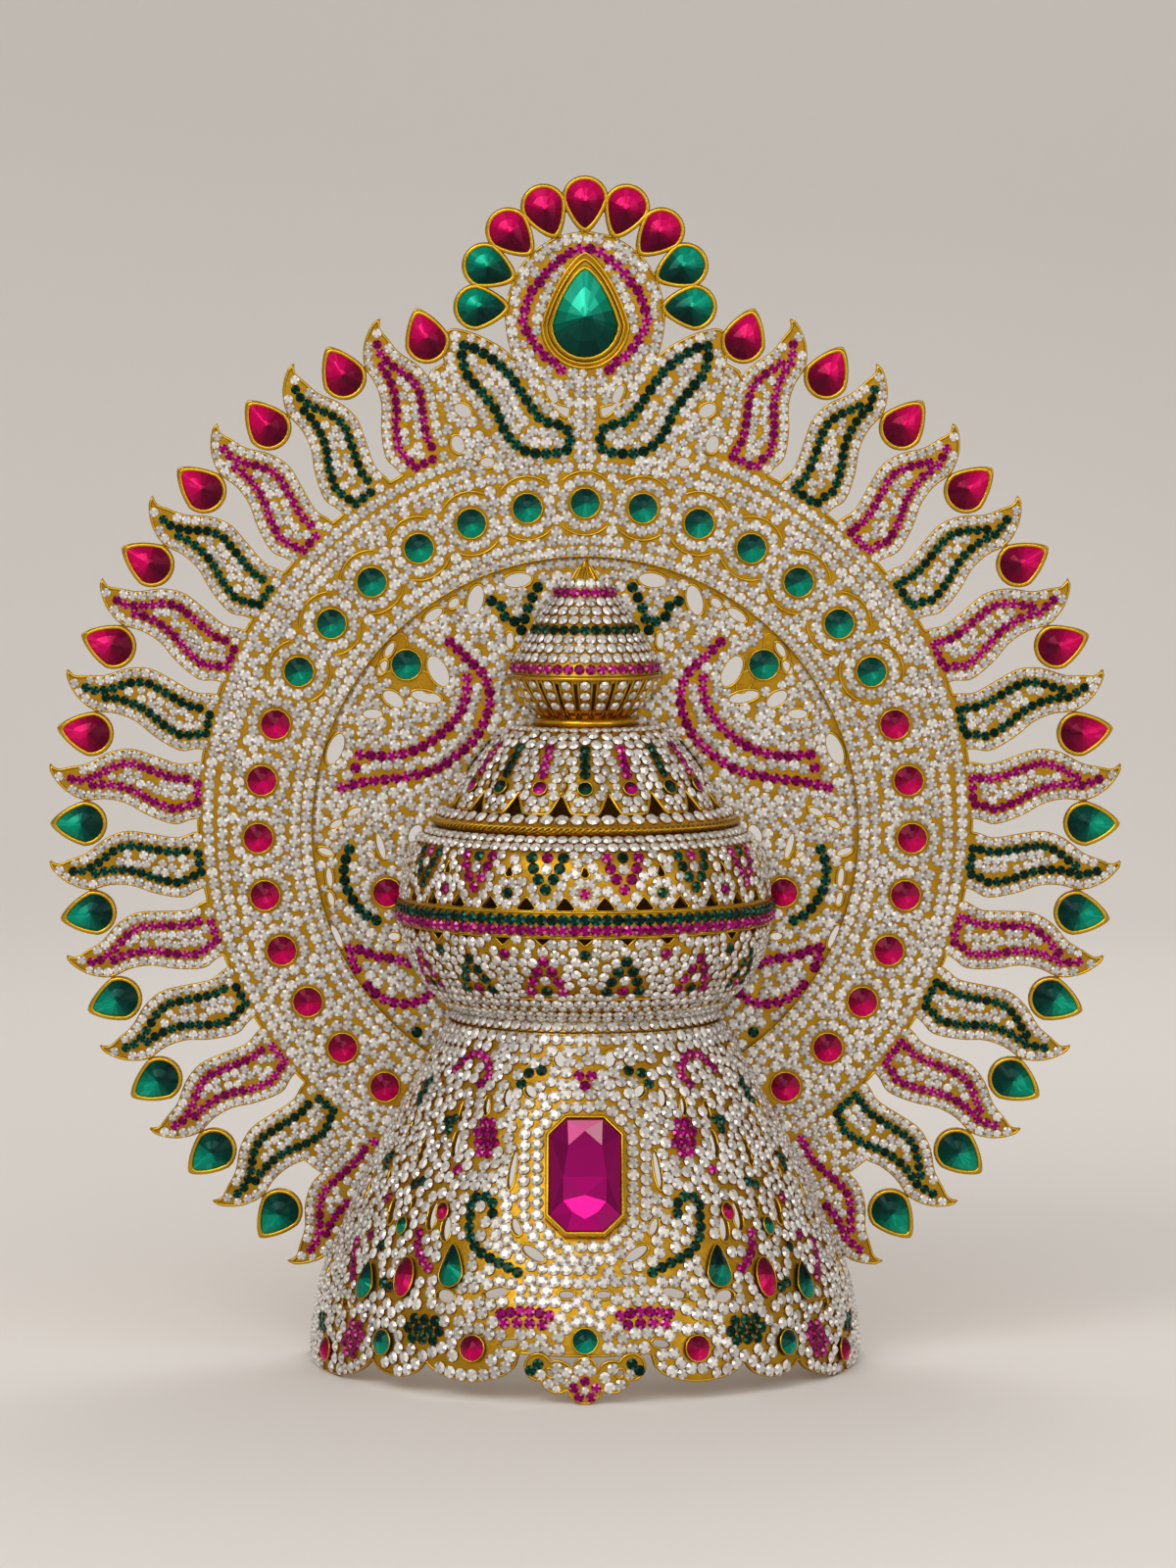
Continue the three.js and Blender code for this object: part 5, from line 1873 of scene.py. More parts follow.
    def _set_rays(self, paver: Paver) -> None:
        """Sets the small stones of the flames.

        Args:
            paver: The flames' paver.
        """
        tips = both_sides(turned(np.array([self.loop_tip]), angle, (0.0, self.ray_z))
                          for angle in self.angles(0.5))
        for index, (path, tip) in enumerate(zip(self.flame_rows(self.loop_inset), tips)):
            tint = Tint.FOREST if index // 2 % 2 else Tint.MAGENTA
            paver.row(path, tint, True, self.loop_pitch, self.ray_stones[0])
            paver.put(tip[0], tint, self.ray_stones[0], paver.FORCED)
        paver.edge_row(self.ray_stones[0] + 0.05)
        paver.fill()

    def _set_band(self, paver: Paver) -> None:
        """Sets the small stones of the ring band and the crest.

        Args:
            paver: The paver of ring and crest.
        """
        arch = smooth(self.crest_arch)
        paver.row(np.vstack([arch, mirrored(arch)[1:]]), Tint.MAGENTA, False, paver.COLOUR_PITCH)
        for path in both_sides([smooth(self.leaf_loop, True)]):
            paver.row(path, Tint.FOREST, True, paver.COLOUR_PITCH)
        for path in both_sides([np.array(self.crest_stem)]):
            paver.row(path)
        paver.edge_row()
        for radius in self.ring_rows:
            paver.row(arc((0.0, self.ring_z), radius, -180.0, 180.0)[:-1], closed=True)
        for angle, x, z in self.ring_gems():
            radius = self.gem_radius + self.gem_collar
            paver.row(arc((x, z), radius, angle, angle + 360.0, 8.0)[:-1], closed=True)
        paver.fill()

    def _set_large(self, shop: Workshop, surface: FlatSheet) -> None:
        """Sets the rim's pears, the ring's round stones and the crest's stones.

        Args:
            shop: The workshop.
            surface: The plate's front.
        """
        # Each pear's shine sets the side of it that is painted bright: a painted highlight.
        rim, nodes = Jeweller("rim_pears"), {Tint.RUBY: [], Tint.EMERALD: []}
        for index, angle in enumerate(self.angles()):
            tint = Tint.RUBY if index < self.ruby_pears else Tint.EMERALD
            for side, name in ((1, "right"), (-1, "left")):
                nodes[tint].append(f"rim_pear_{name}_{index + 1}")
                turn = angle * side
                seat = Seat.on(surface, on_circle(self.ray_z, self.pear_circle, turn), turn)
                rim.set(pear_cut(*self.pear_size, self.pear_height, 12.0 * side), seat, tint)
        rim.make(shop, 0.75, nodes)
        crest, nodes = Jeweller("crest_pears"), {Tint.RUBY: [], Tint.EMERALD: []}
        for index, (turn, x, z) in enumerate(self.crest_pears()):
            tint = Tint.RUBY if 1 < index < self.crest_pear_count - 2 else Tint.EMERALD
            nodes[tint].append(f"crest_pear_{index + 1}")
            crest.set(pear_cut(*self.crest_pear_size, self.pear_height, 180.0 - 0.65 * turn),
                      Seat.on(surface, (x, z), turn + 180), tint)
        crest.make(shop, 0.8, nodes)
        eye = Jeweller("crest_gem")
        seat = Seat.on(surface, (0.0, self.crest_gem_z))
        eye.set(pear_cut(*self.crest_gem_size, 5.2, -12.0, 0.62), seat, Tint.EMERALD, 0.5, 1.0)
        for grow in self.crest_bed:
            eye.bezels.append((seat.place(pear(*self.crest_gem_size, grow, 60), 0.0), True))
        eye.make(shop, 0.6, {Tint.EMERALD: ["crest_gem"]})
        ring = Jeweller("ring_rounds")
        for angle, x, z in self.ring_gems():
            tint = Tint.EMERALD if abs(angle) < self.green_reach else Tint.RUBY
            ring.set(rivoli(self.gem_radius), Seat.on(surface, (x, z)), tint, 0.35)
        ring.make(shop, 0.28, {
            Tint.EMERALD: ["ring_emeralds"], Tint.RUBY: ["ring_rubies_right", "ring_rubies_left"]})


@dataclass
class ScrollPanel:
    """The pierced scrollwork sheet inside the ring, behind the pot.

    Attributes:
        centre_z: Centre of its disc.
        radius: Radius of the disc; its edge lies behind the ring.
        seen: Radius of what the ring leaves open.
        openings: Place, length, width and tilt of each pierced opening on the right.
        feather: Outer and inner edge of the magenta feather, and its closing end.
        vee: The green rows of the V beside the cone.
        green_arc: The green row beside the pot.
        leaf_loop: The magenta row round the low leaf.
        flower: Place and size of the small flower beside the skirt.
        leaf_bed: Place, length, width and tilt of the plain gilt leaves round the upper stone.
        gem_radius: Radius of the upper round stones.
        leaf_gem: Place of the upper one on the right.
        ruby_gem: Place of the lower one.
        ruby_radius: Radius of the lower ones.
        ruby_bed: How far round them the metal stays free of small stones.
    """

    centre_z: float = 147.9
    radius: float = 80.0
    seen: float = 76.4
    openings: tuple[Row, ...] = (
        (41.0, 192.4, 9.4, 5.0, 62.0), (44.4, 185.2, 8.6, 3.2, 12.0), (53.6, 184.6, 6.6, 3.8, 35.0),
        (59.4, 180.4, 5.6, 2.8, 0.0), (42.4, 208.0, 6.0, 2.8, -35.0), (30.6, 212.2, 8.6, 4.4, -75.0),
        (36.6, 211.4, 3.6, 2.4, -40.0), (18.8, 217.8, 7.8, 4.0, -8.0), (21.0, 201.0, 4.6, 2.2, 90.0),
        (69.8, 170.6, 9.2, 4.2, -68.0), (40.2, 152.2, 4.6, 2.4, 80.0), (47.6, 146.8, 5.6, 3.4, -62.0),
        (57.2, 143.4, 7.4, 2.0, 75.0), (56.6, 193.4, 4.4, 2.2, -60.0), (54.6, 198.4, 4.6, 2.0, -60.0),
        (64.6, 153.0, 4.4, 2.0, -25.0), (69.6, 149.6, 4.0, 2.0, -30.0), (72.6, 141.8, 4.6, 2.0, 20.0),
        (71.6, 134.6, 5.6, 1.8, 84.0), (71.2, 128.6, 4.0, 1.8, 76.0), (69.6, 118.0, 7.0, 2.0, 66.0),
        (53.6, 118.0, 3.4, 2.2, 0.0), (60.2, 141.0, 2.6, 1.6, 30.0), (34.2, 156.8, 3.6, 2.0, 70.0))
    feather: tuple[tuple[Row, ...], ...] = (
        ((37.8, 200.5), (33.0, 195.9), (28.6, 191.6), (26.6, 186.0), (27.6, 179.8), (30.6, 173.8),
         (35.1, 169.5), (42.0, 164.9), (51.5, 162.6), (61.6, 161.4), (68.0, 159.8)),
        ((33.3, 193.5), (32.9, 187.5), (34.6, 181.5), (39.0, 176.0), (46.0, 171.0), (54.0, 168.7),
         (63.0, 169.0)),
        ((64.8, 168.6), (64.2, 165.4), (66.2, 162.6)))
    vee: tuple[tuple[Row, ...], ...] = (
        ((13.2, 215.8), (14.7, 213.0), (16.0, 210.0), (16.8, 207.3), (17.8, 203.9)),
        ((26.1, 212.0), (23.6, 210.7), (22.6, 207.8), (19.7, 206.3)))
    green_arc: tuple[Row, ...] = (
        (66.0, 142.5), (67.1, 139.4), (67.6, 135.4), (66.4, 130.7), (64.2, 127.0), (61.7, 124.2),
        (58.5, 122.5))
    leaf_loop: tuple[Row, ...] = (
        (65.7, 114.8), (59.0, 112.5), (51.7, 111.3), (46.1, 108.9), (42.4, 104.6), (44.0, 101.2),
        (49.3, 99.0), (55.5, 99.9), (60.4, 103.4), (64.0, 108.4))
    flower: Row = (47.2, 91.0, 6.8)
    leaf_bed: tuple[Row, ...] = ((49.9, 194.2, 13.0, 11.0, 0.0), (53.6, 197.4, 12.0, 6.0, -62.0),
                                 (44.6, 189.4, 7.0, 4.0, 60.0))
    gem_radius: float = 4.0
    leaf_gem: Row = (49.9, 194.2)
    ruby_gem: Row = (55.4, 130.3)
    ruby_radius: float = 3.75
    ruby_bed: float = 0.9

    def build(self, shop: Workshop, arch: np.ndarray, body: np.ndarray) -> None:
        """Makes the panel.

        Args:
            shop: The workshop.
            arch: Outline of the opening that the skirt passes through.
            body: Outline of the body in front, where no stones are set.
        """
        surface = FlatSheet(PLANES.panel)
        metal = Field((-84.0, 60.0), (84.0, 232.0), 0.5)
        metal.disc((0.0, self.centre_z), self.radius)
        metal.cut([arch])
        metal.cut(both_sides(oval(row[:2], *row[2:]) for row in self.openings))
        shop.cast("panel_sheet", Slot.PLATE, plate(metal, PLANES.panel, PLANES.panel_back), "scroll_panel")
        ground = metal.copy()
        x, z = np.meshgrid(ground.x, ground.z)
        ground.values = np.maximum(ground.values, np.hypot(x, z - self.centre_z) - self.seen)
        shop.edge_wire("panel_edge_wire", surface, metal, 0.45, 0.3, shop.OPENING)
        ground.cut([body])
        ground.cut(both_sides(oval(row[:2], *row[2:]) for row in self.leaf_bed))
        for side in (1, -1):
            x, z = self.ruby_gem
            ground.disc((side * x, z), self.ruby_radius + self.ruby_bed, cut=True)
        paver = Paver(surface, ground)
        for part in self.feather + self.vee + (self.green_arc,):
            green = part in self.vee or part is self.green_arc
            for path in both_sides([smooth(part)]):
                paver.row(path, Tint.FOREST if green else Tint.MAGENTA, False, paver.COLOUR_PITCH)
        for path in both_sides([smooth(self.leaf_loop, True)]):
            paver.row(path, Tint.MAGENTA, True, paver.COLOUR_PITCH)
        for side in (1, -1):
            x, z, size = self.flower
            paver.put(np.array([side * x, z]), Tint.FOREST, paver.CLEAR_RADIUS, paver.SNUG)
            paver.row(oval((side * x, z), size, size), closed=True, pitch=paver.COLOUR_PITCH)
        shop.set_stones("panel_stones", paver)
        self._set_large(shop, surface)

    def _set_large(self, shop: Workshop, surface: FlatSheet) -> None:
        """Sets the four round stones and veins their leaf beds.

        Args:
            shop: The workshop.
            surface: The panel's front.
        """
        rounds = Jeweller("panel_rounds")
        for side in (1, -1):
            leaf = Seat.on(surface, (side * self.leaf_gem[0], self.leaf_gem[1]))
            rounds.set(rivoli(self.gem_radius), leaf, Tint.EMERALD, 0.35)
            rounds.set(rivoli(self.ruby_radius), Seat.on(
                surface, (side * self.ruby_gem[0], self.ruby_gem[1])), Tint.RUBY, 0.35)
            for row in self.leaf_bed[1:]:
                edge = oval((side * row[0], row[1]), row[2], row[3], side * row[4], 18)
                rounds.bezels.append((surface.place(edge), True))
        rounds.make(shop, 0.3, {
            Tint.EMERALD: ["panel_emerald_right", "panel_emerald_left"],
            Tint.RUBY: ["panel_ruby_right", "panel_ruby_left"]})


def level(wall: RoundWall, z: float, half: float = 88.0) -> np.ndarray:
    """Returns a path round a wall at one height, in its own coordinates."""
    return wall.flat([(angle, z) for angle in np.linspace(-half, half, 60)])


def both_walls(wall: RoundWall, points: Iterable[Row]) -> list[np.ndarray]:
    """Returns a few points, given as angle and z, in the wall's coordinates, and their twin."""
    flat = wall.flat(points)
    return [flat, flat * (-1, 1)]


@dataclass
class Skirt:
    """The pierced bell below the pot, with its front stone, drops, hem and pendant.

    Attributes:
        profile: Heights and outside radii.
        top: Height of its upper edge.
        reach: Radius at which its own sideways coordinate is true to size.
        lip_depth: How far its straight sides reach behind the halo.
        lip_short: How far the sides reach back above that.
        lip_top: Above this height the sides end in front of the panel.
        lip_full: Below this height the sides have their full depth.
        wall: Thickness.
        gap: Clearance of the opening that it passes through.
        arch_top: Height of that opening.
        scallops: From and to angle, lowest and highest z of each scallop of the hem.
        openings: Angle, z, height, width and tilt of each pierced opening on the right.
        green: Rows of dark green stones, as angles and heights.
        magenta: Rows of magenta stones.
        green_patches: Angle, z, length, width and tilt of the green leaves.
        magenta_patches: The same for the magenta ones.
        garlands: Height, degrees to each side, and rise per degree of the rows below that stone.
        hem_gem: Radius, height and bed of the round stone at the hem's middle.
        frame: Outer and inner rim of the front stone's frame, and its front and back height.
        frame_rows: How far outside the front stone its rows of clear stones run.
        stone_radii: Largest and smallest radius of its clear stones.
        drop_bed: How much wider a drop's own bed is than the drop.
        gem_z: Height of the front stone.
        gem_size: Width and length of the front stone, and of its cut corners.
        gem_slope: Height on the wall for each millimetre along the leaning stone.
        pendant_radius: Outside radius of the pendant.
        pendant_wall: Thickness of the pendant.
        pendant_lobes: Place and radius of each of its lobes.
        pendant_eye: Place, length, width and tilt of its openings.
        pendant_leaf: Its green rows, as angles and heights.
        pendant_flower: The stones of its magenta flower.
        pendant_stones: Spacing of its green stones, and radius of its magenta ones.
    """

    profile: tuple[Row, ...] = (
        (-3.0, 76.0), (4.1, 76.4), (13.7, 75.3), (23.8, 73.1), (33.4, 69.0), (45.7, 63.8),
        (56.1, 58.9), (66.3, 53.4), (77.5, 47.4), (86.2, 42.4), (92.8, 38.6), (98.6, 36.3))
    top: float = 95.0
    reach: float = 63.0
    lip_depth: float = 8.0
    lip_short: float = 1.2
    lip_top: float = 85.8
    lip_full: float = 79.0
    wall: float = 1.4
    gap: float = 0.3
    arch_top: float = 86.6
    scallops: tuple[Row, ...] = (
        (0.0, 14.0, 12.6, 13.4), (14.0, 35.0, 5.0, 11.0), (35.0, 50.0, 4.0, 9.4), (50.0, 90.0, 0.0, 8.4))
    openings: tuple[Row, ...] = (
        (20.2, 59.8, 10.4, 2.2, 90.0), (16.9, 45.4, 5.0, 2.4, 62.0), (12.0, 38.8, 7.2, 2.8, 30.0),
        (9.6, 88.4, 5.6, 4.0, 20.0), (18.8, 80.0, 5.6, 2.8, 20.0), (26.5, 78.0, 5.0, 3.8, 60.0),
        (33.6, 75.6, 5.2, 2.6, 70.0), (40.6, 65.2, 7.4, 3.2, 75.0), (40.8, 46.4, 7.6, 3.2, 85.0),
        (35.6, 43.6, 6.6, 3.0, 80.0), (4.0, 28.6, 4.0, 2.0, 0.0), (19.8, 28.4, 6.6, 2.4, -18.0),
        (31.6, 26.6, 5.4, 3.4, 5.0), (15.8, 15.6, 4.6, 2.2, -20.0), (42.5, 73.5, 6.4, 2.0, 80.0),
        (53.0, 62.0, 8.0, 2.6, 78.0), (56.0, 46.0, 7.4, 2.8, 78.0), (64.5, 67.5, 8.0, 2.6, 80.0),
        (74.0, 50.0, 9.0, 3.0, 82.0), (62.0, 20.0, 5.4, 2.6, 15.0), (80.0, 27.0, 7.0, 3.2, 82.0),
        (48.6, 49.4, 3.6, 1.8, 80.0), (64.0, 54.6, 5.0, 2.0, 70.0), (74.0, 72.0, 6.0, 2.2, 82.0))
    green: tuple[tuple[Row, ...], ...] = (
        ((23.5, 48.5), (24.5, 52.0), (27.5, 52.6), (30.0, 51.5), (29.5, 48.0), (29.0, 44.4),
         (27.5, 41.0), (25.0, 38.5), (22.0, 37.0), (18.8, 35.6), (15.3, 33.9)),
        ((22.6, 81.7), (20.5, 84.7), (16.0, 85.3)),
        ((55.4, 36.7), (54.5, 33.0), (52.0, 29.0), (47.8, 27.0)))
    magenta: tuple[tuple[Row, ...], ...] = (
        ((54.0, 84.0), (51.5, 86.4), (47.0, 88.4), (42.0, 88.0), (38.3, 86.0), (36.5, 83.3), (38.8, 81.0)),
        ((43.4, 41.7), (42.5, 38.0), (40.3, 35.3), (38.0, 33.3), (35.3, 32.8)),
        ((67.5, 36.2), (66.0, 32.0), (62.4, 27.3)),
        ((7.5, 23.2), (10.1, 23.9), (12.7, 24.1), (15.3, 23.9), (18.0, 23.2)),
        ((8.9, 20.8), (11.6, 21.1), (14.3, 21.1), (17.0, 20.8)),
        ((2.2, 84.2), (2.21, 84.2)), ((0.0, 81.6), (0.01, 81.6)))
    green_patches: tuple[Row, ...] = (
        (46.0, 70.4, 7.4, 5.0, 110.0), (68.0, 77.0, 10.5, 4.0, 95.0), (49.5, 53.5, 6.5, 4.2, 100.0),
        (69.5, 58.0, 6.5, 4.2, 100.0), (35.7, 17.5, 12.0, 8.0, 0.0), (74.0, 13.0, 9.0, 7.0, 110.0))
    magenta_patches: tuple[Row, ...] = (
        (30.7, 67.5, 12.6, 7.0, 60.0), (61.5, 68.0, 5.0, 4.0, 90.0), (37.0, 58.8, 4.6, 3.2, 90.0),
        (60.0, 49.0, 5.0, 3.4, 90.0), (61.5, 38.7, 4.4, 3.4, 90.0), (57.0, 11.6, 12.5, 7.6, 118.0))
    garlands: tuple[Row, ...] = ((35.0, 15.0, 0.06), (31.4, 15.0, 0.06))
    hem_gem: Row = (3.3, 16.7, 3.8)
    frame: Row = (1.3, 0.2, 1.3, -1.6)
    frame_rows: Row = (3.3, 6.9)
    stone_radii: Row = (1.72, 1.2)
    drop_bed: float = 1.0
    gem_z: float = 58.4
    gem_size: Row = (19.0, 32.0, 4.6)
    gem_slope: float = 0.914
    pendant_radius: float = 77.1
    pendant_wall: float = 1.2
    pendant_lobes: tuple[Row, ...] = (
        (0.0, 5.0, 5.0), (0.0, 9.8, 3.2), (7.4, 7.4, 4.6), (-7.4, 7.4, 4.6), (12.6, 10.0, 3.8),
        (-12.6, 10.0, 3.8))
    pendant_eye: Row = (9.4, 8.4, 2.2, 1.6, 60.0)
    pendant_leaf: tuple[Row, ...] = ((5.4, 11.6), (8.4, 11.4), (10.8, 9.2), (10.4, 6.4))
    pendant_flower: tuple[Row, ...] = ((0.0, 6.3), (-2.2, 4.5), (2.2, 4.5), (-1.2, 2.0), (1.2, 2.0))
    pendant_stones: Row = (2.9, 1.4)

    def surface(self) -> RoundWall:
        """Returns the skirt's wall."""
        return RoundWall(self.profile, PLANES.plate, self.reach)

    def arch(self) -> np.ndarray:
        """Returns the opening that the skirt needs through plate and panel.

        Returns:
            Its outline.
        """
        heights = np.linspace(-8.0, self.arch_top, 30)
        right = np.stack([self.surface().radius(heights) + self.gap, heights], 1)
        return np.vstack([right, mirrored(right)])

    def hem(self, angle: float) -> float:
        """Returns the height of the lower edge at an angle from the front.

        Args:
            angle: Degrees from the front.

        Returns:
            The height.
        """
        side = abs(angle)
        for start, finish, low, high in self.scallops:
            if side < finish:
                middle = (start + finish) / 2
                share = side / finish if start == 0 else abs(side - middle) / (finish - middle)
                return high - (high - low) * math.sqrt(max(0.0, 1 - share * share))
        return 0.0

    def metal(self, wall: RoundWall) -> Field:
        """Returns the skirt's outline on its wall.

        Args:
            wall: The skirt's wall.

        Returns:
            The outline.
        """
        degrees = 90 + self.lip_depth / (DEG * self.profile[0][1])
        short = 90 + self.lip_short / (DEG * self.profile[0][1])
        side = [(degrees, 0.0), (degrees, self.lip_full), (short, self.lip_top), (short, self.top)]
        hem = [(angle, self.hem(angle)) for angle in np.linspace(-90, 90, 241)]
        outline = wall.flat([(-degrees, 0.0)] + hem + side + [(-a, z) for a, z in side[:0:-1]])
        metal = Field((-110.0, -6.0), (110.0, 101.0), 1.0)
        metal.add([outline])
        metal.cut(both_sides(
            oval((DEG * self.reach * row[0], row[1]), *row[2:]) for row in self.openings))
        return metal

    def drops(self) -> list[tuple[float, float, BigCut, Tint, float]]:
        """Lists the large stones on the right-hand side.

        Returns:
            Angle, height, cut, colour and turn of each.
        """
        # The pears' 150 and 0.38 are the side painted brightest and their painted middle brightness.
        return [
            (31.4, 34.4, pear_cut(11.6, 7.0, 2.8, 150.0, 0.38), Tint.EMERALD, 8.0),
            (43.7, 30.0, oval_cut(11.2, 6.4), Tint.RUBY, 14.0),
            (56.0, 27.4, pear_cut(10.4, 6.6, 2.6, 150.0, 0.38), Tint.EMERALD, 16.0),
            (37.6, 47.8, oval_cut(4.8, 3.6, 1.9), Tint.RUBY, 12.0),
            (49.6, 42.8, oval_cut(4.8, 3.6, 1.9), Tint.EMERALD, 14.0),
            (23.5, 13.8, rivoli(3.4), Tint.RUBY, 0.0),
            (46.5, 12.5, rivoli(3.3), Tint.EMERALD, 0.0),
            (68.5, 6.5, rivoli(3.3), Tint.RUBY, 0.0),
        ]

    def octagon(self, grow: float = 0.0) -> np.ndarray:
        """Returns the front stone's outline, anticlockwise, grown by a rim.

        Args:
            grow: How far it is grown.

        Returns:
            Its corners.
        """
        width, length, cut = self.gem_size
        x, z, c = width / 2 + grow, length / 2 + grow, cut + 0.6 * grow
        return np.array([(x, c - z), (x, z - c), (x - c, z), (c - x, z), (-x, z - c), (-x, c - z),
                         (c - x, -z), (x - c, -z)])

    def front_outline(self, wall: RoundWall, grow: float) -> np.ndarray:
        """Returns a loop round the front stone in the wall's coordinates.

        Args:
            wall: The skirt's wall.
            grow: How far it is grown.

        Returns:
            The loop.
        """
        corners = self.octagon(grow)
        z = self.gem_z + corners[:, 1] * self.gem_slope
        return np.stack([corners[:, 0] * self.reach / wall.radius(z), z], 1)

    def build(self, shop: Workshop) -> None:
        """Makes the skirt, its stones and its pendant.

        Args:
            shop: The workshop.
        """
        wall = self.surface()
        metal = self.metal(wall)
        shop.cast("skirt_shell", Slot.BODY, shell(metal, wall, self.wall), "skirt", smooth_below=40.0)
        shop.edge_wire("skirt_edge_wire", wall, metal, 0.4)
        ground = metal.copy()
        scale = DEG * self.reach
        for angle, z, cut, _, _ in self.drops():
            spread = np.ptp(cut.outline, axis=0) + self.drop_bed
            ground.cut([oval((side * angle * scale, z), spread[1], spread[0], 90.0) for side in (1, -1)])
        _, z, bed = self.hem_gem
        ground.disc((0.0, z), bed, cut=True)
        ground.cut([self.front_outline(wall, self.frame[0])])
        paver = Paver(wall, ground, *self.stone_radii)
        self._set_small(paver, wall)
        shop.set_stones("skirt_stones", paver)
        self._set_large(shop, wall)
        self._make_pendant(shop)

    def _set_small(self, paver: Paver, wall: RoundWall) -> None:
        """Sets the skirt's small stones.

        Args:
            paver: The skirt's paver.
            wall: The skirt's wall.
        """
        for rows, tint in ((self.green, Tint.FOREST), (self.magenta, Tint.MAGENTA)):
            for row in rows:
                for path in both_walls(wall, smooth(row)):
                    paver.row(path, tint, False, paver.COLOUR_PITCH)
        scale = DEG * self.reach
        for patches, tint in ((self.green_patches, Tint.FOREST), (self.magenta_patches, Tint.MAGENTA)):
            for angle, z, long, wide, tilt in patches:
                for outline in both_sides([oval((angle * scale, z), long, wide, tilt)]):
                    paver.patch(outline, tint)
        for grow in self.frame_rows:
            paver.row(self.front_outline(wall, grow), closed=True)
        for z, half, rise in self.garlands:
            paver.row(wall.flat([(angle, z + abs(angle) * rise) for angle in np.linspace(-half, half, 30)]))

    def _set_large(self, shop: Workshop, wall: RoundWall) -> None:
        """Sets the front stone in its frame, and the drops and rounds.

        Args:
            shop: The workshop.
            wall: The skirt's wall.
        """
        scale = DEG * self.reach
        front = Jeweller("front_stone")
        seat = Seat.on(wall, (0.0, self.gem_z), lift=0.5)
        cut = FrontCut(self.octagon(), ((1.0, 0.0), (1.0, 1.8)))
        front.set(cut, seat, Tint.FUCHSIA, 0.7, 1.6)
        front.make(shop, 0.6, {Tint.FUCHSIA: ["front_gem"]})
        outside, inside, front_height, foot = self.frame
        ring = np.vstack([self.octagon(outside), self.octagon(inside)])
        shape = walled(seat.place(ring, front_height), seat.place(ring, foot), belt(0, len(cut.outline)))
        shop.cast("front_frame", Slot.TRIM, shape, "gem_frame")
        drops = Jeweller("skirt_drops")
        for angle, z, cut, tint, turn in self.drops():
            for side in (1, -1):
                drops.set(cut, Seat.on(wall, (side * angle * scale, z), side * turn, 0.2), tint, 0.2)
        radius, z, _ = self.hem_gem
        drops.set(rivoli(radius), Seat.on(wall, (0.0, z), lift=0.2), Tint.EMERALD, 0.2)
        drops.make(shop, 0.26, {
            Tint.EMERALD: ["drop_gems_right", "drop_gems_left"], Tint.RUBY: ["hem_gems"]})

    def _make_pendant(self, shop: Workshop) -> None:
        """Makes the trefoil that hangs at the hem's middle.

        Args:
            shop: The workshop.
        """
        wall = RoundWall(
            ((-4.0, self.pendant_radius), (20.0, self.pendant_radius)), PLANES.plate, self.pendant_radius)
        metal = Field((-22.0, -6.0), (22.0, 20.0), 0.5)
        for lobe in self.pendant_lobes:
            metal.disc(lobe[:2], lobe[2])
        metal.cut(both_sides([oval(self.pendant_eye[:2], *self.pendant_eye[2:])]))
        shop.cast("pendant_shell", Slot.TRIM, shell(metal, wall, self.pendant_wall), "hem_pendant",
                  smooth_below=40.0)
        shop.edge_wire("pendant_edge_wire", wall, metal, 0.45)
        paver = Paver(wall, metal)
        pitch, radius = self.pendant_stones
        for path in both_walls(wall, smooth(self.pendant_leaf)):
            paver.row(path, Tint.FOREST, False, pitch)
        for spot in wall.flat(self.pendant_flower):
            paver.put(spot, Tint.MAGENTA, radius, paver.SNUG)
        shop.set_stones("pendant_stones", paver)


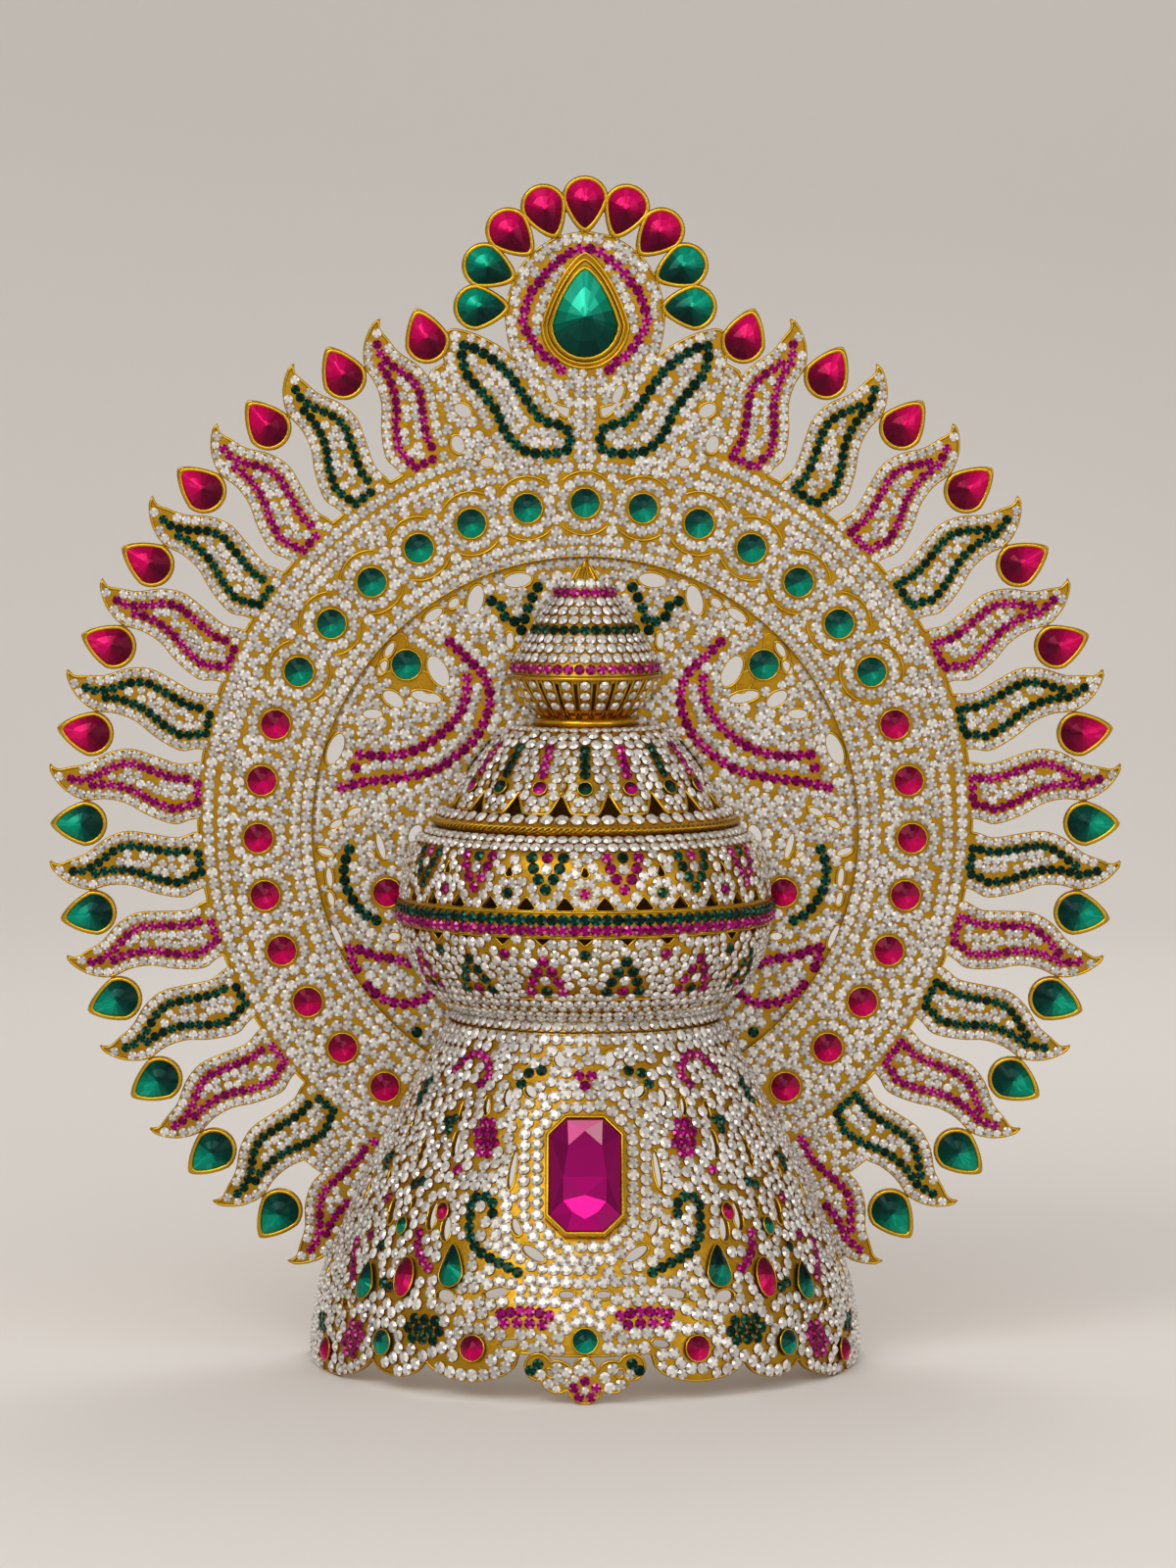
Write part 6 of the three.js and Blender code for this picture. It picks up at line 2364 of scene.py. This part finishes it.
@dataclass
class Pot:
    """The round pot above the skirt, from its neck to its shoulder.

    Attributes:
        profile: Heights and outside radii.
        wall: Thickness.
        reach: Radius at which its own sideways coordinate is true to size.
        lines: Heights of the plain wires.
        windows: Shift, step, half width, foot and tip of each ring of three-cornered windows.
        eyes: Half width, foot and tip of the windows inside the upper motifs.
        last_window: Windows begin within this many degrees.
        stone_radii: Largest and smallest radius of its clear stones.
        clear_rows: Heights of the plain clear rows.
        band: Height and colour of the rows round its widest part.
        band_pitch: Spacing of their stones.
        upper_step: Degrees between the upper motifs.
        lower_step: Degrees between the lower ones.
        rosettes: Step and height of each ring of rosettes.
        rosette: Radius of a rosette's middle stone, and width, spacing and stone radius of its ring.
        upper_motif: Angle, z and role of each stone of the V motifs.
        lower_motif: The same for the pointed ones below.
    """

    profile: tuple[Row, ...] = (
        (95.3, 37.4), (98.4, 36.3), (101.6, 40.6), (107.0, 45.5), (113.0, 49.0), (118.4, 50.7),
        (122.5, 51.2), (123.2, 52.2), (129.2, 52.2), (130.0, 51.3), (135.6, 50.6), (140.2, 49.8),
        (145.4, 47.2), (149.3, 42.4))
    wall: float = 1.4
    reach: float = 50.0
    lines: Row = (122.6, 129.4, 105.0, 98.6)
    windows: tuple[Row, ...] = ((0.5, 12.2, 3.4, 129.9, 133.6), (0.0, 13.0, 3.2, 122.9, 120.2))
    eyes: Row = (1.6, 138.8, 142.2)
    last_window: float = 84.0
    stone_radii: Row = (1.56, 1.12)
    clear_rows: Row = (96.6, 100.6, 103.8, 106.0, 120.6, 148.3, 146.4)
    band: tuple[tuple[float, Tint], ...] = ((127.4, Tint.FOREST), (124.6, Tint.MAGENTA))
    band_pitch: float = 2.95
    upper_step: float = 24.4
    lower_step: float = 26.0
    rosettes: tuple[Row, ...] = ((24.4, 134.4), (25.7, 117.8))
    rosette: Row = (1.5, 6.3, 2.85, 1.46)
    upper_motif: tuple[tuple[float, float, str], ...] = (
        (-5.2, 143.9, "main"), (5.2, 143.9, "main"), (0.0, 143.9, "accent"), (-4.2, 141.1, "main"),
        (4.2, 141.1, "main"), (-2.4, 138.3, "main"), (2.4, 138.3, "main"), (0.0, 135.5, "main"),
        (0.0, 140.9, "clear"))
    lower_motif: tuple[tuple[float, float, str], ...] = (
        (0.0, 115.8, "main"), (-2.4, 113.0, "main"), (2.4, 113.0, "main"), (-4.3, 110.2, "main"),
        (4.3, 110.2, "main"), (-5.6, 107.4, "main"), (0.0, 107.5, "accent"), (5.6, 107.4, "main"),
        (0.0, 110.6, "clear"))

    def surface(self) -> RoundWall:
        """Returns the pot's wall."""
        return RoundWall(self.profile, PLANES.body, self.reach)

    def build(self, shop: Workshop) -> None:
        """Makes the pot and its stones.

        Args:
            shop: The workshop.
        """
        wall = self.surface()
        metal = Field((-84.0, 90.0), (84.0, 155.0), 0.9)
        low, high = self.profile[0][0], self.profile[-1][0]
        metal.add([wall.flat([(-90.0, low), (90.0, low), (90.0, high), (-90.0, high)])])
        scale = DEG * self.reach
        triangles = []
        for index in range(-6, 7):
            for shift, step, half, foot, tip in self.windows:
                middle = (index + shift) * step
                triangles.append([(middle - half, foot), (middle + half, foot), (middle, tip)])
        half, foot, tip = self.eyes
        for middle in (index * self.upper_step for index in range(-3, 4)):
            triangles.append([(middle - half, foot), (middle + half, foot), (middle, tip)])
        ground = metal.copy()
        outlines = [np.array(shape) * (scale, 1) for shape in triangles
                    if abs(shape[0][0]) < self.last_window]
        metal.cut(outlines)
        ground.cut(outlines)
        shop.cast("pot_shell", Slot.BODY, shell(metal, wall, self.wall),
                  "neck_collar", "bowl_lower", "bowl_upper", smooth_below=40.0)
        shop.edge_wire("pot_edge_wire", wall, metal, 0.35, 0.2, shop.OPENING)
        lines = [(lifted(wall, level(wall, z, 89.6), 0.1), False) for z in self.lines]
        shop.wires.draw("pot_bands", lines, 0.36)
        paver = Paver(wall, ground, *self.stone_radii)
        self._set_small(paver, wall)
        shop.set_stones("pot_stones", paver)

    def _motif(self, paver: Paver, wall: RoundWall, rows: tuple[tuple[float, float, str], ...],
               middle: float, main: Tint, accent: Tint) -> None:
        """Sets one motif's stones round a middle angle.

        Args:
            paver: The pot's paver.
            wall: The pot's wall.
            rows: Angle, z and role of each stone.
            middle: Angle of the motif's middle.
            main: Colour of its main stones.
            accent: Colour of its single stone.
        """
        tints = {"main": main, "accent": accent, "clear": Tint.CLEAR}
        for angle, z, role in rows:
            spot = wall.flat([(middle + angle, z)])[0]
            paver.put(spot, tints[role], paver.CLEAR_RADIUS, paver.FORCED)

    def _rosette(self, paver: Paver, wall: RoundWall, angle: float, z: float, tint: Tint) -> None:
        """Sets a coloured stone with seven clear ones round it.

        Args:
            paver: The pot's paver.
            wall: The pot's wall.
            angle: Angle of its middle.
            z: Height of its middle.
            tint: Colour of its middle stone.
        """
        inner, width, pitch, outer = self.rosette
        centre = wall.flat([(angle, z)])[0]
        paver.put(centre, tint, inner, paver.SNUG)
        ring = oval((0.0, 0.0), width, width, 12.0, 28) * (self.reach / wall.radius(z), 1) + centre
        paver.row(ring, closed=True, pitch=pitch, radius=outer)

    def _set_small(self, paver: Paver, wall: RoundWall) -> None:
        """Sets the pot's small stones.

        Args:
            paver: The pot's paver.
            wall: The pot's wall.
        """
        for z, tint in self.band:
            paver.row(level(wall, z), tint, False, self.band_pitch)
        colours = (Tint.FOREST, Tint.MAGENTA)
        for index in range(6):
            here, other = colours[index % 2], colours[1 - index % 2]
            middle = (index - 2.5) * self.upper_step
            self._motif(paver, wall, self.upper_motif, middle, here, other)
            middle = (index - 2.5) * self.lower_step
            self._motif(paver, wall, self.lower_motif, middle, other, here)
        for index in range(-2, 3):
            here = colours[(index + 1) % 2]
            for (step, z), tint in zip(self.rosettes, (here, colours[index % 2])):
                self._rosette(paver, wall, index * step, z, tint)
        for z in self.clear_rows:
            paver.row(level(wall, z), inside=paver.OVERHUNG)


@dataclass
class Tower:
    """The brim, petal dome, bulb, cone and tip that rise from the pot.

    Attributes:
        brim: Heights and outside radii of the brim.
        dome: The same for the petal dome.
        bulb: The same for the bulb.
        cone: The same for the cone.
        tip: The same for the tip.
        wall: Thickness.
        bore: Least radius inside the narrowest wall.
        petal: Degrees that a petal takes.
        petal_swell: How far a petal's middle stands out.
        petal_fade: Height where the petals end, and over how much they fade.
        petal_stone: Radius and height of the round stone on a petal.
        notch: Right half of the notch between petals, from its foot up.
        lip: Half width, height, rise and spacing of the row along a petal's end.
        columns: Shift, from, to, points, spacing and whether coloured, for each column of a petal.
        dome_row: Height, radius and spacing of the row round the dome's top.
        rib: Degrees between the bulb's ribs.
        rope_z: Height of the brim's twisted rope.
        rope_pitch: Length of one twist.
        rope: How far its strands sway, stand off and swing, and their radius.
        brim_row: Height, radius and spacing of the brim's stones.
        slot: Right half of the slot between ribs, from its foot up.
        rib_wires: Degrees between a rib's middle and its wires, and the heights they run from and to.
        rib_stones: Heights of the stones on a rib.
        rib_stone: Their radius, and the share of the full clearance that they keep.
        rings: Heights of the bulb's two plain rings.
        foot: Height, lift and radius of the ring that the bulb stands on.
        brim_overhang: How far stones may stand over the edge of a narrow tier.
        tip_petal: Heights of a tip petal's foot, middle and end.
        cone_stones: Degrees that a row of the cone reaches sideways, its spacing and its radius.
        cone_rows: Height and colour of each of the cone's rows.
    """

    brim: tuple[Row, ...] = ((149.6, 42.0), (150.6, 43.0), (151.8, 42.0), (152.6, 40.6), (154.2, 38.8))
    dome: tuple[Row, ...] = (
        (154.5, 37.6), (159.4, 35.0), (166.5, 30.7), (173.4, 25.4), (176.4, 21.4), (177.4, 15.0))
    bulb: tuple[Row, ...] = (
        (177.7, 12.6), (179.6, 11.8), (182.2, 14.6), (187.0, 18.2), (190.4, 20.2), (191.6, 21.0))
    cone: tuple[Row, ...] = (
        (191.9, 20.6), (195.2, 19.6), (199.4, 17.2), (203.4, 14.8), (206.0, 13.4), (209.4, 10.8),
        (212.8, 8.6), (217.0, 6.8))
    tip: tuple[Row, ...] = ((217.05, 6.4), (217.4, 4.3), (219.4, 3.0), (221.2, 1.8), (223.4, 0.7))
    wall: float = 1.2
    bore: float = 0.3
    petal: float = 21.0
    petal_swell: float = 1.1
    petal_fade: Row = (177.0, 14.0)
    petal_stone: Row = (1.9, 161.6)
    notch: tuple[Row, ...] = ((6.4, 153.0), (3.4, 155.8), (1.3, 158.4), (0.0, 160.4))
    lip: Row = (6.8, 158.0, 1.8, 2.9)
    columns: tuple[tuple[float, float, float, int, float, bool], ...] = (
        (0.0, 165.4, 172.0, 4, 2.75, True), (-1 / 3, 162.0, 176.4, 12, 2.8, False),
        (1 / 3, 162.0, 176.4, 12, 2.8, False), (0.0, 174.2, 176.6, 2, 2.8, False))
    dome_row: Row = (176.6, 1.5, 2.9)
    rib: float = 15.5
    rope_z: float = 151.2
    rope_pitch: float = 3.4
    rope: Row = (0.4, 0.2, 0.32, 0.3)
    brim_row: Row = (153.4, 1.85, 4.2)
    slot: tuple[Row, ...] = ((1.8, 182.0), (2.8, 188.4), (0.0, 190.2))
    rib_wires: Row = (1.7, 179.4, 191.2)
    rib_stones: Row = (189.4, 186.4, 183.5)
    rib_stone: Row = (1.45, 0.7)
    rings: Row = (191.3, 179.2)
    foot: Row = (177.9, 1.0, 1.3)
    brim_overhang: float = 1.4
    tip_petal: Row = (217.6, 219.4, 221.4)
    cone_stones: Row = (84.0, 3.05, 1.5)
    cone_rows: tuple[tuple[float, Tint], ...] = (
        (193.7, Tint.MAGENTA), (196.6, Tint.CLEAR), (199.3, Tint.CLEAR), (201.8, Tint.CLEAR),
        (204.3, Tint.FOREST), (206.9, Tint.CLEAR), (209.4, Tint.CLEAR), (211.9, Tint.CLEAR),
        (214.4, Tint.MAGENTA), (217.0, Tint.CLEAR))

    def _shell(self, shop: Workshop, name: str, wall: RoundWall, slot: Slot, node: str,
               notches: Iterable[np.ndarray] = (), step: float = 0.8) -> Field:
        """Makes one tier's half-round wall.

        Args:
            shop: The workshop.
            name: Name of the piece.
            wall: Outside of the wall.
            slot: Which gilding it has.
            node: CAD node that it stands for.
            notches: Outlines cut out of it.
            step: Spacing of its grid.

        Returns:
            The wall's outline.
        """
        low, high = wall.profile[0][0], wall.profile[-1][0]
        half = math.pi / 2 * wall.reach
        metal = Field((-half - 4 * step, low - 4 * step), (half + 4 * step, high + 4 * step), step)
        metal.add([np.array([(-half, low), (half, low), (half, high), (-half, high)])])
        metal.cut(notches)
        shape = shell(metal, wall, min(self.wall, wall.profile[-1][1] - self.bore))
        shop.cast(name, slot, shape, node, smooth_below=50.0)
        return metal

    def petal_relief(self, angle: np.ndarray, z: np.ndarray) -> np.ndarray:
        """Returns the swelling of the dome's petals.

        Args:
            angle: Degrees from the front.
            z: Heights.

        Returns:
            How far the wall stands out, in millimetres.
        """
        across = (angle + self.petal / 2) % self.petal / (self.petal / 2) - 1
        top, reach = self.petal_fade
        fade = np.clip((top - z) / reach, 0, 1)
        return self.petal_swell * (np.sqrt(np.clip(1 - across**2, 0, 1)) - 0.5) * fade

    def build(self, shop: Workshop) -> None:
        """Makes all the tiers.

        Args:
            shop: The workshop.
        """
        self._make_brim(shop)
        self._make_dome(shop)
        self._make_bulb(shop)
        self._make_cone(shop)

    def _make_brim(self, shop: Workshop) -> None:
        """Makes the brim, its twisted rope and its row of larger stones.

        Args:
            shop: The workshop.
        """
        wall = RoundWall(self.brim, PLANES.body, 42.0)
        ground = self._shell(shop, "brim_shell", wall, Slot.TRIM, "brim_ring", step=0.5)
        ground.values -= self.brim_overhang
        turns = int(math.pi * wall.reach / self.rope_pitch) * 2
        angles = np.linspace(-89.5, 89.5, turns * 4)
        phase = np.linspace(0, turns * math.pi, turns * 4)
        strands = []
        sway, lift, swing, thick = self.rope
        for shift in (0.0, math.pi):
            path = wall.flat(np.stack([angles, self.rope_z + sway * np.sin(phase + shift)], 1))
            off = (lift + swing * np.cos(phase + shift))[:, None] * normals(wall, path)
            strands.append((wall.place(path) + off, False))
        shop.wires.draw("brim_rope", strands, thick)
        paver = Paver(wall, ground)
        z, radius, pitch = self.brim_row
        paver.row(level(wall, z), pitch=pitch, radius=radius)
        shop.setter.set("brim_stones", [paver])

    def _make_dome(self, shop: Workshop) -> None:
        """Makes the dome of petals.

        Args:
            shop: The workshop.
        """
        wall = RoundWall(self.dome, PLANES.body, 32.0, self.petal_relief)
        right = np.array(self.notch)
        notches = []
        for index in range(-4, 4):
            outline = np.vstack([right, mirrored(right)[1:]])
            notches.append(wall.flat(outline + ((index + 0.5) * self.petal, 0.0)))
        metal = self._shell(shop, "dome_shell", wall, Slot.BODY, "petal_dome", notches, 0.7)
        shop.edge_wire("dome_edge_wire", wall, metal, 0.65)
        paver = Paver(wall, metal)
        ovals = Jeweller("dome_ovals")
        for index in range(-4, 5):
            middle = index * self.petal
            tint = Tint.MAGENTA if index % 2 else Tint.FOREST
            if abs(middle) < 80:
                spot = wall.flat([(middle, self.petal_stone[1])])
                paver.reserve(spot, self.petal_stone[0] + 0.2)
                cut = rivoli(self.petal_stone[0], 1.5, 10)
                ovals.set(cut, Seat.on(wall, tuple(spot[0]), lift=0.1), tint, 0.2, 0.5)
            half, z, rise, pitch = self.lip
            lip = [(middle + turn, z + (turn / half) ** 2 * rise) for turn in np.linspace(-half, half, 9)]
            paver.row(wall.flat(lip), pitch=pitch)
            for shift, low, high, points, pitch, coloured in self.columns:
                path = [(middle + shift * self.petal, z) for z in np.linspace(low, high, points)]
                paver.row(wall.flat(path), tint if coloured else Tint.CLEAR, pitch=pitch)
        z, radius, pitch = self.dome_row
        paver.row(level(wall, z), pitch=pitch, radius=radius, inside=paver.OVERHUNG)
        ovals.make(shop, 0.3, {})
        shop.set_stones("dome_stones", paver, edged=False)

    def _make_bulb(self, shop: Workshop) -> None:
        """Makes the ribbed bulb.

        Args:
            shop: The workshop.
        """
        wall = RoundWall(self.bulb, PLANES.body, 18.0)
        right = np.array(self.slot)
        slots = [wall.flat(np.vstack([right, mirrored(right)[1:]]) + (middle, 0.0))
                 for middle in (np.arange(-6, 6) + 0.5) * self.rib]
        metal = self._shell(shop, "bulb_shell", wall, Slot.TRIM, "bulb", slots, 0.4)
        paver = Paver(wall, metal)
        ribs = []
        for index in range(-6, 7):
            if abs(index * self.rib) < 88:
                half, low, high = self.rib_wires
                rib = wall.flat([(index * self.rib, z) for z in np.linspace(low, high, 12)])
                ribs += [(lifted(wall, rib + (side, 0), 0.1), False) for side in (-half, half)]
                for z in self.rib_stones:
                    paver.put(wall.flat([(index * self.rib, z)])[0], Tint.CLEAR, *self.rib_stone)
        rings = [(lifted(wall, level(wall, z, 89.0), 0.2), False) for z in self.rings]
        shop.wires.draw("bulb_ribs", ribs, 0.42)
        shop.wires.draw("bulb_rings", rings, 0.7)
        z, lift, radius = self.foot
        shop.wires.draw("bulb_foot", [(lifted(wall, level(wall, z, 89.0), lift), False)], radius, sides=10)
        shop.setter.set("bulb_stones", [paver])

    def _make_cone(self, shop: Workshop) -> None:
        """Makes the cone of rows and the plain tip above it.

        Args:
            shop: The workshop.
        """
        wall = RoundWall(self.cone, PLANES.body, 15.0)
        metal = self._shell(shop, "cone_shell", wall, Slot.BODY, "tier_cone", step=0.6)
        metal.values -= self.brim_overhang
        paver = Paver(wall, metal)
        half, pitch, radius = self.cone_stones
        for z, tint in self.cone_rows:
            paver.row(level(wall, z, half), tint, False, pitch, radius)
        shop.setter.set("cone_stones", [paver])
        tip = RoundWall(self.tip, PLANES.body, 4.0)
        self._shell(shop, "tip_shell", tip, Slot.TRIM, "finial_tip", step=0.35)
        petals = []
        low, middle, high = self.tip_petal
        for angle in np.arange(-75.0, 76.0, 30.0):
            path = tip.flat([(angle, low), (angle, middle), (angle * 0.9, high)])
            petals.append((lifted(tip, path, 0.1), False))
        rim = [(lifted(tip, level(tip, low, 88.0), 0.3), False)]
        shop.wires.draw("tip_petals", petals + rim, 0.45)


# ---------------------------------------------------------------- studio
@dataclass
class Studio:
    """Floor, lights, backdrop tone and camera.

    Attributes:
        eye: The camera's place, in millimetres from the plate's front: across, before it, up.
        aim: Height on the plate that the camera looks at.
        focal: Focal length for a frame of the given height.
        film: Height of that frame.
        tone: Linear colour of the paper floor.
        floor_half: Half the floor's width.
        floor_front: Y of its front edge.
        wall_y: Y of the wall.
        wall_top: Height of the wall.
        sweep: Radius of the curve between them.
        lamps: Name, place, size, power and colour of each lamp.
    """

    eye: Row = (0.8, -1500.0, 265.0)
    aim: float = 160.9
    focal: float = 123.55
    film: float = 36.0
    tone: Row = (0.80, 0.765, 0.73)
    floor_half: float = 6000.0
    floor_front: float = -4000.0
    wall_y: float = 2200.0
    wall_top: float = 5000.0
    sweep: float = 900.0
    lamps: tuple[tuple[str, Row, float, float, Row], ...] = (
        ("key", (-0.9, -1.5, 1.35), 1.1, 14.0, (1.0, 0.98, 0.95)),
        ("fill", (1.3, -1.3, 0.7), 1.3, 6.0, (1.0, 0.97, 0.93)),
        ("front", (0.1, -1.9, 0.95), 0.9, 7.0, (1.0, 0.98, 0.96)),
        ("back", (0.2, 1.1, 1.3), 1.0, 6.0, (1.0, 0.99, 0.98)))

    def build(self) -> None:
        """Makes everything that isn't the crown."""
        self._make_floor()
        self._make_lights()
        self._make_camera()
        scene = bpy.context.scene
        scene.view_settings.view_transform = "Standard"
        world = bpy.data.worlds.new("studio")
        world.use_nodes = True
        shade = world.node_tree.nodes["Background"]
        shade.inputs["Color"].default_value = (1.0, 0.97, 0.94, 1.0)
        shade.inputs["Strength"].default_value = 0.5
        scene.world = world

    def _make_floor(self) -> None:
        """Makes a floor that sweeps up into a wall."""
        profile = [(self.floor_front, 0.0)]
        for turn in np.linspace(0, 90, 24):
            profile.append((self.wall_y - self.sweep + self.sweep * math.sin(turn * DEG),
                            self.sweep * (1 - math.cos(turn * DEG))))
        profile.append((self.wall_y, self.wall_top))
        points = np.array([(side * self.floor_half, y, z) for y, z in profile for side in (-1, 1)])
        faces = [[2 * row, 2 * row + 1, 2 * row + 3, 2 * row + 2] for row in range(len(profile) - 1)]
        paper = FinishTree("paper")
        low = tuple(value * 0.97 for value in self.tone)
        colour = paper.ramp(paper.noise(1.5), [(0.3, low), (0.7, self.tone)])
        paper.fill(paper.shader, {"Base Color": colour, "Roughness": 0.9})
        heap = Casting()
        heap.add(points, faces)
        heap.build("studio_floor", paper.material, 60.0)

    def _make_lights(self) -> None:
        """Makes the soft lights, each aimed at the crown's middle."""
        middle = Vector((0.0, 0.03, 0.16))
        for name, spot, size, power, colour in self.lamps:
            lamp = bpy.data.lights.new(name, "AREA")
            lamp.size, lamp.energy, lamp.color = size, power, colour
            light = placed(name, lamp)
            light.location = spot
            light.rotation_euler = (middle - light.location).to_track_quat("-Z", "Y").to_euler()

    def _make_camera(self) -> None:
        """Makes the camera."""
        lens = bpy.data.cameras.new("camera")
        lens.sensor_fit, lens.sensor_height, lens.lens = "VERTICAL", self.film, self.focal
        camera = placed("camera", lens)
        across, before, up = self.eye
        camera.location = Vector((across, PLANES.plate + before, up)) * MM
        aim = Vector((across, PLANES.plate, self.aim)) * MM
        camera.rotation_euler = (aim - camera.location).to_track_quat("-Z", "Y").to_euler()
        bpy.context.scene.camera = camera


def silhouette(walls: Iterable[RoundWall], low: float, inset: float) -> np.ndarray:
    """Returns the outline of the body as it stands before the panel.

    Args:
        walls: The body's walls from the bottom up.
        low: Height at which the outline begins.
        inset: How far inside the body it runs.

    Returns:
        The outline.
    """
    rows = [(radius - inset, z) for wall in walls for z, radius in wall.profile
            if z >= low and radius > inset]
    right = np.array(rows)
    return np.vstack([right, mirrored(right)])


def main() -> None:
    """Builds the crown and its studio, and reports each piece."""
    logging.basicConfig(level=logging.INFO, format="%(name)s %(message)s")
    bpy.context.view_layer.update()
    finishes = Finishes()
    shop = Workshop(finishes, StoneSetter(finishes), WireWorker(finishes))
    Studio().build()
    skirt, pot, tower = Skirt(), Pot(), Tower()
    arch = skirt.arch()
    walls = [RoundWall(profile, PLANES.body, 1.0) for profile in (
        pot.profile, tower.brim, tower.dome, tower.bulb, tower.cone, tower.tip)]
    Halo().build(shop, arch)
    ScrollPanel().build(shop, arch, silhouette(walls, 84.0, 2.5))
    skirt.build(shop)
    pot.build(shop)
    tower.build(shop)
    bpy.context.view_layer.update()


if __name__ == "__main__":
    main()
